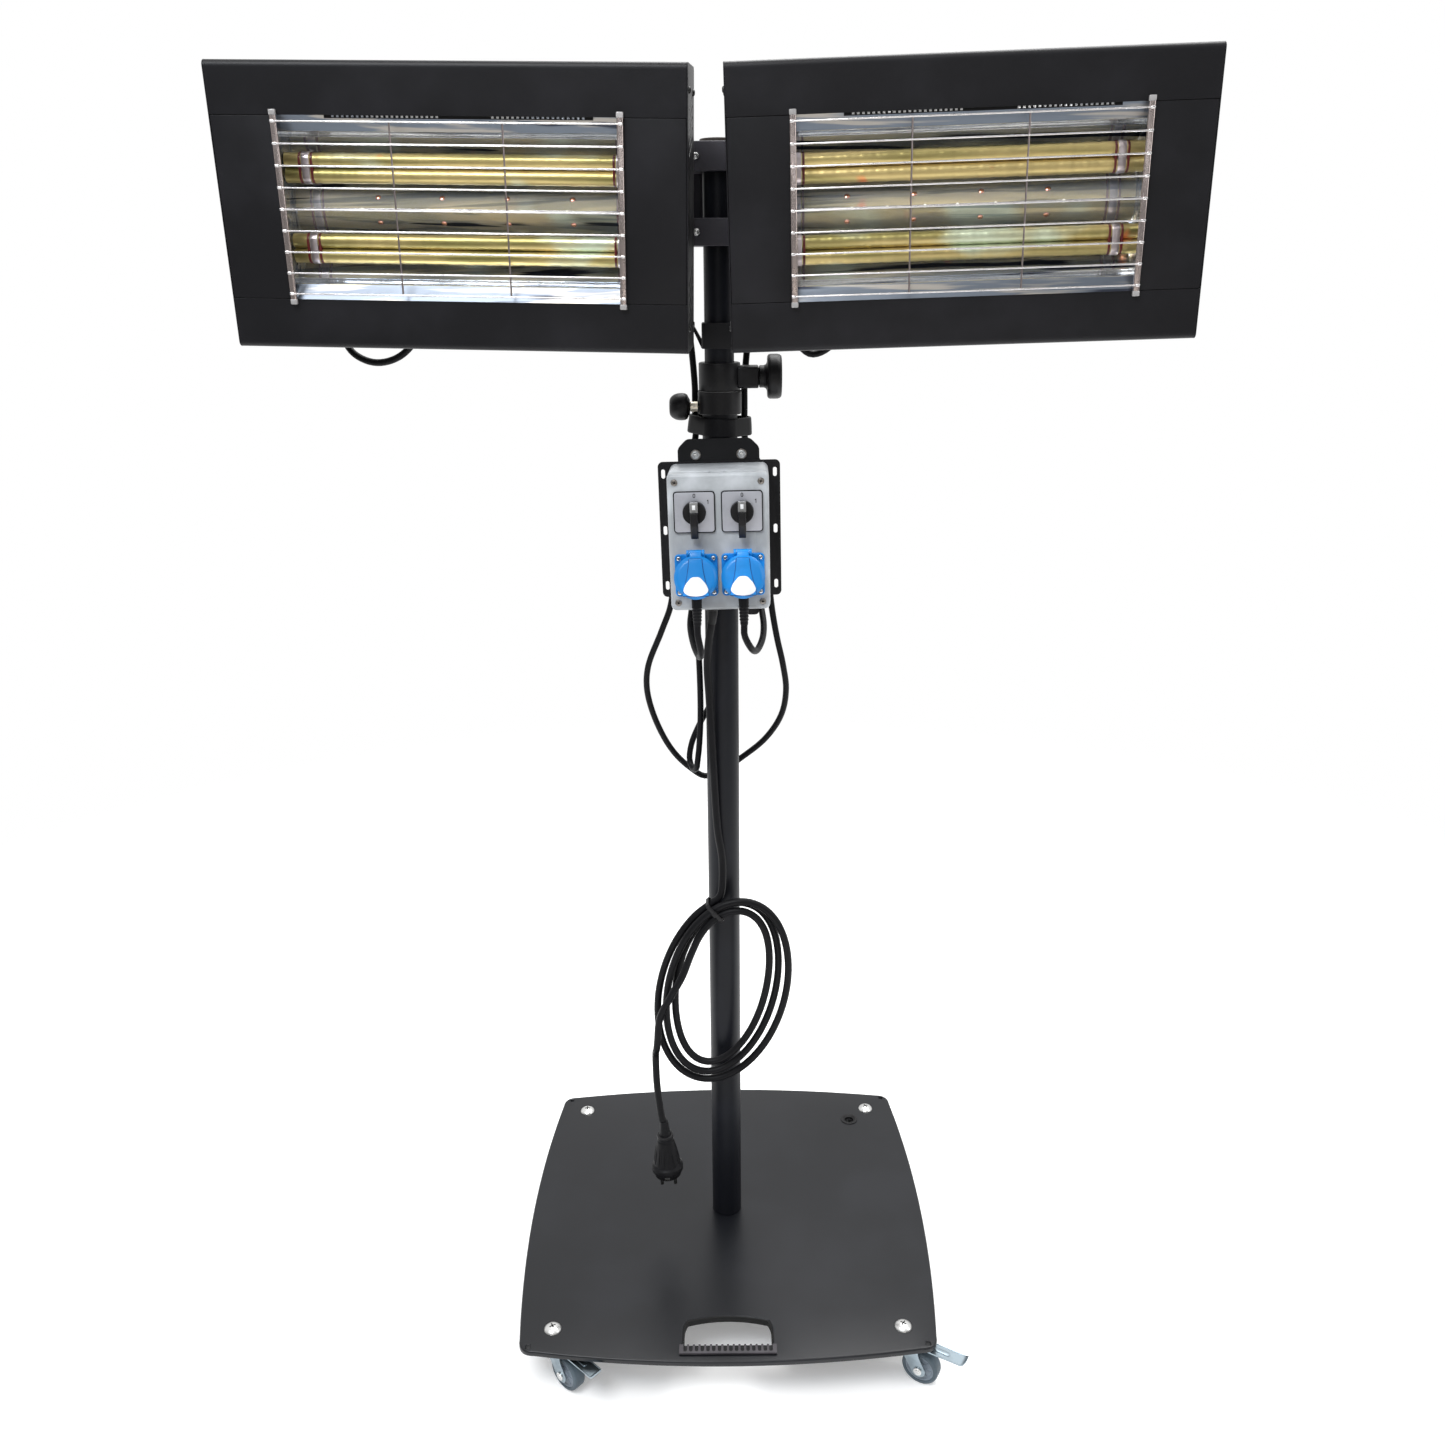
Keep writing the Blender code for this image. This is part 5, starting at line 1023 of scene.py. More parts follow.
# The CAD's frames
@dataclass(frozen=True)
class Frames:
    """The frames that the CAD's pieces are drawn in.

    Attributes:
        clamp_middle: Height of the middle of the head clamp.
        pan_x: Distance of each pan axis from the mast.
        tilt_reach: Distance of each tilt axis in front of its pan axis.
        head_back: Distance from a tilt axis to its head's back.
        head_drop: How far a head's middle hangs below its tilt axis.
        head_half_width: Half a head's width.
        yaws: Left and right pan angles in degrees.
        pitches: Left and right tilt angles in degrees.
        rolls: Left and right roll angles in degrees.
        inner_edges: How far each head reaches past its own pan axis.
        head_gland: X and Z of the cord's gland on a head's back.
        mast: Radius of the mast's outer tube.
        box_height: Height of the control box's middle.
        box_turn: Roll and yaw of the control box in degrees.
    """

    clamp_middle: float = 1.4838
    pan_x: float = 0.040
    tilt_reach: float = 0.040
    head_back: float = 0.0265
    head_drop: float = 0.0130
    head_half_width: float = 0.249
    yaws: tuple[float, float] = (-3.7, -1.4)
    pitches: tuple[float, float] = (4.4, 3.9)
    rolls: tuple[float, float] = (1.33, -1.39)
    inner_edges: tuple[float, float] = (0.0180, 0.0265)
    head_gland: tuple[float, float] = (-0.170, -0.090)
    mast: float = 0.0212
    box_height: float = 1.1045
    box_turn: tuple[float, float] = (-1.0, -1.07)

    def pick(self, pair: tuple[float, float], side: Side) -> float:
        """One side's value of a pair."""
        return pair[0] if side is Side.LEFT else pair[1]

    def pan(self, side: Side) -> Matrix:
        """The frame of a head's pan axis."""
        yaw = math.radians(self.pick(self.yaws, side))
        return placed((side.value * self.pan_x, 0, self.clamp_middle), (0, 0, yaw))

    def tilt(self, side: Side) -> Matrix:
        """The frame of a head's tilt axis."""
        return placed((0, -self.tilt_reach, 0), (math.radians(self.pick(self.pitches, side)), 0, 0),
                      self.pan(side))

    def head(self, side: Side) -> Matrix:
        """The frame of a head, at the middle of its back."""
        out = side.value * (self.head_half_width - self.pick(self.inner_edges, side))
        return placed((out, -self.head_back, -self.head_drop),
                      (0, math.radians(self.pick(self.rolls, side)), 0), self.tilt(side))

    def box(self) -> Matrix:
        """The frame of the control box, on the mast's axis."""
        roll, yaw = (math.radians(a) for a in self.box_turn)
        return placed((0, 0, self.box_height), (0, roll, yaw))


FRAMES = Frames()


# Cords
@dataclass(frozen=True)
class Coil:
    """The hanging coil of the supply cord, as the CAD draws it.

    Attributes:
        centre: The middle of the coil's outer turn.
        half_long: Half the outer turn's length.
        half_wide: Half its width.
        lean: Its lean to the right in degrees.
        turns: How many turns there are.
        full_turns: Turns before the cord starts to cross to its tail.
        forward_share: How early in the crossing the cord comes forward.
        crossing: How far forward it comes.
        spread: How much smaller each turn is than the one before, away from the tie.
        bunch: The same at the tie.
        layer: How far the turns weave to and fro.
        start: The angle of the tie in degrees.
        points: Points on each turn.
    """

    centre: tuple[float, float, float] = (0.0, -0.0400, 0.468)
    half_long: float = 0.150
    half_wide: float = 0.091
    lean: float = 15.0
    turns: float = 3.26
    full_turns: float = 3.0
    forward_share: float = 1.6
    crossing: float = 0.0135
    spread: float = 0.0142
    bunch: float = 0.0060
    layer: float = 0.0056
    start: float = -33.0
    points: int = 24

    def at(self, turn: Array) -> Array:
        """Points of the coil: shrinking ovals that weave to and fro, and cross to the tail at the end.

        Args:
            turn: Turns run from the tie, as an array.

        Returns:
            The points.
        """
        angle = math.radians(self.start) - TAU * turn
        near_tie = ((1 + np.cos(TAU * turn)) / 2) ** 3
        leaving = np.maximum(0.0, turn - self.full_turns) / (self.turns - self.full_turns)
        forward = self.ease(np.minimum(1.0, leaving * self.forward_share))
        outward = self.ease(np.maximum(0.0, 1 - (1 - leaving) * self.forward_share))
        drawn = (self.spread * (1 - near_tie) + self.bunch * near_tie) * turn * (1 - outward)
        along, across = (self.half_long - drawn) * np.cos(angle), (self.half_wide - drawn) * np.sin(angle)
        sine, cosine = math.sin(math.radians(self.lean)), math.cos(math.radians(self.lean))
        y = self.layer * np.cos(math.pi * turn) - self.crossing * forward
        return np.stack((sine * along + cosine * across, y, cosine * along - sine * across),
                        axis=-1) + self.centre

    @staticmethod
    def ease(share: Array) -> Array:
        """A share eased at both ends."""
        return share * share * (3 - 2 * share)

    def path(self) -> Array:
        """All its points, from the tie to the tail."""
        count = round(self.turns * self.points)
        return self.at(self.turns * np.arange(count + 1) / count)


@dataclass(frozen=True)
class Cords:
    """The heater's cords, on the CAD's routes.

    Attributes:
        lead: Radius of the heads' cords.
        supply: Radius of the supply cord.
        step: Spacing of the points, in radii.
        gland: Place of the supply cord's gland under the box, in the box's frame.
        sleeve: Place of a plug sleeve's foot in the box's frame, without its side.
        pass_point: Where the cords pass through the strap, without its side.
        plug_top: Where the supply plug starts.
        plug_foot: Where its pins end.
    """

    lead: float = 0.0040
    supply: float = 0.0050
    step: float = 1.2
    gland: tuple[float, float, float] = (-0.012, -0.050, -0.0878)
    sleeve: tuple[float, float, float] = (0.0, -0.1321, -0.0928)
    pass_point: tuple[float, float, float] = (0.030, 0.0222, 1.2430)
    plug_top: tuple[float, float, float] = (-0.0868, -0.0580, 0.2490)
    plug_foot: tuple[float, float, float] = (-0.0830, -0.0580, 0.1630)
    coil: Coil = field(default_factory=Coil)

    def build(self) -> None:
        """Makes every cord."""
        self.supply_cord()
        for side, route, end in ((Side.LEFT, self.left_lead(), 1), (Side.RIGHT, self.right_lead(), -1)):
            x, (_, y, z) = end * SocketOutlet.x, self.sleeve
            foot = carry(FRAMES.box(), [(x, y, z - d) for d in (0.0117, 0.0)])
            path = self.curve([*route, *foot], self.lead)
            self.cord(side.word + "_lead", "base", path[::-1], self.lead, [side.word + "_lead"])
            self.head_cords(side)

    def curve(self, points: Sequence[Any], radius: float) -> Array:
        """A smooth path through a route."""
        return smooth_route(np.array([tuple(p) for p in points]), self.step * radius)

    def cord(self, name: str, body: str, path: Array, radius: float, nodes: Sequence[str],
             relief: float = 0.0) -> bpy.types.Object:
        """Makes one cord.

        Args:
            name: The piece's name.
            body: The body that it rides on.
            path: Its centreline, from its exit.
            radius: Its radius.
            nodes: The CAD nodes that it stands for.
            relief: Length of the tapered strain relief at its exit.

        Returns:
            The cord.
        """
        shape = Shape()
        if relief:
            run = np.r_[0, np.cumsum(np.linalg.norm(np.diff(path, axis=0), axis=1))]
            short = path[run < relief + self.step * radius]
            share = np.clip(run[:len(short)] / relief, 0, 1)
            ribs = 0.0002 * np.cos(np.arange(len(short)) * math.pi)
            shape.sweep(short, radius + 0.0018 - 0.0016 * share + ribs, FINISH.plastic)
        made = shape.sweep(path, radius, FINISH.rubber).piece(name + "_skin", body, Slot.BLACK_RUBBER, *nodes)
        return made

    def supply_cord(self) -> None:
        """The supply cord: down the mast, round the coil, and down to its plug."""
        start = carry(FRAMES.box(), self.gland)
        mouth = carry(FRAMES.box(), np.array(self.gland) - (0, 0, 0.014))
        coil = self.coil.path()
        into, out = coil[0] - coil[1], coil[-1] - coil[-2]
        drop = [start, mouth, (-0.0160, -0.0430, 0.9700), (-0.0185, -0.0350, 0.9350),
                (-0.0165, -0.0292, 0.8866), (-0.0125, -0.0278, 0.7909), (-0.0080, -0.0278, 0.7059),
                (-0.0020, -0.0285, 0.6560), coil[0] + into / np.linalg.norm(into) * 0.0123]
        tail = [coil[-1] + out / np.linalg.norm(out) * 0.012, (-0.0975, -0.0440, 0.3730),
                (-0.0965, -0.0490, 0.3240), (-0.0915, -0.0555, 0.2800)]
        top, foot = Vector(self.plug_top), Vector(self.plug_foot)
        along = (foot - top).normalized()
        path = self.curve([*drop, *coil, *tail, top - along * 0.012, top - along * GAP], self.supply)
        plug = SupplyPlug().build(top, along)
        nodes = ["supply_drop", "supply_coil", "supply_tail"]
        self.cord("supply", "base", path, self.supply, nodes, 0.024)
        self.tie()

    def tie(self) -> None:
        """The thin cable tie round the bunched turns, with its square head at the front."""
        turns = self.coil.at(np.arange(4.0))
        middle = turns.mean(axis=0)
        path = self.coil.path()
        tangent = Vector(path[0] - path[1]).normalized()
        depth = Vector((0, 1, 0))
        across = depth.cross(tangent).normalized()
        frame = Matrix.Translation(middle) @ Matrix((across, depth, tangent)).transposed().to_4x4()
        reach = float(np.abs((turns - middle) @ np.array(across)).max()) + self.supply + 0.0018
        deep = self.coil.layer + self.supply + 0.0018
        shape = Shape(frame)
        shape.slab(rounded(reach + 0.0012, deep + 0.0012, 0.0048, 5), -0.0024, 0.0024, FINISH.plastic,
                   edge=0.0003, holes=[rounded(reach, deep, 0.0036, 5)])
        shape.block((-0.0035, -deep - 0.0036, -0.0034), (0.0035, -deep - 0.0009, 0.0034), FINISH.plastic,
                    0.0006)
        shape.block((-0.0150, -deep - 0.0030, -0.0021), (-0.0030, -deep - 0.0019, 0.0021), FINISH.plastic,
                    0.0003)
        shape.piece("tie_band", "base", Slot.BLACK_PLASTIC, "cable_tie")

    @staticmethod
    def half_turn(first: Sequence[float], last: Sequence[float], rise: int) -> list[Array]:
        """Points of a half circle between two level points.

        Args:
            first: Where it starts.
            last: Where it ends.
            rise: 1 where it passes above them, -1 where it passes below.

        Returns:
            Its points, with both ends.
        """
        start, reach = np.array(first), (np.array(last) - first) / 2
        up = np.array((0, 0, rise * np.linalg.norm(reach)))
        return [start + reach * (1 - math.cos(t)) + up * math.sin(t) for t in np.linspace(0, math.pi, 7)]

    def left_lead(self) -> list[Any]:
        """The left head's lead: down the left, its surplus loop, and up behind the box to the right plug."""
        x, y, z = self.pass_point
        return [(-x, y, z - GAP), (-x, y, 1.2110), (-0.0340, 0.0205, 1.1980), (-0.0420, 0.0150, 1.1850),
                (-0.0480, 0.0125, 1.1680), (-0.0480, 0.0140, 1.1400), (-0.0420, 0.0180, 1.0900),
                (-0.0370, 0.0160, 1.0450), (-0.0350, 0.0110, 1.0000), (-0.0310, 0.0060, 0.9560),
                (-0.0290, 0.0060, 0.9056), (-0.0290, 0.0080, 0.8493), (-0.0315, 0.0080, 0.8075),
                *self.half_turn((-0.0340, 0.0060, 0.7870), (-0.0450, 0.0300, 0.7870), -1),
                (-0.0415, 0.0335, 0.8060), (-0.0304, 0.0350, 0.8325), (-0.0120, 0.0370, 0.8680),
                (-0.0020, 0.0360, 0.9200), (0.0000, 0.0350, 0.9800), (0.0010, 0.0360, 1.0500),
                *self.half_turn((0.0050, 0.0370, 1.1015), (0.0395, 0.0235, 1.1015), 1),
                (0.0410, 0.0160, 1.0700), (0.0450, 0.0040, 1.0280), (0.0500, -0.0140, 1.0020),
                (0.0520, -0.0400, 0.9880), (0.0490, -0.0750, 0.9780), (0.0400, -0.1100, 0.9740),
                (0.0325, -0.1285, 0.9860)]

    def right_lead(self) -> list[Any]:
        """The right head's lead: down the right, its surplus loop, and up behind the box to the left plug."""
        x, y, z = self.pass_point
        return [(x, y, z - GAP), (x, y, 1.2110), (0.0345, 0.0190, 1.1980), (0.0440, 0.0100, 1.1850),
                (0.0520, 0.0030, 1.1680), (0.0560, 0.0000, 1.1400), (0.0570, -0.0020, 1.0900),
                (0.0590, -0.0020, 1.0450), (0.0635, 0.0000, 1.0000), (0.0704, 0.0040, 0.9593),
                (0.0788, 0.0100, 0.9202), (0.0834, 0.0200, 0.8830), (0.0776, 0.0300, 0.8449),
                (0.0567, 0.0380, 0.8089), (0.0244, 0.0420, 0.7800), (-0.0015, 0.0430, 0.7613),
                (-0.0248, 0.0420, 0.7542), (-0.0430, 0.0400, 0.7660), (-0.0660, 0.0370, 0.7909),
                (-0.0866, 0.0300, 0.8330), (-0.0985, 0.0220, 0.8814), (-0.0962, 0.0140, 0.9180),
                (-0.0770, 0.0050, 0.9685), (-0.0640, 0.0000, 1.0050), (-0.0600, -0.0040, 1.0500),
                (-0.0600, -0.0050, 1.0900),
                *self.half_turn((-0.0600, -0.0055, 1.1165), (-0.0350, -0.0085, 1.1165), 1),
                (-0.0350, -0.0100, 1.0900), (-0.0345, -0.0120, 1.0400), (-0.0370, -0.0190, 1.0060),
                (-0.0390, -0.0400, 0.9880), (-0.0340, -0.0750, 0.9720), (-0.0270, -0.1050, 0.9660),
                (-0.0245, -0.1260, 0.9780)]

    @staticmethod
    def hang(side: Side) -> list[tuple[float, float, float]]:
        """The loop of a head's cord, from behind the head to its swivel."""
        if side is Side.LEFT:
            return [(-0.4460, -0.0020, 1.3790), (-0.4464, 0.0005, 1.3680), (-0.4455, -0.0030, 1.3530),
                    (-0.4410, -0.0110, 1.3330), (-0.4280, -0.0175, 1.3140), (-0.4030, -0.0200, 1.3040),
                    (-0.3720, -0.0220, 1.3120), (-0.335, -0.0260, 1.352), (-0.300, -0.0300, 1.400),
                    (-0.255, -0.0340, 1.442), (-0.205, -0.0365, 1.470)]
        return [(0.0925, -0.0300, 1.3720), (0.0910, -0.0260, 1.3600), (0.0900, -0.0230, 1.3400),
                (0.0940, -0.0210, 1.3200), (0.1074, -0.0200, 1.3093), (0.1260, -0.0210, 1.3150),
                (0.146, -0.0240, 1.342), (0.168, -0.0290, 1.385), (0.184, -0.0340, 1.430),
                (0.183, -0.0380, 1.464), (0.166, -0.0395, 1.480)]

    def head_cords(self, side: Side) -> None:
        """A head's cord in its three stretches: on the head, on the swivel, and along the mast."""
        word, sign = side.word, side.value
        x, z = FRAMES.head_gland
        gland = carry(FRAMES.head(side), [(x, 0.0056, z), (x, 0.0200, z)])
        ends = carry(FRAMES.pan(side), [(sign * 0.1015, -0.040, 0), (sign * 0.0855, -0.040, 0)])
        path = self.curve([*gland, *self.hang(side), *ends], self.lead)
        self.cord(word + "_head_cord", word + "_head", path, self.lead, [word + "_head_cord"], relief=0.024)
        bend = [(0.0852, -0.0400, 0), (0.0770, -0.0400, 0), (0.0665, -0.0365, -0.0070),
                (0.0630, -0.0300, -0.0200), (0.0600, -0.0240, -0.0330), (0.0500, -0.0150, -0.0480),
                (0.0360, -0.0080, -0.0590), (0.0200, -0.0030, -0.0620), (0.0070, -0.0005, -0.0650),
                (0, 0, -0.0750), (0, 0, -0.0820)]
        swivel = self.curve(carry(FRAMES.pan(side), [(sign * x, y, z) for x, y, z in bend]), self.lead)
        self.cord(word + "_swivel_cord", word + "_swivel", swivel, self.lead, [word + "_swivel_cord"])
        top, (x, y, z) = FRAMES.clamp_middle - 0.0823, self.pass_point
        fall = [(FRAMES.pan_x, 0, top - 0.0006), (FRAMES.pan_x, 0, top - 0.0040),
                (FRAMES.pan_x, 0, top - 0.0100), (0.0395, 0.0040, top - 0.0240), (0.0380, 0.0120, 1.362),
                (0.0360, 0.0190, 1.338), (0.0325, 0.0225, 1.305), (x, y, 1.270), (x, y, 1.255), (x, y, z)]
        path = self.curve([(sign * a, b, c) for a, b, c in fall], self.lead)
        shape = Shape().sweep(path, self.lead, FINISH.rubber)
        made = shape.mesh(word + "_mast_cord_skin")
        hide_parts(word + "_mast_cord")
        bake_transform(made)


@dataclass(frozen=True)
class SupplyPlug:
    """The rubber plug on the supply cord: boot, ribbed grip, flange, face and pins.

    Attributes:
        length: Length without its pins.
        top: Radius where the cord enters.
        wide: Radius of the flange.
        front: Radius of the part that enters a socket.
        ribs: Grip ribs on its taper.
    """

    length: float = 0.066
    top: float = 0.0110
    wide: float = 0.0222
    front: float = 0.0190
    ribs: int = 14

    def build(self, top: Vector, along: Vector) -> bpy.types.Object:
        """Makes the plug.

        Args:
            top: Where the cord enters it.
            along: The way that its pins point.

        Returns:
            The plug.
        """
        turn = Vector((0, 0, 1)).rotation_difference(along).to_matrix().to_4x4()
        shape = Shape(Matrix.Translation(top) @ turn)
        flange = self.length - 0.016
        boot = [(0.0052, -0.022), (0.0058, -0.0215), (0.0074, -0.004), (self.top * 0.8, 0.0)]
        body = [(self.top, 0.0012), (self.top, 0.007), (self.top * 1.12, 0.009),
                (self.front * 0.98, flange - 0.003), (self.wide, flange), (self.wide, flange + 0.008),
                (self.front, flange + 0.0092), (self.front, self.length), (0, self.length)]
        shape.lathe([(0, -0.022), *boot, *body], FINISH.rubber, sides=48, edge=0.0012)
        shape.lathe([(self.top * 0.8, -0.0008), (self.top * 1.04, -0.0006), (self.top * 1.06, 0.0030),
                     (self.top * 0.8, 0.0034)],
                    FINISH.plastic, sides=40, edge=0.0006, loop=True)
        for k in range(self.ribs):
            angle = TAU * k / self.ribs
            foot, head = self.top * 1.10, self.front * 0.97
            line = np.array([(foot, 0.012), (head, flange - 0.005)])
            rib = [(r * math.cos(angle), r * math.sin(angle), z) for r, z in line]
            shape.sweep(np.linspace(rib[0], rib[1], 6),
                        np.array([0.0004, 0.0010, 0.0012, 0.0012, 0.0010, 0.0004]), FINISH.rubber, 8)
        for side in (-1, 1):
            shape.rod(0.0024, self.length - 0.002, self.length + 0.019, FINISH.dark_screw,
                      at=(side * 0.0095, 0), edge=0.0009)
            shape.block((-0.0035, side * self.front - 0.0008, flange + 0.009),
                        (0.0035, side * self.front + 0.0004, self.length - 0.001), FINISH.dark_screw, 0.0003)
        return shape.piece("supply_plug_body", "base", Slot.BLACK_RUBBER, "supply_plug")


# Lamp heads
@dataclass(frozen=True)
class Screw:
    """A round-headed screw with a drive recess.

    Attributes:
        radius: Radius of its head.
        height: Height of its head.
        recess: Radius of the recess.
        points: Sides of the recess; 4 stands for a cross.
    """

    radius: float = 0.0034
    height: float = 0.0020
    recess: float = 0.0015
    points: int = 6

    def add(self, shape: Shape, frame: Matrix, finish: Finish) -> None:
        """Adds the screw to a shape.

        Args:
            shape: The shape that takes it, in world coordinates.
            frame: The screw's seat, with its head along +Z.
            finish: Its finish.
        """
        r, h = self.radius, self.height
        own = Shape(frame)
        dome = [(r, 0.0), (r, h * 0.25), (r * 0.86, h * 0.72), (self.recess * 1.25, h)]
        own.lathe([(0, -h * 0.2), (r, -h * 0.2), *dome, (self.recess, h * 0.98),
                   (self.recess * 0.9, h * 0.35), (0, h * 0.3)], finish,
                  sides=max(self.points * 4, 24), edge=h * 0.12)
        # A cross recess gets a near-black cross of painted shade.
        if self.points == 4:
            for half in ((self.recess * 1.7, self.recess * 0.32), (self.recess * 0.32, self.recess * 1.7)):
                own.slab(rounded(*half, self.recess * 0.2, 2), h * 0.2, h * 0.97, FINISH.seam)
        shape.join(own)


def facing(place: Sequence[float], way: str, parent: Matrix | None = None, spin: float = 0.0) -> Matrix:
    """A frame whose Z axis points along a named direction of its parent.

    Args:
        place: Its origin.
        way: One of +X, -X, +Y, -Y, +Z and -Z.
        parent: The parent's frame.
        spin: Its turn about that direction.

    Returns:
        The frame in the world.
    """
    quarter = math.pi / 2
    turns = {"+X": (0, quarter, 0), "-X": (0, -quarter, 0), "+Y": (-quarter, 0, 0), "-Y": (quarter, 0, 0),
             "+Z": (0, 0, 0), "-Z": (math.pi, 0, 0)}
    return placed(place, turns[way], parent) @ Matrix.Rotation(spin, 4, "Z")


@dataclass(frozen=True)
class Louvres:
    """The slanted air slots in a head's end walls.

    Attributes:
        count: Slots in each group.
        pitch: Distance from slot to slot.
        group: Height of each group's middle above and below the head's middle.
        half_length: Half a slot's length.
        half_height: Half its height.
        slant: Its slant in degrees.
    """

    count: int = 5
    pitch: float = 0.0105
    group: float = 0.085
    half_length: float = 0.0215
    half_height: float = 0.0015
    slant: float = 24.0

    def outlines(self, middle: float) -> list[Array]:
        """The slots' outlines across X.

        Args:
            middle: The wall's middle along Y.

        Returns:
            One outline for each slot.
        """
        sine, cosine = math.sin(math.radians(self.slant)), math.cos(math.radians(self.slant))
        slot = rounded(self.half_length, self.half_height, self.half_height * 0.95,
                       4) @ np.array(((cosine, sine), (-sine, cosine)))
        rows = (np.arange(self.count) - (self.count - 1) / 2) * self.pitch
        return [slot + (middle, sign * self.group + row) for sign in (-1, 1) for row in rows]


@dataclass(frozen=True)
class Head:
    """One lamp head: folded housing, polished double trough, two twin-tube lamps and a wire guard.

    Attributes:
        side: Which of the two heads it is.
        half_width: Half the housing's width.
        half_height: Half its height.
        depth: Its depth.
        sheet: Its sheet's thickness.
        bend: Radius of its folds.
        opening: Half the opening's width and height.
        seam: Width of the seams between its front sheets.
        louvres: The slots in its ends.
        bowl: Four times the focal length of a trough.
        trough: How deep the troughs are.
        reflector: Half the reflector's width and height.
        lamp_place: Height of each lamp above and below the middle.
        tube: Radius of a lamp tube.
        tube_pitch: Distance between a lamp's two tubes.
        lamp_back: How far the lamps lie behind the front sheet.
        lamp_half: Half a lamp's length.
        clip: Where a lamp's outer and inner end clips lie.
        wires: Guard wires.
        wire_pitch: Distance between them.
        wire: Radius of a wire.
        guard_x: Where the guard's end bars stand.
        tie_x: Where its thin upright wires stand.
        flange: Height and depth of the reflector's flat edges.
        combs: Start and number of each group of holes in the upper edge.
        comb_pitch: Distance from hole to hole.
        rivets: Places of the rivets along the ridge, from the outer end.
        dimples: Places of the dimples above and below it.
        end_screw: Distance of an end's screws from the front and the back, and from the middle's height.
        back_screw: Place of the back's screws from its middle.
        ear: Radius of the ears on the bracket behind it.
    """

    side: Side
    half_width: float = 0.249
    half_height: float = 0.142
    depth: float = 0.077
    sheet: float = 0.0015
    bend: float = 0.0075
    opening: tuple[float, float] = (0.183, 0.0908)
    seam: float = 0.0007
    louvres: Louvres = field(default_factory=Louvres)
    bowl: float = 0.0556
    trough: float = 0.0515
    reflector: tuple[float, float] = (0.1905, 0.0935)
    lamp_place: float = 0.0405
    tube: float = 0.0079
    tube_pitch: float = 0.0152
    lamp_back: float = 0.0337
    lamp_half: float = 0.186
    clip: tuple[float, float] = (0.1625, 0.1750)
    wires: int = 9
    wire_pitch: float = 0.0212
    wire: float = 0.00095
    guard_x: float = 0.1800
    tie_x: float = 0.0590
    flange: tuple[float, float] = (0.0175, 0.0105)
    combs: tuple[tuple[float, int], ...] = ((-0.120, 22), (0.047, 19))
    comb_pitch: float = 0.0052
    rivets: tuple[float, ...] = (-0.104, -0.033, 0.007, 0.041, 0.081, 0.118)
    dimples: tuple[float, ...] = (-0.090, -0.020, 0.051, 0.122)
    end_screw: tuple[float, float, float] = (0.0140, 0.0130, 0.1170)
    back_screw: tuple[float, float] = (0.205, 0.120)
    ear: float = 0.014

    @property
    def frame(self) -> Matrix:
        """The head's frame."""
        return FRAMES.head(self.side)

    @property
    def body(self) -> str:
        """The head's CAD body."""
        return self.side.word + "_head"

    @property
    def inside(self) -> float:
        """The Y of the front sheet's inner face."""
        return self.sheet + GAP - self.depth

    def build(self) -> None:
        """Makes the head's pieces."""
        self.housing()
        self.mirror()
        for word, row in (("upper", 1), ("lower", -1)):
            self.lamp(word, row)
        self.guard()

    def housing(self) -> None:
        """The folded shell, the side panels, the louvred ends, the screws, the gland and the bracket."""
        shape = Shape(self.frame)
        front, lip, t = -self.depth, self.opening[1], self.sheet
        high, wide = self.half_height, self.half_width
        ahead, behind, level = self.end_screw
        shell = [(front, lip), (front, high), (0, high), (0, -high), (front, -high), (front, -lip),
                 (front + t, -lip), (front + t, t - high), (-t, t - high), (-t, high - t),
                 (front + t, high - t), (front + t, lip)]
        fold, tight = [self.bend] * 4, [self.bend - t] * 4
        outline = soften(shell, [0.0003, *fold, 0.0003, 0.0003, *tight, 0.0003], 8)
        shape.slab(outline, 0.0013 - wide, wide - 0.0013, FINISH.head, "X")
        end = rounded(self.depth / 2, high, self.bend * 0.8, 8, (front / 2, 0))
        for sign in (-1, 1):
            low, top = sorted((sign * (wide - 0.0012), sign * wide))
            shape.slab(end, low, top, FINISH.head, "X", 0.0004, self.louvres.outlines(front / 2))
            near, far = sorted((sign * self.opening[0], sign * (wide - 0.0016)))
            panel = rounded((far - near) / 2, lip - self.seam, 0.0012, 3, ((far + near) / 2, 0))
            shape.slab(panel, front, front + t, FINISH.head, "Y", 0.0004)
            # Painted shade: a near-black strip behind the gap at each seam between the front sheets.
            for z in (-lip, lip):
                shape.block((near, front + t * 0.8, z - 0.003), (far, front + t + 0.0004, z + 0.003),
                            FINISH.seam, 0.0)
            for y, z in product((front + ahead, -behind), (-level, level)):
                seat = facing((sign * wide, y, z), "+X" if sign > 0 else "-X", self.frame)
                Screw().add(shape, seat, FINISH.dark_screw)
        x, z = self.back_screw
        for at in product((-x, x), (0,), (-z, z)):
            Screw().add(shape, facing(at, "+Y", self.frame), FINISH.dark_screw)
        self.gland(shape)
        self.bracket(shape)
        shape.piece(self.side.word + "_housing_shell", self.body, Slot.BLACK_PAINT,
                    self.side.word + "_housing")

    def gland(self, shape: Shape) -> None:
        """The cord's gland at the back: hexagonal foot, body and domed nut."""
        at = FRAMES.head_gland
        shape.rod(0.0105, -0.001, 0.0045, FINISH.plastic, "Y", at, 6, 0.0005)
        shape.lathe([(0.0045, 0.0), (0.0086, 0.0), (0.0086, 0.0085), (0.0092, 0.009), (0.0092, 0.0125),
                     (0.0066, 0.016), (0.0045, 0.016)],
                    FINISH.plastic, "Y", at, 24, 0.0006, loop=True)

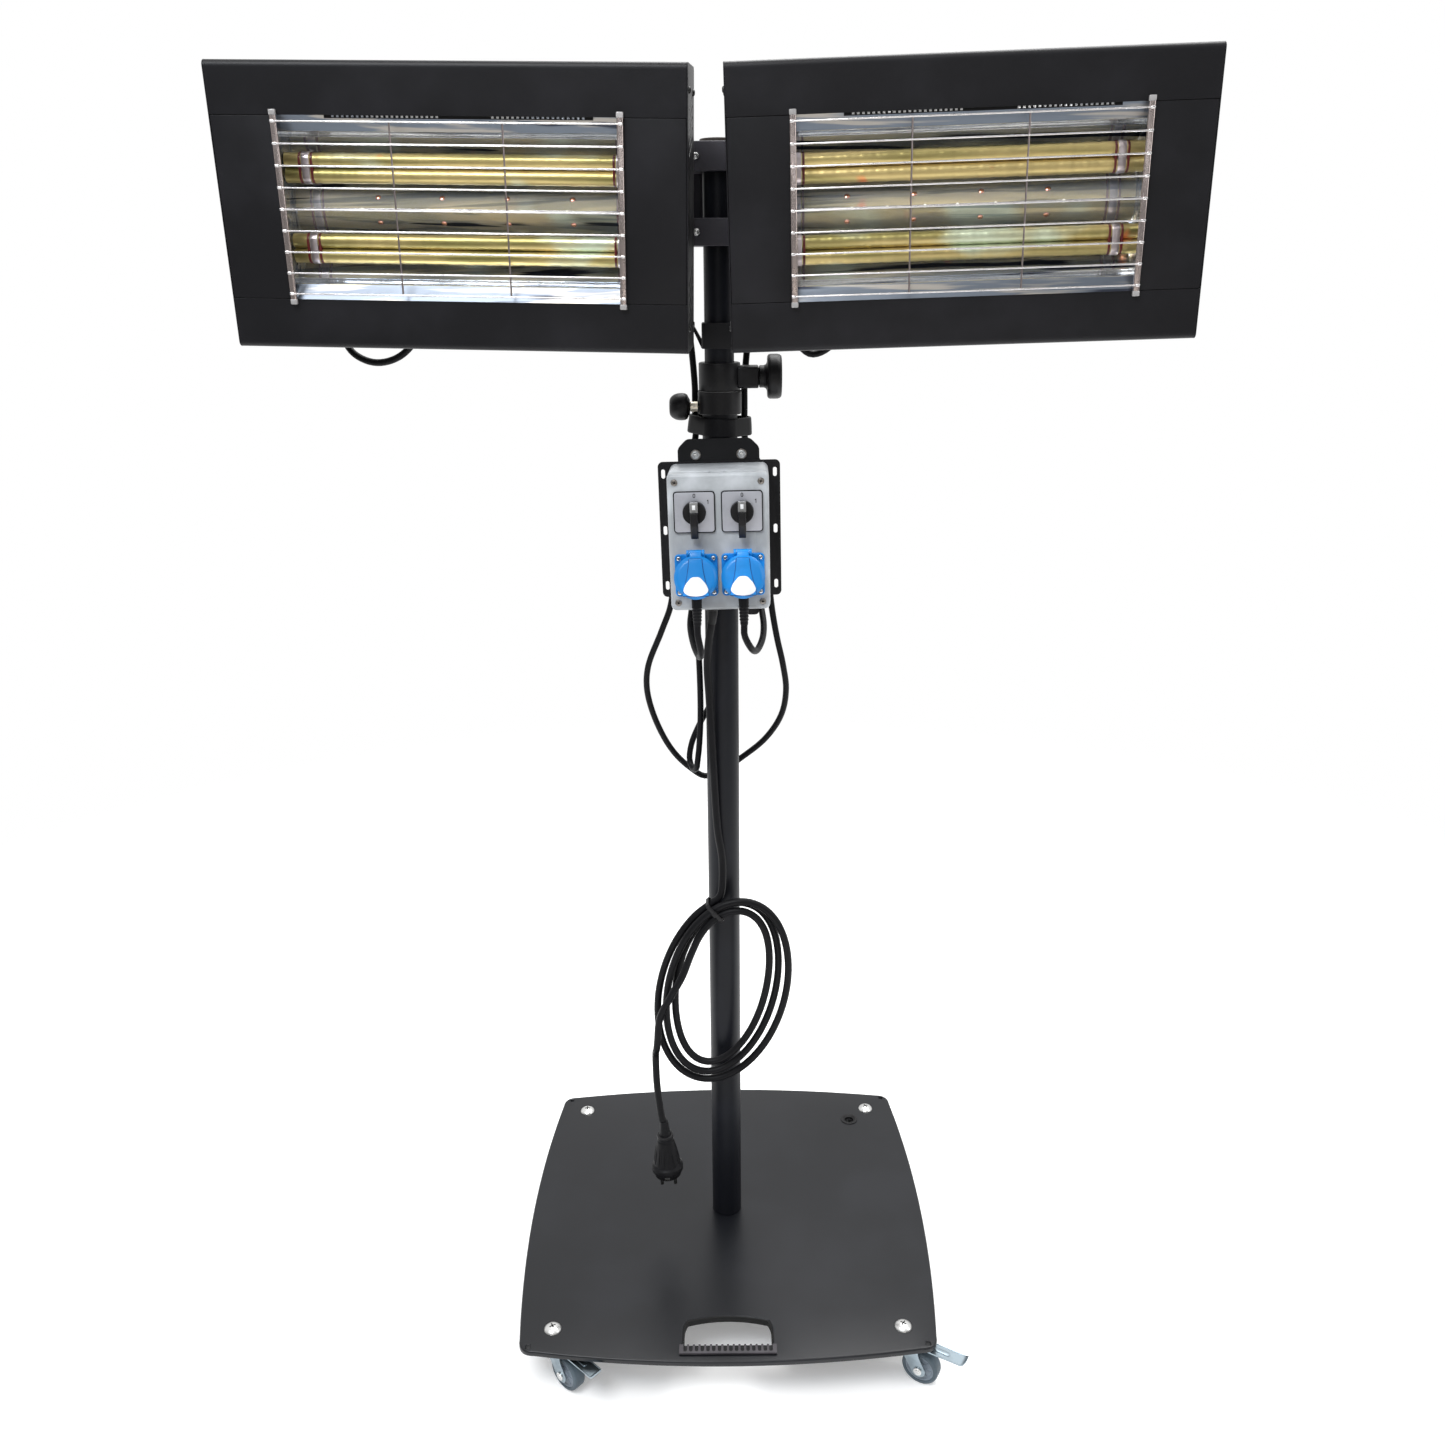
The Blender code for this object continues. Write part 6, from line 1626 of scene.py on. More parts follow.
    def bracket(self, shape: Shape) -> None:
        """The plate, ears and tilt bolt behind the housing."""
        sign, seat = self.side.value, -FRAMES.head_back
        own = Shape(FRAMES.tilt(self.side))
        own.block((sign * 0.0229, seat, -0.030), (sign * 0.150, seat + 0.0025, 0.030), FINISH.head, 0.0009)
        turns = np.linspace(math.pi / 2, -math.pi / 2, 17)
        curve = [(self.ear * math.cos(a), self.ear * math.sin(a)) for a in turns]
        ear = np.array([(seat + 0.001, self.ear), *curve, (seat + 0.001, -self.ear)])
        for near, far in ((0.0253, 0.0277), (0.0543, 0.0567)):
            own.slab(ear, *sorted((sign * near, sign * far)), FINISH.head, "X", 0.0004)
        own.rod(0.0039, *sorted((sign * 0.0235, sign * 0.0605)), FINISH.zinc, "X")
        for near, far in ((0.0205, 0.0250), (0.0570, 0.0618)):
            own.rod(0.0072, *sorted((sign * near, sign * far)), FINISH.zinc, "X", sides=6, edge=0.0006)
        shape.join(own)
        for x, z in product((0.078, 0.136), (-0.019, 0.019)):
            spot = facing((sign * x, seat + 0.0025, z), "+Y", FRAMES.tilt(self.side))
            Screw(0.0045, 0.0026, 0.0020).add(shape, spot, FINISH.dark_screw)

    def depth_at(self, z: Array) -> Array:
        """Depth of the double trough at a height.

        Each half is a bowl whose focus lies in its lamp, then a steep wall and a flange that lies back
        towards the edge.

        Args:
            z: Heights from the head's middle.

        Returns:
            The depths behind the front sheet.
        """
        high, edge = np.linspace(0, 0.0722, 40), self.reflector[1]
        bowl = np.stack((high, self.trough - (high - self.lamp_place) ** 2 / self.bowl), axis=-1)
        rest = [(edge - self.flange[0], self.flange[1]), (edge, 0.0)]
        line = soften(np.vstack((bowl, rest)), [0.0] * 39 + [0.002, 0.006, 0.0], 6, closed=False)
        return np.interp(np.abs(z), line[:, 0], line[:, 1])

    def seat_at(self, z: float) -> float:
        """Y of the trough's face at a height."""
        return float(self.inside + self.depth_at(np.array([z]))[0])

    def mirror(self) -> None:
        """The double trough of polished sheet: cheeks, perforated upper edge, rivets and dimples."""
        shape = Shape(self.frame)
        wide, high = self.reflector
        z = np.linspace(-high, high, 181)
        curve = np.stack((self.inside + self.depth_at(z), z), axis=-1)
        back = curve[::-1] + (0.0006, 0)
        shape.slab(np.vstack((curve, back)), -wide, wide, FINISH.reflector, "X")
        for sign in (-1, 1):
            shape.slab(curve, *sorted((sign * (wide - 0.001), sign * wide)), FINISH.reflector, "X")
            shape.slab(rounded(wide, 0.0022, 0.0004, 2, (0, sign * (high + 0.0014))), self.inside,
                       self.inside + 0.0006, FINISH.reflector, "Y")
        y = self.inside + 0.0008
        # Painted shadow: a black band along the upper edge, where the gap above the trough lies in shade; the
        # comb's squares sit in front of it.
        shape.block((-0.128, y - 0.0003, high - 0.0056), (0.152, y + 0.0003, high - 0.0014), FINISH.seam, 0.0)
        for start, count in self.combs:
            for k in range(count):
                x = start + self.comb_pitch * k
                shape.block((x, y - 0.0006, high - 0.0046), (x + 0.0026, y - 0.0002, high - 0.0026),
                            FINISH.reflector, 0.0)
        deep, out = self.flange[1], high - self.flange[0]
        for sign in (-1, 1):
            face = [(self.inside + deep - 0.0004, sign * out),
                    (self.inside - 0.0002, sign * (high - 0.0004)),
                    (self.inside + 0.0008, sign * (high - 0.0004)),
                    (self.inside + deep + 0.0006, sign * out)]
            shape.slab(np.array(face), 0.0015 - wide, wide - 0.0015, FINISH.flange, "X")
        crest = self.seat_at(0.0)
        shape.block((-wide + 0.002, crest - 0.0008, -0.0012), (wide - 0.002, crest + 0.0004, 0.0012),
                    FINISH.guard, 0.0004)
        sign = -self.side.value
        # Painted highlight: the crest's rivets are white.
        for x in self.rivets:
            own = Shape(placed((sign * x, crest - 0.0008, 0), (math.pi / 2, 0, 0), self.frame))
            own.lathe([(0, -0.001), (0.0019, -0.001), (0.0018, 0.0004), (0.0010, 0.0011), (0, 0.0012)],
                      FINISH.pearl, sides=20)
            shape.join(own)
        # Painted reflection: the dimples are a warm copper colour.
        for x in self.dimples:
            for row in (-0.0135, 0.0120):
                self.rivet(shape, sign * x, row, 0.0032, FINISH.dimple)
        shape.piece(self.side.word + "_mirror", self.body, Slot.REFLECTOR, self.side.word + "_reflector",
                    sharp=50)

    def rivet(self, shape: Shape, x: float, z: float, radius: float, finish: Finish) -> None:
        """A round rivet on the trough's face.

        Args:
            shape: The shape that takes it.
            x: Its place across the head.
            z: Its height.
            radius: Its radius.
            finish: Its finish.
        """
        slope = math.atan2(self.seat_at(z + 0.001) - self.seat_at(z - 0.001), 0.002)
        own = Shape(placed((x, self.seat_at(z), z), (math.pi / 2 - slope, 0, 0), self.frame))
        own.lathe([(0, -0.001), (radius, -0.001), (radius * 0.92, 0.0005), (radius * 0.5, 0.0011),
                   (0, 0.0012)], finish, sides=20, edge=0.0002)
        shape.join(own)

    def lamp(self, word: str, row: int) -> None:
        """One twin-tube lamp with its web, clips and dark red end bands.

        Args:
            word: The lamp's word in its node's name.
            row: 1 above, -1 below.
        """
        shape = Shape(self.frame)
        y, z, reach, r = self.inside + self.lamp_back, row * self.lamp_place, self.lamp_half, self.tube
        count = 241
        x = np.linspace(-reach, reach, count)
        wave = 0.00012 * np.sin(x * TAU / 0.021 + row) + 0.00008 * np.sin(x * TAU / 0.0083)
        for sign in (-1, 1):
            path = np.stack((x, np.full(count, y), np.full(count, z + sign * self.tube_pitch / 2)), axis=-1)
            shape.sweep(path, r - 0.0001 + wave, FINISH.lamp, 32)
        for sign in (-1, 1):
            middle = sign * self.clip[0 if sign == self.side.value else 1]
            tall, deep = self.tube_pitch / 2 + r + 0.0007, r + 0.0009
            ring = rounded(deep, tall, deep * 0.92, 8, (y, z))
            shape.slab(ring, middle - 0.0042, middle + 0.0042, FINISH.clip, "X", 0.0006)
            for near in (-0.0078, 0.0052):
                band = rounded(deep - 0.0005, tall - 0.0005, deep * 0.88, 8, (y, z))
                shape.slab(band, middle + near, middle + near + 0.0026, FINISH.ember, "X", 0.0004)
            shape.rod(0.0030, y, self.seat_at(abs(z)) - 0.0006, FINISH.clip, "Y", (middle, z), 16)
        shape.piece(f"{self.side.word}_{word}_lamp_tubes", self.body, Slot.LAMP,
                    f"{self.side.word}_{word}_lamp", sharp=40)

    def guard(self) -> None:
        """The guard: two rounded end bars with clear caps, nine wires with nubs and two thin uprights."""
        shape = Shape(self.frame)
        seat = -self.depth - GAP
        middle, tall = seat - 0.0025, self.opening[1] + 0.0048
        reach = (self.wires - 1) / 2 * self.wire_pitch
        for sign in (-1, 1):
            x = sign * self.guard_x
            shape.slab(rounded(0.0034, 0.0021, 0.0018, 6, (x, seat - 0.0023)), -tall, tall, FINISH.guard_bar,
                       "Z", 0.0012)
            for end in (-1, 1):
                low, high = sorted((end * (tall - 0.0052), end * (tall + 0.0004)))
                shape.slab(rounded(0.0037, 0.0024, 0.0014, 5, (x, seat - 0.0024)), low, high, FINISH.cap,
                           "Z", 0.0010)
            shape.rod(0.0010, -reach - 0.0010, reach + 0.0010, FINISH.tie_wire, "Z",
                      (sign * self.tie_x, middle + self.wire - 0.0006), 12, 0.0004)
        end = self.guard_x + 0.0026
        for k in range(self.wires):
            level = reach - k * self.wire_pitch
            shape.rod(self.wire, -end, end, FINISH.guard, "X", (middle - 0.0014, level), 16, 0.0006)
            for sign in (-1, 1):
                low, high = sorted((sign * (end - 0.0040), sign * (end + 0.0006)))
                shape.rod(0.0017, low, high, FINISH.guard, "X", (middle - 0.0012, level), 16, 0.0009)
        shape.piece(self.side.word + "_guard_wires", self.body, Slot.GUARD, self.side.word + "_guard")


# Control box and its carrier
@dataclass(frozen=True)
class Carrier:
    """The black bracket on the mast and the slotted plate that the box is screwed to.

    Attributes:
        half_width: Half the bracket's width.
        top: Height of its upper edge.
        foot: Height of its lower edge.
        chamfer: Its upper corners' cut.
        front: Y of its front face.
        rear: Y of its rear face.
        foot_tab: The lower tab's middle, half width and lowest point.
        plate: Half the slotted plate's width and height.
        plate_y: Y of the slotted plate's faces.
        slot: Place of the slots from the middle, and their pitch.
        slot_half: Half a slot's width and height.
        bolt: Place of the two hexagon bolts.
        saddle: The saddle's thickness, half height and ear reach.
    """

    half_width: float = 0.049
    top: float = 0.1089
    foot: float = -0.083
    chamfer: float = 0.011
    front: float = -0.0240
    rear: float = -0.0215
    foot_tab: tuple[float, float, float] = (0.037, 0.0085, -0.1085)
    plate: tuple[float, float] = (0.0735, 0.083)
    plate_y: tuple[float, float] = (-0.0268, -0.0243)
    slot: tuple[float, float] = (0.0672, 0.0685)
    slot_half: tuple[float, float] = (0.0023, 0.0055)
    bolt: tuple[float, float] = (0.0276, 0.0900)
    saddle: tuple[float, float, float] = (0.0028, 0.010, 0.034)

    def build(self) -> None:
        """Makes the bracket and the slotted plate."""
        self.bracket()
        shape = Shape(FRAMES.box())
        (x, z), half = self.slot, self.slot_half
        holes = [rounded(*half, half[0] * 0.98, 6, (side * x, row * z))
                 for side, row in product((-1, 1), (-1, 0, 1))]
        shape.slab(rounded(*self.plate, 0.0062, 8), *self.plate_y, FINISH.carrier, "Y", 0.0005, holes)
        shape.piece("slotted_back_plate", "base", Slot.BLACK_PAINT, "back_plate")

    def bracket(self) -> None:
        """The bracket with its upper tab, its foot, the rear saddle and the two hexagon bolts."""
        shape = Shape(FRAMES.box())
        x, z, cut = self.half_width, self.top, self.chamfer
        middle, half, tip = self.foot_tab
        outline = [(-x, self.foot), (middle - half, self.foot), (middle - half, tip), (middle + half, tip),
                   (middle + half, self.foot), (x, self.foot), (x, z - cut), (x - cut, z), (cut - x, z),
                   (-x, z - cut)]
        outline = soften(outline, [0.002, 0.002, 0.006, 0.006, 0.002, 0.002, 0.004, 0.004, 0.004, 0.004], 6)
        shape.slab(outline, self.front, self.rear, FINISH.carrier, "Y", 0.0005)
        sheet, tall, ear = self.saddle
        near, turns = FRAMES.mast + 3 * GAP, np.linspace(0, math.pi, 33)
        unit = np.stack((np.cos(turns), np.sin(turns)), axis=-1)
        ring = [*(unit * (near + sheet)), (-ear, 0), (-ear, -sheet), (-near, -sheet), *(unit[::-1] * near),
                (near, -sheet), (ear, -sheet), (ear, 0)]
        bolt_x, bolt_z = self.bolt
        lean = -bolt_z * math.tan(math.radians(FRAMES.box_turn[0]))
        shape.slab(np.array([tuple(p) for p in ring]) + (lean, 0), bolt_z - tall, bolt_z + tall,
                   FINISH.carrier, "Z", 0.0004)
        for side in (-1, 1):
            at = (side * bolt_x, bolt_z)
            shape.rod(0.0062, self.front + 0.0003, self.front - 0.0010, FINISH.worn, "Y", at, 32, 0.0003)
            shape.lathe([(0.0026, self.front - 0.0009), (0.0053, self.front - 0.0009),
                         (0.0053, self.front - 0.0030), (0.0045, self.front - 0.0036),
                         (0.0032, self.front - 0.0036), (0.0026, self.front - 0.0030)], FINISH.zinc, "Y", at,
                        6, 0.0002, loop=True)
            shape.lathe([(0, self.front - 0.0009), (0.0023, self.front - 0.0009),
                         (0.0023, self.front - 0.0038), (0.0016, self.front - 0.0044),
                         (0, self.front - 0.0045)], FINISH.screw, "Y", at, 24, 0.0002)
            shape.rod(0.0027, self.rear - 0.0005, sheet + 0.0016, FINISH.zinc, "Y", at, 16)
        shape.piece("carrier_bracket", "base", Slot.BLACK_PAINT, "pole_bracket")


@dataclass(frozen=True)
class Enclosure:
    """The grey housing with its screwed lid and its cable gland.

    Attributes:
        half_width: Half its width.
        half_height: Half its height.
        corner: Its corners' radius.
        front: Y of the lid's front.
        parting: Y where lid and rear shell meet.
        rear: Y of its back.
        screw_inset: Distance of the lid screws from its edges.
        gland: The gland's place under the box.
    """

    half_width: float = 0.0588
    half_height: float = 0.0805
    corner: float = 0.0072
    front: float = -0.1100
    parting: float = -0.0900
    rear: float = -0.0271
    screw_inset: float = 0.0093
    gland: tuple[float, float] = (-0.012, -0.050)

    def build(self) -> None:
        """Makes the rear shell and the lid."""
        wide, high = self.half_width, self.half_height
        shape = Shape(FRAMES.box())
        shape.slab(rounded(wide, high, self.corner, 10), self.parting + GAP, self.rear, FINISH.grey, "Y",
                   0.0012, steps=4)
        shape.lathe([(0.0053, -high - 0.0140), (0.0078, -high - 0.0140), (0.0084, -high - 0.0105),
                     (0.0086, -high - 0.0085)], FINISH.plastic, "Z",
                    self.gland, 32, 0.0007)
        shape.rod(0.0090, -high - 0.0100, -high - 0.0022, FINISH.plastic, "Z", self.gland, 6, 0.0004)
        shape.rod(0.0088, -high - 0.0026, -high + 0.0010, FINISH.plastic, "Z", self.gland, 32, 0.0004)
        shape.piece("rear_shell", "base", Slot.BOX_GREY, "enclosure_base")
        self.lid()

    def lid(self) -> None:
        """The lid: a step at its foot, rolled edges, a shallow raised field and four sunk screws."""
        wide, high = self.half_width, self.half_height
        shape = Shape(FRAMES.box())
        roll = 0.0046
        turns = np.linspace(0, math.pi / 2, 9)
        levels = np.r_[self.parting, self.parting - 0.0030, self.parting - 0.0034,
                       self.front + roll * (1 - np.sin(turns))]
        draws = np.r_[0.0, 0.0, 0.0005, 0.0005 + roll * (1 - np.cos(turns))]
        outline = rounded(wide, high, self.corner, 10)
        rings = [Shape.across(inset(outline, float(d)), float(t), "Y") for d, t in zip(draws, levels)]
        shape.skin(np.array(rings), FINISH.grey)
        shape.slab(rounded(wide - 0.0165, high - 0.0060, 0.004, 6), self.front - 0.0003, self.front + 0.0006,
                   FINISH.grey, "Y", 0.0003)
        low, top = self.front + 0.0004, self.front - 0.0002
        for x, z in product((-1, 1), repeat=2):
            at = (x * (wide - self.screw_inset), z * (high - self.screw_inset - 0.0010))
            shape.lathe([(0.0042, low), (0.0042, top), (0.0050, top), (0.0051, low)], FINISH.grey, "Y", at,
                        32, loop=True)
            seat = facing((at[0], self.front + 0.0002, at[1]), "-Y", FRAMES.box(), 0.5 + x)
            Screw(0.0039, 0.0014, 0.0013, 4).add(shape, seat, FINISH.worn)
        for x in (-0.0095, 0.0075):
            shape.block((x - 0.0012, self.front + 0.0060, high - 0.0004),
                        (x + 0.0012, self.parting - 0.0040, high + 0.0007), FINISH.grey, 0.0005)
        shape.piece("lid_shell", "base", Slot.BOX_GREY, "enclosure_lid")


@dataclass(frozen=True)
class RotarySwitch:
    """A rotary switch: silver plate with its two numbers, round knob and lever.

    Attributes:
        side: Which of the two switches it is.
        x: Distance from the box's middle.
        z: Height.
        half: Half the plate's side.
        seat: Y that the plate sits on.
        plate: The plate's thickness.
        radius: The knob's radius.
        depth: The knob's height over the plate.
        lever: The lever's length below the axis and its height over the plate.
    """

    side: Side
    x: float = 0.0274
    z: float = 0.0365
    half: float = 0.024
    seat: float = -0.1103
    plate: float = 0.0026
    radius: float = 0.0135
    depth: float = 0.009
    lever: tuple[float, float] = (0.029, 0.019)

    def build(self) -> None:
        """Makes the plate and the knob."""
        shape = Shape(FRAMES.box())
        x, z, half, face = self.side.value * self.x, self.z, self.half, self.seat - self.plate
        shape.slab(rounded(half, half, 0.0040, 8, (x, z)), face + 0.0005, self.seat, FINISH.plastic, "Y",
                   0.0005)
        shape.slab(rounded(half - 0.0013, half - 0.0013, 0.0031, 8, (x, z)), face, self.seat, FINISH.plate,
                   "Y", 0.0002)
        for at, pick in (((0.0002, 0.0190), self.zero), ((0.0160, 0.0118), self.one)):
            for outline, holes in pick((x + at[0], z + at[1])):
                shape.slab(outline, face - 0.00012, face + 0.0002, FINISH.seam, "Y", holes=holes)
        shape.piece(self.side.word + "_dial_plate", "base", Slot.SWITCH_METAL,
                    self.side.word + "_switch_plate")
        self.knob(x, z, face)

    @staticmethod
    def zero(middle: Sequence[float]) -> list[tuple[Array, list[Array]]]:
        """The outline of the number 0."""
        return [(rounded(0.00145, 0.00240, 0.00140, 6, middle),
                 [rounded(0.00070, 0.00165, 0.00065, 6, middle)])]

    @staticmethod
    def one(middle: Sequence[float]) -> list[tuple[Array, list[Array]]]:
        """The outline of the number 1."""
        flag = np.array(((-0.0013, 0.0012), (-0.0010, 0.0006), (-0.0003, 0.0011), (-0.0003, -0.0024),
                         (0.0005, -0.0024), (0.0005, 0.0024), (-0.0001, 0.0024)))
        return [(flag + middle, [])]

    def knob(self, x: float, z: float, face: float) -> None:
        """The knob: stem, dished disc, tapering lever with its pointer window at the top."""
        shape = Shape(placed((x, face, z), parent=FRAMES.box()))
        rim, deep = self.radius, self.depth
        shape.lathe([(0, 0.004), (0.0039, 0.004), (0.0039, -GAP), (rim - 0.0003, -GAP), (rim, -0.0012),
                     (rim * 0.985, -deep * 0.72), (rim * 0.93, -deep * 0.82), (rim * 0.84, -deep * 0.80),
                     (rim * 0.3, -deep * 0.74), (0, -deep * 0.74)], FINISH.plastic, "Y",
                    sides=56, edge=0.0007)
        foot, tall = self.lever
        run = np.linspace(0, 1, 25)
        level = rim * 0.93 - (rim * 0.93 + foot) * run
        wide = np.interp(run, (0, 0.3, 0.42, 0.50, 1.0), (0.0047, 0.0046, 0.0041, 0.0044, 0.0042))
        front = np.interp(run, (0, 0.22, 0.32, 0.62, 0.90, 1.0),
                          (-deep * 0.95, -deep * 1.20, -tall, -tall, -deep * 1.35, -deep * 1.00))
        back = np.interp(run, (0, 0.6, 0.66, 1.0), (-deep * 0.5, -deep * 0.5, -0.0020, -0.0020))
        ring = rounded(1.0, 1.0, 0.35, 4)
        rings = [np.stack((ring[:, 0] * w, (b + f) / 2 + ring[:, 1] * (b - f) / 2, np.full(len(ring), t)),
                          axis=-1)
                 for w, b, f, t in zip(wide, back, front, level)]
        shape.skin(np.array(rings), FINISH.plastic)
        shape.slab(rounded(0.0046, 0.0060, 0.0007, 4, (0, rim * 0.55)), -deep * 1.62, -deep * 0.7,
                   FINISH.window, "Y", 0.0006)
        shape.slab(rounded(0.0018, 0.0027, 0.0003, 3, (0, rim * 0.58)), -deep * 1.66, -deep * 1.4,
                   FINISH.label, "Y", 0.0001)
        shape.slab(rounded(0.0039, 0.0074, 0.0007, 4, (0, -rim * 0.42)), -tall - 0.0001, -tall + 0.002,
                   FINISH.plastic, "Y", 0.0006)
        shape.piece(self.side.word + "_lever_knob", self.side.word + "_switch_knob", Slot.BLACK_PLASTIC,
                    self.side.word + "_switch_knob", sharp=40)


@dataclass(frozen=True)
class SocketOutlet:
    """A blue flanged socket with its sprung cover and the black plug in it.

    Attributes:
        side: Which of the two sockets it is.
        x: Distance from the box's middle.
        z: Height.
        half: Half the flange's side.
        seat: Y that the flange sits on.
        flange: The flange's thickness.
        cup: Radius of the cup and of its recess.
        rim: Y of the cup's rim.
        floor: Y of the recess's floor.
        hinge: Height of the hinge over the socket's middle, half its length and its radius.
        angle: How far the plug holds the cover open, in degrees.
        cover: Radius of the cover and of its crown.
        wall: The cover's distance from the hinge plane, its wall and its dome.
        plug: Radius of the plug and its rise over the rim.
        sleeve: The sleeve's Y and foot.
    """

    side: Side
    x: float = 0.0272
    z: float = -0.0370
    half: float = 0.025
    seat: float = -0.1103
    flange: float = 0.003
    cup: tuple[float, float] = (0.0222, 0.0195)
    rim: float = -0.1253
    floor: float = -0.1060
    hinge: tuple[float, float, float] = (0.0285, 0.0105, 0.0036)
    angle: float = 17.0
    cover: tuple[float, float] = (0.0252, 0.019)
    wall: tuple[float, float, float] = (0.001, 0.002, 0.004)
    plug: tuple[float, float] = (0.0188, 0.0140)
    sleeve: tuple[float, float] = (-0.1321, -0.0925)

    @property
    def centre(self) -> tuple[float, float]:
        """X and Z of the socket's middle."""
        return self.side.value * self.x, self.z

    @property
    def hinge_frame(self) -> Matrix:
        """The cover's frame, on its hinge."""
        x, z = self.centre
        return placed((x, self.rim + 0.002, z + self.hinge[0]), (-math.radians(self.angle), 0, 0),
                      FRAMES.box())

    def build(self) -> None:
        """Makes the socket, its cover and its plug."""
        self.body()
        self.lid()
        self.plug_body()

    def body(self) -> None:
        """The flange with its four screws, the cup and the hinge ears."""
        x, z = self.centre
        shape = Shape(FRAMES.box())
        face = self.seat - self.flange
        shape.slab(rounded(self.half, self.half, 0.0048, 8, (x, z)), face, self.seat, FINISH.blue, "Y",
                   0.0009, [circle(self.cup[0] - 0.0006, 56, (x, z))])
        outer, inner = self.cup
        wall = [(outer - 0.0012, self.seat + 0.002), (outer + 0.0006, face + 0.0004),
                (outer, face - 0.0012), (outer, self.rim), (inner, self.rim), (inner, self.floor),
                (0, self.floor)]
        shape.lathe([(0, self.seat + 0.002), *wall], FINISH.blue, "Y", (x, z), 56, 0.0006)
        for a, b in product((-1, 1), repeat=2):
            at = (x + a * (self.half - 0.0048), z + b * (self.half - 0.0048))
            shape.lathe([(0, face + 0.0008), (0.0044, face + 0.0008), (0.0041, face - 0.0009),
                         (0.0034, face - 0.0009), (0.0031, face - 0.0002),
                         (0, face - 0.0002)], FINISH.blue, "Y", at, 28, 0.0003)
            seat = facing((at[0], face - 0.0003, at[1]), "-Y", FRAMES.box(), 0.4 + a + b)
            Screw(0.0027, 0.0016, 0.0009, 4).add(shape, seat, FINISH.screw)
        rise, half, r = self.hinge
        top, y = z + rise, self.rim + 0.002
        ear = [(y + r * math.cos(t), top + r * math.sin(t))
               for t in np.linspace(math.radians(215), math.radians(20), 15)]
        ear += [(self.seat - 0.0015, z + self.half * 0.96), (self.seat - 0.0015, z + self.half * 0.80),
                (y, z + self.half * 0.80)]
        for sign in (-1, 1):
            near, far = sorted((x + sign * (half - 0.003), x + sign * half))
            shape.slab(np.array(ear), near, far, FINISH.blue, "X", 0.0004)
        shape.piece(self.side.word + "_outlet_body", "base", Slot.SOCKET_BLUE, self.side.word + "_socket",
                    sharp=40)

    def lid(self) -> None:
        """The cover: domed disc with a rolled edge, raised central band, hinge barrel and pin, bare label."""
        rise, half, r = self.hinge
        radius, crown = self.cover
        offset, wall, dome = self.wall
        shape = Shape(self.hinge_frame)
        face, run = -offset - wall - dome, np.linspace(0, 1, 9)
        swell = [(radius + (crown - radius) * t, -offset - wall - dome * math.sin(t * math.pi / 2))
                 for t in run]
        shape.lathe([(0, -offset), (radius - 0.0004, -offset), (radius, -offset - 0.0005), *swell,
                     (crown * 0.5, face - 0.0002), (0, face - 0.0003)],
                    FINISH.blue, "Y", (0, -rise), 64)
        inner = half - 0.003 - GAP
        shape.rod(r, -inner, inner, FINISH.blue, "X", sides=28, edge=0.0004)
        shape.rod(0.0014, -half, half, FINISH.screw, "X", sides=12)
        shape.block((GAP - inner, face * 0.62, radius / 2 - rise), (inner - GAP, GAP - offset, -GAP),
                    FINISH.blue, 0.0008)
        top, foot = crown * 1.10 - rise, -crown * 1.12 - rise
        level = np.linspace(top, foot, 15)
        share = (top - level) / (top - foot)
        wide = 0.0074 + 0.0078 * share**1.6
        band = soften(np.vstack((np.stack((-wide, level), axis=-1), np.stack((wide, level), axis=-1)[::-1])),
                      0.0020, 4)
        # Painted shade: a darker blue slab, a little larger than the band, shows as a dark line round its
        # edge.
        shape.slab(inset(band, -0.0007), face - 0.0004, face + 0.0042, FINISH.deep_blue, "Y", 0.0002)
        shape.slab(band, face - 0.0026, face + 0.0042, FINISH.blue, "Y", 0.0007)
        low = -rise
        label = [(-0.0046, low + 0.0002), (0.0046, low + 0.0002), (0.0118, low - 0.0080),
                 (0.0150, low - 0.0160), (0.0095, low - 0.0208), (0.0, low - 0.0222),
                 (-0.0095, low - 0.0208), (-0.0150, low - 0.0160), (-0.0118, low - 0.0080)]
        rounds = [0.0030, 0.0030, 0.0030, 0.0034, 0.0045, 0.0045, 0.0045, 0.0034, 0.0030]
        shape.slab(soften(label, rounds, 5), face - 0.0029, face - 0.0022, FINISH.label, "Y", 0.0001)
        shape.piece(self.side.word + "_hinged_cover", self.side.word + "_socket_cover", Slot.SOCKET_BLUE,
                    self.side.word + "_socket_cover", sharp=40)

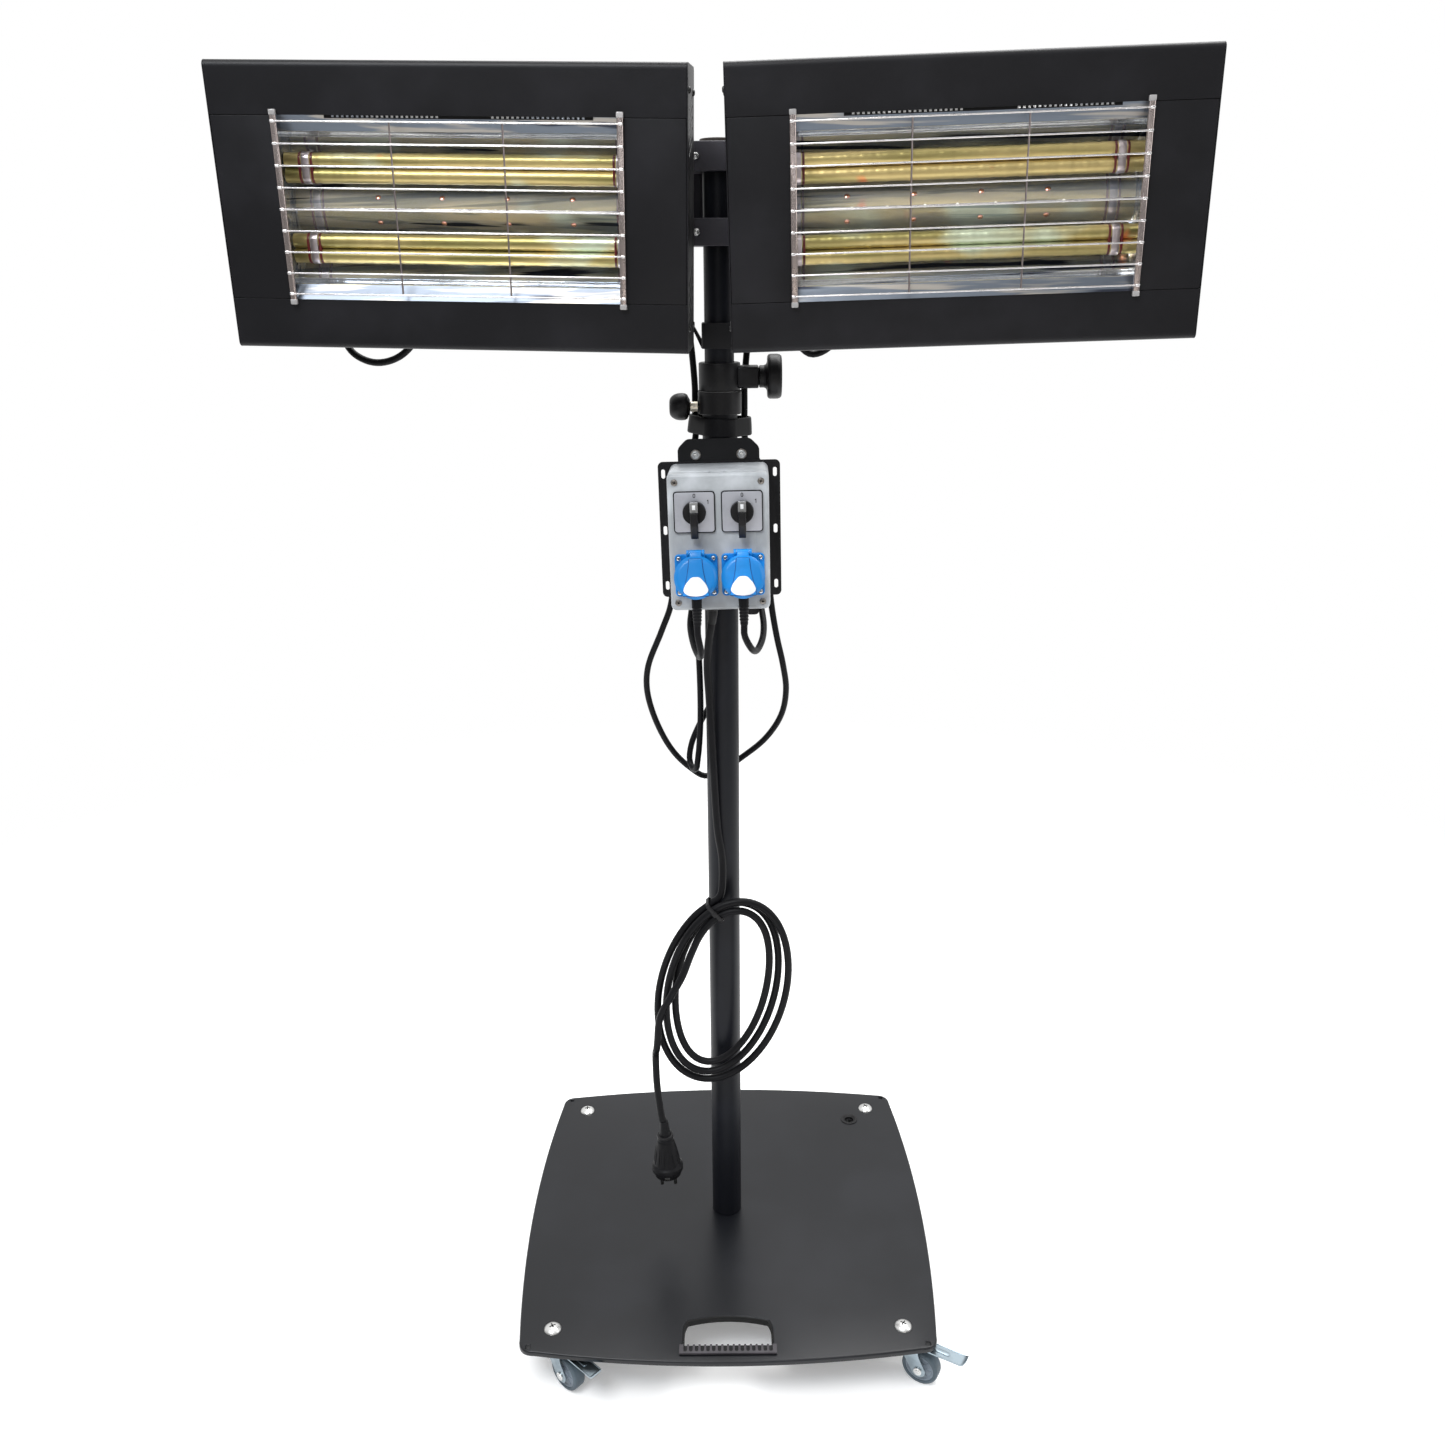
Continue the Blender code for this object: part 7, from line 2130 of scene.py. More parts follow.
    def plug_body(self) -> None:
        """The angled plug: body cut to the cover's slope, ribbed sleeve leaving downward, and pins."""
        x, z = self.centre
        radius, rise = self.plug
        y, foot = self.sleeve
        floor = self.floor - GAP
        slope = math.tan(math.radians(self.angle))
        top, back = z + self.hinge[0], self.rim + 0.002
        pivot = self.wall[0] / math.cos(math.radians(self.angle))
        outline = circle(radius, 48, (x, z))
        front = np.maximum(self.rim - rise, back - (top - outline[:, 1]) * slope - pivot + GAP * 3) + 0.0003
        front = np.minimum(front, self.rim + 0.003)
        shape = Shape(FRAMES.box())
        levels = [np.full(len(outline), floor), np.full(len(outline), self.rim + 0.003)]
        rings = [np.stack((outline[:, 0], level, outline[:, 1]), axis=-1) for level in levels]
        for draw in (0.0, 0.0003, 0.0010):
            ring = inset(outline, draw)
            rings.append(np.stack((ring[:, 0], np.minimum(front + 0.0010 - draw, levels[1]), ring[:, 1]),
                                  axis=-1))
        shape.skin(np.array(rings), FINISH.plastic)
        run = np.linspace(0, 1, 41)
        level = z - 0.004 + (foot - z + 0.004) * run
        ribbed = np.where((run > 0.55) & (run < 0.93), 0.00045 * np.sin((run - 0.55) * TAU * 13), 0.0)
        girth = np.interp(run, (0, 0.3, 0.5, 0.95, 1.0),
                          (0.0064, 0.0064, 0.0063, 0.0052, 0.0047)) - 0.0004 + ribbed
        shape.lathe([(0, level[0]), *zip(girth, level), (0.0043, level[-1]), (0, level[-1])], FINISH.rubber,
                    "Z", (x, y), 32)
        for sign in (-1, 1):
            shape.rod(0.0024, floor - 0.001, floor + 0.0125, FINISH.screw, "Y", (x + sign * 0.0095, z), 16,
                      0.0008)
        shape.piece(self.side.word + "_angled_plug", "base", Slot.BLACK_RUBBER, self.side.word + "_plug",
                    sharp=40)


@dataclass(frozen=True)
class Strap:
    """The rubber strap that holds both leads to the mast, a little askew.

    Attributes:
        foot: Its lowest height.
        height: Its height.
        taper: How much narrower its top is than its foot.
        sheet: Its thickness.
        tilt: Its lean in degrees.
        half_width: Half its inner width.
        back: Its inner face behind the mast.
        corner: Its back corners.
        tube: The tube's radius.
    """

    foot: float = 1.2145
    height: float = 0.0215
    taper: float = 0.05
    sheet: float = 0.0028
    tilt: float = 3.0
    half_width: float = 0.0370
    back: float = 0.0290
    corner: float = 0.007

    def build(self) -> None:
        """Makes the strap as a closed band whose front hugs the tube."""
        near = FRAMES.mast + 4 * GAP
        front = [(near * math.cos(t), near * math.sin(t)) for t in np.radians(np.linspace(222, 318, 13))]
        inner = np.array([*front, (self.half_width, self.back - 2 * self.corner),
                          (self.half_width, self.back), (-self.half_width, self.back),
                          (-self.half_width, self.back - 2 * self.corner)])
        inner = soften(inner, [0.001] * 13 + [0.006, 0.009, 0.009, 0.006], 6)
        outer = inset(inner, -self.sheet)
        frame = placed((0, 0, self.foot + self.height / 2), (0, math.radians(self.tilt), 0))
        half = self.height / 2
        levels = (-half, -half + 0.0008, -half + 0.0016, 0.0, half - 0.0016, half - 0.0008, half)
        draws = (0.0010, 0.0003, 0.0, -0.0002, 0.0, 0.0003, 0.0010)
        rings = [Shape.across(outer + (inner - outer) * (d / self.sheet), t, "Z")
                 for t, d in zip(levels, draws)]
        rings = np.array(rings + [Shape.across(inner, t, "Z") for t in (half, half / 2, -half / 2, -half)])
        rings[..., 0] *= 1 - self.taper * (rings[..., 2] + half) / self.height
        band = Shape(frame).skin(rings, FINISH.rubber, loop=True)
        band.piece("lead_strap", "base", Slot.BLACK_PLASTIC, "cable_strap", sharp=50)


# Mast
@dataclass(frozen=True)
class Mast:
    """The telescopic mast: outer tube, sliding inner tube, collar, clamp knob, lock pin and cable guide.

    Attributes:
        foot: Height of the outer tube's foot.
        outer: Radius and wall of the outer tube.
        outer_top: Height of its top.
        inner: Radius and wall of the inner tube.
        inner_span: Heights of the inner tube's ends.
        holes: Number of index holes and their pitch.
        pin_height: Height of the lock pin.
        pin_radius: Its radius.
        collar: Heights of the collar's foot, step and top.
        collar_girth: Radii of its skirt and upper part.
        boss: Reach, half depth and half height of its boss.
        bush: Radius and reach of the pin's bush.
        knob: Radius and length of the clamp knob.
        knob_height: Height of its axis.
        pull: Radius and length of the lock pin's knob.
        guide: Heights of the cable guide's ends.
        guide_half: Half its width, its flare and its depth.
        washer: Height of the foot bolt's washer, under the plate.
    """

    foot: float = 0.0753
    outer: tuple[float, float] = (FRAMES.mast, 0.0023)
    outer_top: float = 1.275
    inner: tuple[float, float] = (0.0175, 0.002)
    inner_span: tuple[float, float] = (0.47, 1.5366)
    holes: tuple[int, float] = (7, 0.100)
    pin_height: float = 1.2485
    pin_radius: float = 0.003
    collar: tuple[float, float, float] = (1.240, 1.267, 1.300)
    collar_girth: tuple[float, float] = (0.0262, 0.0248)
    boss: tuple[float, float, float] = (0.047, 0.013, 0.013)
    bush: tuple[float, float] = (0.006, 0.0355)
    knob: tuple[float, float] = (0.026, 0.027)
    knob_height: float = 1.283
    pull: tuple[float, float] = (0.0160, 0.025)
    guide: tuple[float, float] = (1.316, 1.345)
    guide_half: tuple[float, float, float] = (0.0205, 0.0345, 0.0215)
    washer: float = 0.0667

    def build(self) -> None:
        """Makes the mast's pieces."""
        radius, wall = self.outer
        tube = [(radius - 0.0006, self.foot), (radius, self.foot + 0.0006),
                (radius, self.outer_top - 0.0006), (radius - 0.0006, self.outer_top),
                (radius - wall, self.outer_top), (radius - wall, self.foot)]
        shape = Shape().lathe(tube, FINISH.mast, sides=72, loop=True)
        shape.piece("outer_tube", "base", Slot.BLACK_PAINT, "mast_tube")
        self.inner_tube()
        self.foot_bolt()
        self.collar_body()
        self.clamp_knob()
        self.lock_pin()
        self.cable_guide()

    def inner_tube(self) -> None:
        """The inner tube, with its index holes cut through its left wall."""
        radius, wall = self.inner
        low, high = self.inner_span
        tube = [(radius, low), (radius, high), (radius - wall, high), (radius - wall, low)]
        made = Shape().lathe(tube, FINISH.mast, sides=72, loop=True).mesh("inner_tube")
        drill = Shape()
        for k in range(self.holes[0]):
            drill.rod(self.pin_radius + GAP, -radius - 0.004, -radius * 0.5, FINISH.seam, "X",
                      (0, self.pin_height - k * self.holes[1]), 20)
        bits = drill.mesh("index_drill")
        cut = made.modifiers.new("index_holes", "BOOLEAN")
        cut.operation, cut.solver, cut.object = "DIFFERENCE", "EXACT", bits
        holed = bpy.data.meshes.new_from_object(made.evaluated_get(bpy.context.evaluated_depsgraph_get()))
        made.modifiers.clear()
        made.data = holed
        bpy.data.objects.remove(bits)
        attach(made, "mast")
        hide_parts("mast_inner_tube")

    def foot_bolt(self) -> None:
        """The bolt under the plate with its washer, and the plug in the tube's foot."""
        shape = Shape()
        under, plug = self.washer, self.outer[0] - self.outer[1] - GAP
        shape.rod(0.0200, under - 0.003, under, FINISH.zinc, sides=48, edge=0.0004)
        shape.lathe([(0, under - 0.010), (0.0098, under - 0.010), (0.0110, under - 0.009),
                     (0.0110, under - 0.003), (0, under - 0.003)], FINISH.zinc,
                    sides=6, edge=0.0003)
        shape.rod(0.006, under - 0.001, self.foot + 0.002, FINISH.zinc, sides=24)
        shape.rod(plug, self.foot, self.foot + 0.030, FINISH.plastic, sides=48, edge=0.0008)
        shape.piece("foot_bolt", "base", Slot.ZINC_PLATE, "mast_foot_bolt")

    def collar_body(self) -> None:
        """The collar in two rings with a lighter seam ring painted in as a highlight line, the split boss,
        its bolt and the pin's bush.
        """
        shape = Shape()
        foot, step, top = self.collar
        skirt, upper = self.collar_girth
        over, slide, seat = self.outer[0] + GAP, self.inner[0] + GAP, self.outer_top + GAP
        ring = [(over, foot), (skirt - 0.0010, foot), (skirt, foot + 0.0010), (skirt, step - 0.0012),
                (skirt - 0.0009, step), (upper - 0.0004, step + 0.0002), (upper, step + 0.0008),
                (upper, top - 0.0016), (upper - 0.0005, top - 0.0005), (upper - 0.0016, top),
                (slide + 0.0006, top), (slide, top - 0.0006), (slide, seat), (over, seat)]
        shape.lathe(ring, FINISH.plastic, sides=72, loop=True)
        # Painted highlight: the lighter ring at the step stands in for the light line along its edge.
        shape.lathe([(skirt - 0.0003, step - 0.0006), (skirt + 0.0001, step - 0.0003),
                     (skirt - 0.0006, step + 0.0004), (skirt - 0.0010, step)],
                    FINISH.rim, sides=72, loop=True)
        reach, deep, tall = self.boss
        outline = rounded(deep, tall, 0.0040, 6, (0, self.knob_height))
        shape.slab(outline, (slide + upper) / 2, reach - 0.0006, FINISH.plastic, "X", 0.0014,
                   [circle(0.0043, 24, (0, self.knob_height))])
        # Painted shade: a near-black cone round the knob's neck at the boss's end.
        shape.lathe([(0.0043, reach - 0.003), (0.0105, reach - 0.0010), (0.0105, reach), (0.0043, reach)],
                    FINISH.seam, "X", (0, self.knob_height), 40, loop=True)
        bush, out = self.bush
        inside = self.outer[0] - self.outer[1] / 2
        at = (0, self.pin_height)
        shape.lathe([(self.pin_radius + GAP, -out), (bush - 0.0007, -out), (bush, -out + 0.0007),
                     (bush, -inside), (self.pin_radius + GAP, -inside)],
                    FINISH.bush, "X", at, 32, loop=True)
        shape.lathe([(bush - 0.0005, -skirt - 0.0002), (0.0086, -skirt - 0.0002), (0.0090, -skirt + 0.0006),
                     (0.0090, -skirt + 0.0030),
                     (bush - 0.0005, -skirt + 0.0030)], FINISH.plastic, "X", at, 32, 0.0003, loop=True)
        shape.piece("collar_shell", "base", Slot.BLACK_PLASTIC, "clamp_collar")

    def clamp_knob(self) -> None:
        """The round clamp knob: neck, dished back, rim with rolled edges, and a shallow ring on its face."""
        shape = Shape(placed((self.boss[0], 0, self.knob_height)))
        rim, long = self.knob
        tip = -(self.boss[0] - self.inner[0] - 2 * GAP)
        shape.rod(0.0039, tip, 0.002, FINISH.zinc, "X", sides=24, edge=0.0004)
        profile = [(0, GAP), (rim * 0.46, GAP), (rim * 0.50, 0.0010), (rim * 0.50, long * 0.22),
                   (rim * 0.54, long * 0.31), (rim * 0.66, long * 0.36), (rim * 0.90, long * 0.37),
                   (rim * 0.975, long * 0.42), (rim, long * 0.50), (rim, long * 0.80),
                   (rim * 0.975, long * 0.91), (rim * 0.91, long * 0.985), (rim * 0.84, long),
                   (rim * 0.80, long * 0.985), (rim * 0.74, long * 0.955), (rim * 0.40, long * 0.945),
                   (rim * 0.36, long * 0.97), (0, long * 0.975)]
        shape.lathe(profile, FINISH.plastic, "X", sides=72, edge=0.0005)
        shape.piece("clamp_knob_body", "clamp_knob", Slot.BLACK_PLASTIC, "clamp_knob", sharp=40)

    def lock_pin(self) -> None:
        """The sprung lock pin with its mushroom knob."""
        shape = Shape(placed((-self.bush[1], 0, self.pin_height)))
        rim, long = self.pull
        shape.rod(self.pin_radius, -0.002, self.bush[1] - self.inner[0] - 2 * GAP, FINISH.zinc, "X",
                  sides=24, edge=0.0006)
        turns = np.linspace(0, math.pi / 2, 9)
        crown = [(rim * 0.40 + rim * 0.60 * math.cos(t), -long * 0.46 - long * 0.54 * math.sin(t))
                 for t in turns]
        profile = [(0, -GAP), (rim * 0.52, -GAP), (rim * 0.60, -0.0012), (rim * 0.88, -long * 0.14),
                   (rim * 0.975, -long * 0.24), (rim, -long * 0.36), *crown, (0, -long)]
        shape.lathe(profile, FINISH.plastic, "X", sides=56, edge=0.0005)
        shape.piece("lock_pin_body", "lock_pin", Slot.BLACK_PLASTIC, "lock_pin", sharp=40)

    def cable_guide(self) -> None:
        """The guide block that flares upward to both sides."""
        shape = Shape()
        low, high = self.guide
        half, flare, deep = self.guide_half
        hole = circle(self.inner[0] + GAP, 56)
        shape.slab(rounded(half, deep, 0.0042, 6), low, high, FINISH.carrier, "Z", 0.0009, [hole])
        for side in (-1, 1):
            wing = [(side * half, low), (side * flare, high), (side * (flare - 0.003), high),
                    (side * (half - 0.001), low + 0.008)]
            shape.slab(soften(wing, 0.0008, 4), -0.012, 0.012, FINISH.carrier, "Y", 0.0006)
        shape.piece("cable_guide_body", "mast", Slot.BLACK_PLASTIC, "cable_guide")


@dataclass(frozen=True)
class HeadClamp:
    """The two clamp blocks that carry the heads, with their web, screws and cap, and the two swivels.

    Attributes:
        upper: Heights of the upper block's ends.
        lower: Heights of the lower block's ends.
        half: Half a block's width and depth.
        web: Half width and thickness of the rear web.
        screw_x: Place of the screws.
        cap: Radius of the cap and its height over the block.
        pan_pin: Radius of the pan pins.
        barrel: Radius of a swivel's barrel.
        arm: Half the height of a swivel's arm.
        tongue: The tongue's near and far face and its radius.
        bolt: Radius of the tilt bolt's hole.
    """

    upper: tuple[float, float] = (1.5078, 1.5386)
    lower: tuple[float, float] = (1.4290, 1.4588)
    half: tuple[float, float] = (0.054, 0.026)
    web: tuple[float, float] = (0.030, 0.004)
    screw_x: float = 0.0245
    cap: tuple[float, float] = (0.0205, 0.004)
    pan_pin: float = 0.004
    barrel: float = 0.0115
    arm: float = 0.009
    tongue: tuple[float, float, float] = (0.028, 0.054, 0.011)
    bolt: float = 0.004

    def build(self) -> None:
        """Makes the clamp and both swivels."""
        shape = Shape()
        wide, deep = self.half
        outline = rounded(wide, deep, 0.0060, 8)
        holes = [circle(0.0178, 56)] + [circle(self.pan_pin + GAP, 24, (side * FRAMES.pan_x, 0))
                                        for side in (-1, 1)]
        for low, high in (self.upper, self.lower):
            shape.slab(outline, low, high, FINISH.clamp, "Z", 0.0013, holes)
            for side in (-1, 1):
                seat = (side * self.screw_x, -deep + 0.0002, (low + high) / 2)
                shape.lathe([(0.0036, -deep - 0.0001), (0.0047, -deep - 0.0001), (0.0050, -deep - 0.0006),
                             (0.0046, -deep - 0.0009), (0.0036, -deep - 0.0006)],
                            FINISH.clamp, "Y", (seat[0], seat[2]), 32, loop=True)
                Screw(0.0041, 0.0023, 0.0019, 6).add(shape, facing(seat, "-Y"), FINISH.screw)
        half, thick = self.web
        inside = deep - thick
        shape.block((-half, inside, self.lower[0] + thick), (half, deep - GAP, self.upper[1] - thick),
                    FINISH.clamp, 0.0010)
        radius, rise = self.cap
        top = self.upper[1] + rise
        shape.lathe([(0, self.upper[1] - 0.0017), (0.0172, self.upper[1] - 0.0017),
                     (0.0172, self.upper[1] + GAP), (radius, self.upper[1] + GAP), (radius, top - 0.0012),
                     (radius - 0.0004, top - 0.0004), (radius - 0.0014, top), (0, top)], FINISH.brown, "Z",
                    sides=64)
        shape.piece("clamp_blocks", "mast", Slot.BLACK_PLASTIC, "head_clamp")
        for side in Side:
            self.swivel(side)

    def swivel(self, side: Side) -> None:
        """A swivel: barrel with its pins, arm and bored tongue.

        Args:
            side: Which of the two heads it carries.
        """
        shape = Shape(FRAMES.pan(side))
        middle, pin, barrel = FRAMES.clamp_middle, self.pan_pin, self.barrel
        low, high = self.lower[1] + GAP - middle, self.upper[0] - GAP - middle
        foot, top = self.lower[0] - middle, self.upper[1] - middle
        shape.lathe([(0, foot), (pin, foot), (pin, low), (barrel, low), (barrel, high), (pin, high),
                     (pin, top), (0, top)], FINISH.head, sides=48, edge=0.0006)
        near, far, radius = self.tongue
        sign, thick = side.value, self.arm
        shape.block((sign * 0.002, -thick, -thick), (sign * far, thick, thick), FINISH.head, 0.0016)
        turns = np.linspace(math.pi / 2, 3 * math.pi / 2, 25)
        round_end = np.stack((-FRAMES.tilt_reach + radius * np.cos(turns), radius * np.sin(turns)), axis=-1)
        tail = [(-FRAMES.tilt_reach / 2, -thick + GAP), (thick / 2, -thick + GAP), (thick / 2, thick - GAP),
                (-FRAMES.tilt_reach / 2, thick - GAP)]
        outline = np.vstack((round_end, tail))
        hole = circle(self.bolt + GAP, 28, (-FRAMES.tilt_reach, 0))
        shape.slab(outline, *sorted((sign * near, sign * (far - GAP))), FINISH.head, "X", 0.0006, [hole])
        shape.piece(side.word + "_swivel_arm", side.word + "_swivel", Slot.BLACK_PAINT, side.word + "_swivel")


# Base plate and castors
@dataclass(frozen=True)
class BasePlate:
    """The bowed plate with its rolled rim, carrying hole, ribbed grip, domed bolts and rear bush.

    Attributes:
        half: Half its width and depth at the corners.
        bow: How far its sides bow out.
        corner: Where a corner's rounding starts.
        low: Height of its underside.
        top: Height of its top.
        roll: Radius of its rolled edge.
        hole: The carrying hole's half width, front and back.
        arch: Rise of the hole's arched back.
        hole_corner: Its corners.
        grip: The grip's half width, depth and rise.
        ribs: Ribs on the grip.
        castor: Distance of each castor from the middle.
        drain: Distance of each drain hole from the middle, and its side.
        bush: The rear bush's place, radius and bore.
        bolt: Radius and height of a castor bolt's head.
        race: Radius of a castor's race under the plate, and the heights of its foot and of the nut.
    """

    half: tuple[float, float] = (0.275, 0.271)
    bow: tuple[float, float] = (0.015, 0.019)
    corner: float = 0.022
    low: float = 0.067
    top: float = 0.075
    roll: float = 0.0028
    hole: tuple[float, float, float] = (0.0595, -0.2667, -0.222)
    arch: float = 0.009
    hole_corner: float = 0.010
    grip: tuple[float, float, float] = (0.0635, 0.0145, 0.0034)
    ribs: int = 16
    castor: float = 0.233
    drain: tuple[float, float] = (0.262, 0.006)
    bush: tuple[float, float, float, float] = (0.203, 0.205, 0.016, 0.0115)
    bolt: tuple[float, float] = (0.0115, 0.006)
    race: tuple[float, float, float] = (0.018, 0.0642, 0.0611)

    def outline(self) -> Array:
        """The plate's outline: four sides that bow out as parabolas, joined by parabolas at the corners."""
        corners = []
        for start, end, bowed in (((1, -1), (1, 1), 0), ((1, 1), (-1, 1), 1), ((-1, 1), (-1, -1), 0),
                                  ((-1, -1), (1, -1), 1)):
            half = self.half[1 - bowed]
            limit = (half - self.corner) / half
            t = np.linspace(-limit, limit, 33)
            share = (t[:, None] + 1) / 2
            side = (np.array(start) + (np.array(end) - start) * share) * self.half
            side[:, bowed] += (1 - (t / limit) ** 2) * self.bow[bowed] * start[bowed]
            corners.append(side)
            turn, run = np.array(end) * self.half, np.linspace(0, 1, 10)[1:-1, None]
            leave = np.array((0, -end[1]) if bowed else (-end[0], 0))
            begin, finish = side[-1], turn + leave * self.corner
            corners.append((1 - run) ** 2 * begin + 2 * run * (1 - run) * turn + run**2 * finish)
        return np.vstack(corners)

    def hand_hole(self, grow: float = 0.0) -> Array:
        """The carrying hole's outline: straight in front, arched behind.

        Args:
            grow: How much larger than the hole it is.

        Returns:
            The outline, anticlockwise.
        """
        wide, front, back = self.hole[0] + grow, self.hole[1] - grow, self.hole[2] + grow
        x = np.linspace(wide - self.hole_corner * 0.4, -wide + self.hole_corner * 0.4, 25)
        arched = np.stack((x, back + self.arch * (1 - (x / wide) ** 2)), axis=-1)
        outline = np.vstack(((-wide, front), (wide, front), (wide, back - self.hole_corner), arched,
                             (-wide, back - self.hole_corner)))
        rounds = np.r_[self.hole_corner * 0.5, self.hole_corner * 0.5, 0.006, np.full(len(arched), 0.004),
                       0.006]
        return soften(outline, rounds, 4)

    def build(self) -> None:
        """Makes the plate and the grip."""
        shape = Shape()
        place, side = self.drain
        corners = [np.array(corner) for corner in product((-1, 1), repeat=2)]
        drains = [rounded(side / 2, side / 2, 0.0006, 3, corner * place) for corner in corners]
        x, y, radius, bore = self.bush
        holes = [self.hand_hole(), *drains, circle(bore, 40, (x, y)), circle(0.0066, 32)]
        self.plate(shape, holes)
        # Painted shade: a near-black liner on the hole's wall.
        shape.slab(self.hand_hole(-0.0001), self.low - 0.0006, self.top - 0.0004, FINISH.seam, "Z", 0.0004,
                   [self.hand_hole(-0.0022)])
        shape.lathe([(bore - 0.0004, self.low - 0.0025), (radius, self.low - 0.0025),
                     (radius, self.low + 0.001), (bore - 0.0004, self.low + 0.001)],
                    FINISH.plastic, at=(x, y), sides=48, edge=0.0004, loop=True)
        shape.lathe([(bore - 0.0045, self.top - 0.0030), (bore + 0.0002, self.top - 0.0030),
                     (bore + 0.0002, self.top + 0.0004), (bore + 0.0024, self.top + 0.0004),
                     (bore + 0.0020, self.top + 0.0012), (bore - 0.0012, self.top + 0.0012),
                     (bore - 0.0024, self.top + 0.0002), (bore - 0.0045, self.top - 0.0010)],
                    FINISH.plastic, at=(x, y), sides=48, edge=0.0003, loop=True)
        shape.lathe([(0.0044, self.low - 0.0018), (bore + 0.0004, self.low - 0.0018),
                     (bore + 0.0004, self.low + 0.0030), (0.0048, self.top - 0.0032),
                     (0.0044, self.top - 0.0036)], FINISH.plastic, at=(x, y), sides=40, loop=True)
        for corner in corners:
            self.castor_bolt(shape, *(corner * self.castor))
        shape.piece("plate_body", "base", Slot.BASE_PAINT, "base_plate")
        self.hand_grip()

    def plate(self, shape: Shape, holes: list[Array]) -> None:
        """The plate itself, with a rolled outer edge and eased holes."""
        turns = np.linspace(0, math.pi / 2, 6)
        outline, roll = self.outline(), self.roll
        draws = np.r_[roll * 0.5 * (1 - np.sin(turns)), roll * (1 - np.cos(turns))]
        levels = np.r_[self.low + roll * 0.5 * (1 - np.cos(turns)), self.top - roll * (1 - np.sin(turns))]
        rings = [inset(outline, float(d)) for d in draws]
        shape.skin(np.array([Shape.across(ring, float(z), "Z") for ring, z in zip(rings, levels)]),
                   FINISH.base, ends=False)
        caps = [(rings[0], rings[-1])]
        for hole in holes:
            walls = [inset(hole, -d) for d in (0.0006, 0.0, 0.0, 0.0008)]
            heights = (self.low, self.low + 0.0006, self.top - 0.0008, self.top)
            shape.skin(np.array([Shape.across(wall, z, "Z") for wall, z in zip(walls, heights)]),
                       FINISH.base, ends=False)
            caps.append((walls[0], walls[-1]))
        shape.fill([pair[0] for pair in caps], self.low, "Z", FINISH.base)
        shape.fill([pair[1] for pair in caps], self.top, "Z", FINISH.base)

    def castor_bolt(self, shape: Shape, x: float, y: float) -> None:
        """A castor's domed bolt with its cross, and the race, shank and nut under the plate."""
        radius, rise = self.bolt
        top = self.top
        dome = [(radius * math.sin(t), top + rise * (math.cos(t) ** 1.3) * 0.97)
                for t in np.linspace(math.pi / 2 * 0.97, 0.16, 12)]
        shape.lathe([(0, top - 0.001), (radius, top - 0.001), (radius, top + 0.0004), *dome,
                     (0, top + rise * 0.97)], FINISH.screw, at=(x, y), sides=48)
        frame = placed((x, y, top + rise * 0.93), (0, 0, 0.5 + x - y))
        cross = Shape(frame)
        # Painted shade: the cross recess is a near-black inlay.
        for half in ((0.0042, 0.0009), (0.0009, 0.0042)):
            cross.slab(rounded(*half, 0.0005, 3), -0.0016, 0.00025, FINISH.dark_screw)
        shape.join(cross)
        race, foot, nut = self.race
        shape.lathe([(0, self.low + 0.001), (race, self.low + 0.001), (race, foot + 0.0010),
                     (race - 0.0012, foot), (0.005, foot), (0.005, nut), (0, nut)],
                    FINISH.zinc, at=(x, y), sides=40)
        shape.rod(0.008, nut, nut - 0.004, FINISH.zinc, at=(x, y), sides=6, edge=0.0004)

    def hand_grip(self) -> None:
        """The grip: a flat bar with round-ended grooves, and its lip down the hole's front edge."""
        wide, deep, rise = self.grip
        back = self.hole[1] + 0.0026
        front, foot = back - deep, self.top + GAP
        shape = Shape()
        shape.block((-wide, front, foot), (wide, back - 0.0001, foot + rise * 0.34), FINISH.plastic, 0.0003)
        pitch = 2 * (wide - 0.004) / self.ribs
        turns = np.linspace(0, -math.pi, 9)
        comb = [(-wide, back), (-wide, front), (wide, front), (wide, back)]
        for k in range(self.ribs):
            middle = wide - 0.004 - (k + 0.5) * pitch
            end = np.stack((middle + 0.31 * pitch * np.cos(turns),
                            front + 0.0052 + 0.31 * pitch * np.sin(turns)), axis=-1)
            comb += [(middle + 0.31 * pitch, back), *end.tolist(), (middle - 0.31 * pitch, back)]
        shape.slab(np.array(comb), foot + rise * 0.3, foot + rise, FINISH.grip, "Z")
        reach = self.hole[0] - self.hole_corner
        shape.block((-reach, self.hole[1] + GAP, self.top - 0.012), (reach, back, self.top + rise / 2),
                    FINISH.plastic, 0.0006)
        shape.piece("ribbed_grip", "base", Slot.BLACK_PLASTIC, "handle_grip", sharp=50)


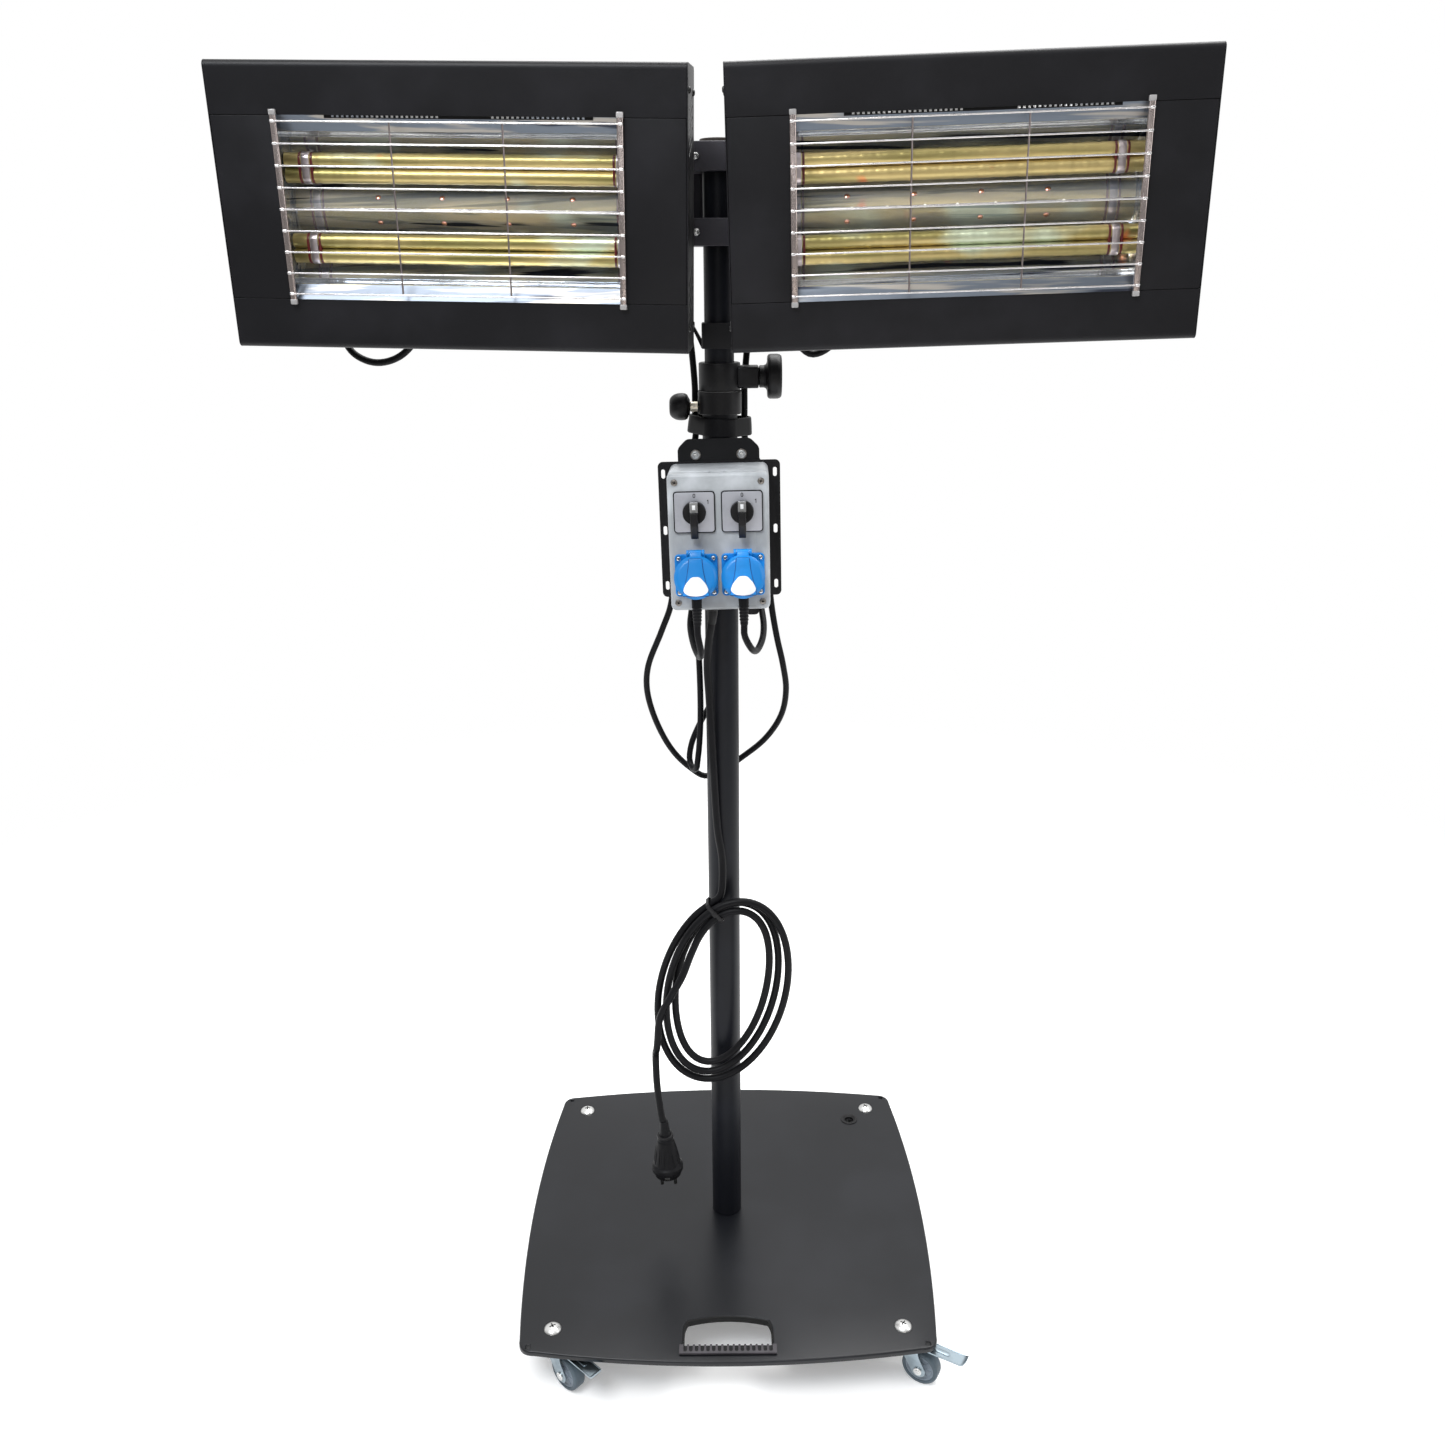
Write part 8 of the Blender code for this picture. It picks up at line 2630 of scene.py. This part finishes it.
@dataclass(frozen=True)
class Castor:
    """A swivel castor: pressed fork, grey wheel, and on the front ones a brake pedal.

    Attributes:
        name: Its name.
        place: Its X and Y.
        angle: The way that it trails, in degrees.
        trail: Distance from its swivel axis to its axle.
        radius: The wheel's radius.
        width: The wheel's width.
        spokes: Number of ribs on each side of the wheel.
        foot: Radius of a leg's foot round the axle.
        leg: A leg's inner and outer face.
        crown: Height of the crown's underside.
        crown_sheet: The crown's thickness.
        crown_half: How far the crown reaches back.
        pedal: The pedal's pivot in the castor's frame.
        pedal_reach: Where the pedal ends.
        pedal_width: Its width.
    """

    name: str
    place: tuple[float, float]
    angle: float
    trail: float = 0.028
    radius: float = 0.025
    width: float = 0.018
    spokes: int = 8
    foot: float = 0.0098
    leg: tuple[float, float] = (0.0115, 0.0135)
    crown: float = 0.0614
    crown_sheet: float = 0.0025
    crown_half: float = 0.017
    pedal: tuple[float, float] = (0.014, 0.0578)
    pedal_reach: float = 0.086
    pedal_width: float = 0.019

    @property
    def frame(self) -> Matrix:
        """The castor's frame on the floor under its swivel axis."""
        return placed((*self.place, 0), (0, 0, math.radians(self.angle)))

    @property
    def braked(self) -> bool:
        """Whether it has a brake pedal."""
        return self.name.startswith("front")

    def build(self) -> None:
        """Makes the castor's pieces."""
        self.fork()
        self.wheel()
        if self.braked:
            self.brake()

    def fork(self) -> None:
        """The pressed fork: two tapering legs, a crown with a swivel race, and the axle with its nuts."""
        shape = Shape(self.frame)
        near, far = self.leg
        top, sheet, axle = self.crown, self.crown_sheet, (self.trail, self.radius)
        turns = np.radians(np.linspace(-165, 25, 15))
        round_foot = np.array(axle) + self.foot * np.stack((np.cos(turns), np.sin(turns)), axis=-1)
        upper = [(self.trail * 0.97, 0.048), (self.trail * 0.9, top + sheet), (-self.crown_half, top + sheet),
                 (-self.crown_half, top - 0.0025), (-0.004, 0.050), (0.008, 0.041)]
        outline = np.vstack((round_foot, upper))
        rounds = np.r_[np.full(15, 0.001), 0.004, 0.0012, 0.0012, 0.002, 0.006, 0.008]
        outline = soften(outline, rounds, 3)
        hole = [circle(0.0026, 16, self.pedal)] if self.braked else []
        for sign in (-1, 1):
            # Painted shade: the fork's sheet finish is darkened for the shade under the plate.
            shape.slab(outline, *sorted((sign * near, sign * far)), FINISH.galvanised, "Y", 0.0005, hole)
            nut = (sign * (far - 0.0002), sign * (far + 0.0020))
            shape.rod(0.0056, *nut, FINISH.screw, "Y", axle, 6 if sign > 0 else 32, 0.0004)
        shape.rod(0.0030, -far - 0.0026, far + 0.0026, FINISH.screw, "Y", axle, 20, 0.0006)
        crown = rounded((self.trail * 0.88 + self.crown_half) / 2, far - GAP, 0.0025, 5,
                        ((self.trail * 0.88 - self.crown_half) / 2, 0))
        shape.slab(crown, top, top + sheet, FINISH.galvanised, "Z", 0.0005, [circle(0.0056, 32)])
        shape.piece(self.name + "_fork_body", self.name + "_fork", Slot.ZINC_PLATE, self.name + "_fork")

    def wheel(self) -> None:
        """The wheel: tyre with rounded shoulders, lighter sunk sides, hub and bore."""
        shape = Shape(placed((self.trail, 0, self.radius), parent=self.frame))
        half, r = self.width / 2, self.radius
        turns = np.linspace(0, math.pi / 2, 7)
        shoulder = [(r - 0.0034 * (1 - math.sin(t)), -half + 0.0034 * (1 - math.cos(t))) for t in turns]
        tyre = [(r * 0.78, -half * 0.80), (r * 0.79, -half * 0.96), *shoulder]
        tyre += [(a, -b) for a, b in tyre[::-1]]
        # Painted shade: the tyre and hub colours are darkened for the shade under the plate.
        shape.lathe(tyre, FINISH.tyre, "Y", sides=64, loop=True)
        sunk = half * 0.70
        rim = [(0.0033, -half), (r * 0.26, -half), (r * 0.28, -half * 0.94), (r * 0.31, -sunk),
               (r * 0.64, -sunk), (r * 0.70, -half * 0.84), (r * 0.79, -half * 0.86)]
        rim += [(a, -b) for a, b in rim[::-1]]
        shape.lathe(rim, FINISH.hub, "Y", sides=56, edge=0.0003, loop=True)
        for turn, sign in product(TAU * np.arange(self.spokes) / self.spokes, (-1, 1)):
            run = r * np.linspace(0.30, 0.66, 5)
            spoke = np.stack((run * math.cos(turn), np.full(5, sign * sunk), run * math.sin(turn)), axis=-1)
            shape.sweep(spoke, 0.0008, FINISH.hub, 8)
        shape.piece(self.name + "_wheel_body", self.name + "_wheel", Slot.WHEEL_GREY, self.name + "_wheel",
                    sharp=40)

    def brake(self) -> None:
        """The brake pedal: ribbed pressing with a turned-up toe, on its pivot pin."""
        shape = Shape(placed((self.pedal[0], 0, self.pedal[1]), parent=self.frame))
        reach, half, t = self.pedal_reach - self.pedal[0], self.pedal_width / 2, 0.001
        path = [(-0.0044, 0.0), (reach, 0.0), (reach + 0.0039, 0.0065)]
        line = soften(path, [0, 0.0035, 0], 7, closed=False)
        run = np.linspace(0, 1, 33)
        spine = np.stack([np.interp(run, np.linspace(0, 1, len(line)), line[:, k]) for k in range(2)],
                         axis=-1)
        x = np.r_[np.linspace(-0.0044, reach - 0.010, 20), np.linspace(reach - 0.0095, reach + 0.0038, 24)]
        level = np.interp(x, spine[:, 0], spine[:, 1])
        wide = half - 0.0045 * np.clip((x - reach + 0.004) / 0.0079, 0, 1) ** 2.2
        section = np.array([(-1, 0.0017), (-0.92, 0.0016), (-0.86, t), (0.86, t), (0.92, 0.0016),
                            (1, 0.0017), (1, -t * 0.4), (0.93, -t), (-0.93, -t), (-1, -t * 0.4)])
        rings = [np.stack((np.full(10, a), section[:, 0] * w, b + section[:, 1]), axis=-1)
                 for a, w, b in zip(x, wide, level)]
        # Painted shade: the pedal shares the fork's darkened sheet finish.
        shape.skin(np.array(rings), FINISH.galvanised)
        shape.slab(rounded(0.016, half * 0.34, half * 0.3, 5, (reach * 0.50, 0)), t * 0.8, t + 0.0009,
                   FINISH.galvanised, "Z", 0.0004)
        shape.rod(0.0022, -self.leg[1], self.leg[1], FINISH.galvanised, "Y", sides=20, edge=0.0003)
        shape.piece(self.name + "_pedal_body", self.name + "_pedal", Slot.ZINC_PLATE, self.name + "_pedal")


SPREAD = BasePlate.castor
CASTORS = (
    Castor("front_left", (-SPREAD, -SPREAD), -43),
    Castor("front_right", (SPREAD, -SPREAD), -30),
    Castor("rear_left", (-SPREAD, SPREAD), 205),
    Castor("rear_right", (SPREAD, SPREAD), 62),
)


def main() -> tuple[Vector, Vector]:
    """Builds the assemblies in order and reports each piece.

    Returns:
        The CAD's box, as its lowest and highest corner.
    """
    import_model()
    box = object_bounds()
    bpy.context.scene.view_settings.view_transform = "Standard"
    controls = [kind(side) for side in Side for kind in (RotarySwitch, SocketOutlet)]
    assemblies = [Viewpoint(), Studio(), Cords(), *map(Head, Side), Carrier(), Enclosure(), Strap(),
                  *controls, Mast(), HeadClamp(), BasePlate(), *CASTORS]
    for assembly in assemblies:
        known = set(bpy.data.objects.keys())
        assembly.build()
        for name in sorted(set(bpy.data.objects.keys()) - known):
            log.info("%s made %s", type(assembly).__name__, name)
    return box


if __name__ == "__main__":
    logging.basicConfig(level=logging.INFO)
    cad_box = main()
    seen_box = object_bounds()
    for label, corners in (("CAD", cad_box), ("scene", seen_box)):
        log.info("%s box %s", label, [[round(float(v), 4) for v in corner] for corner in corners])
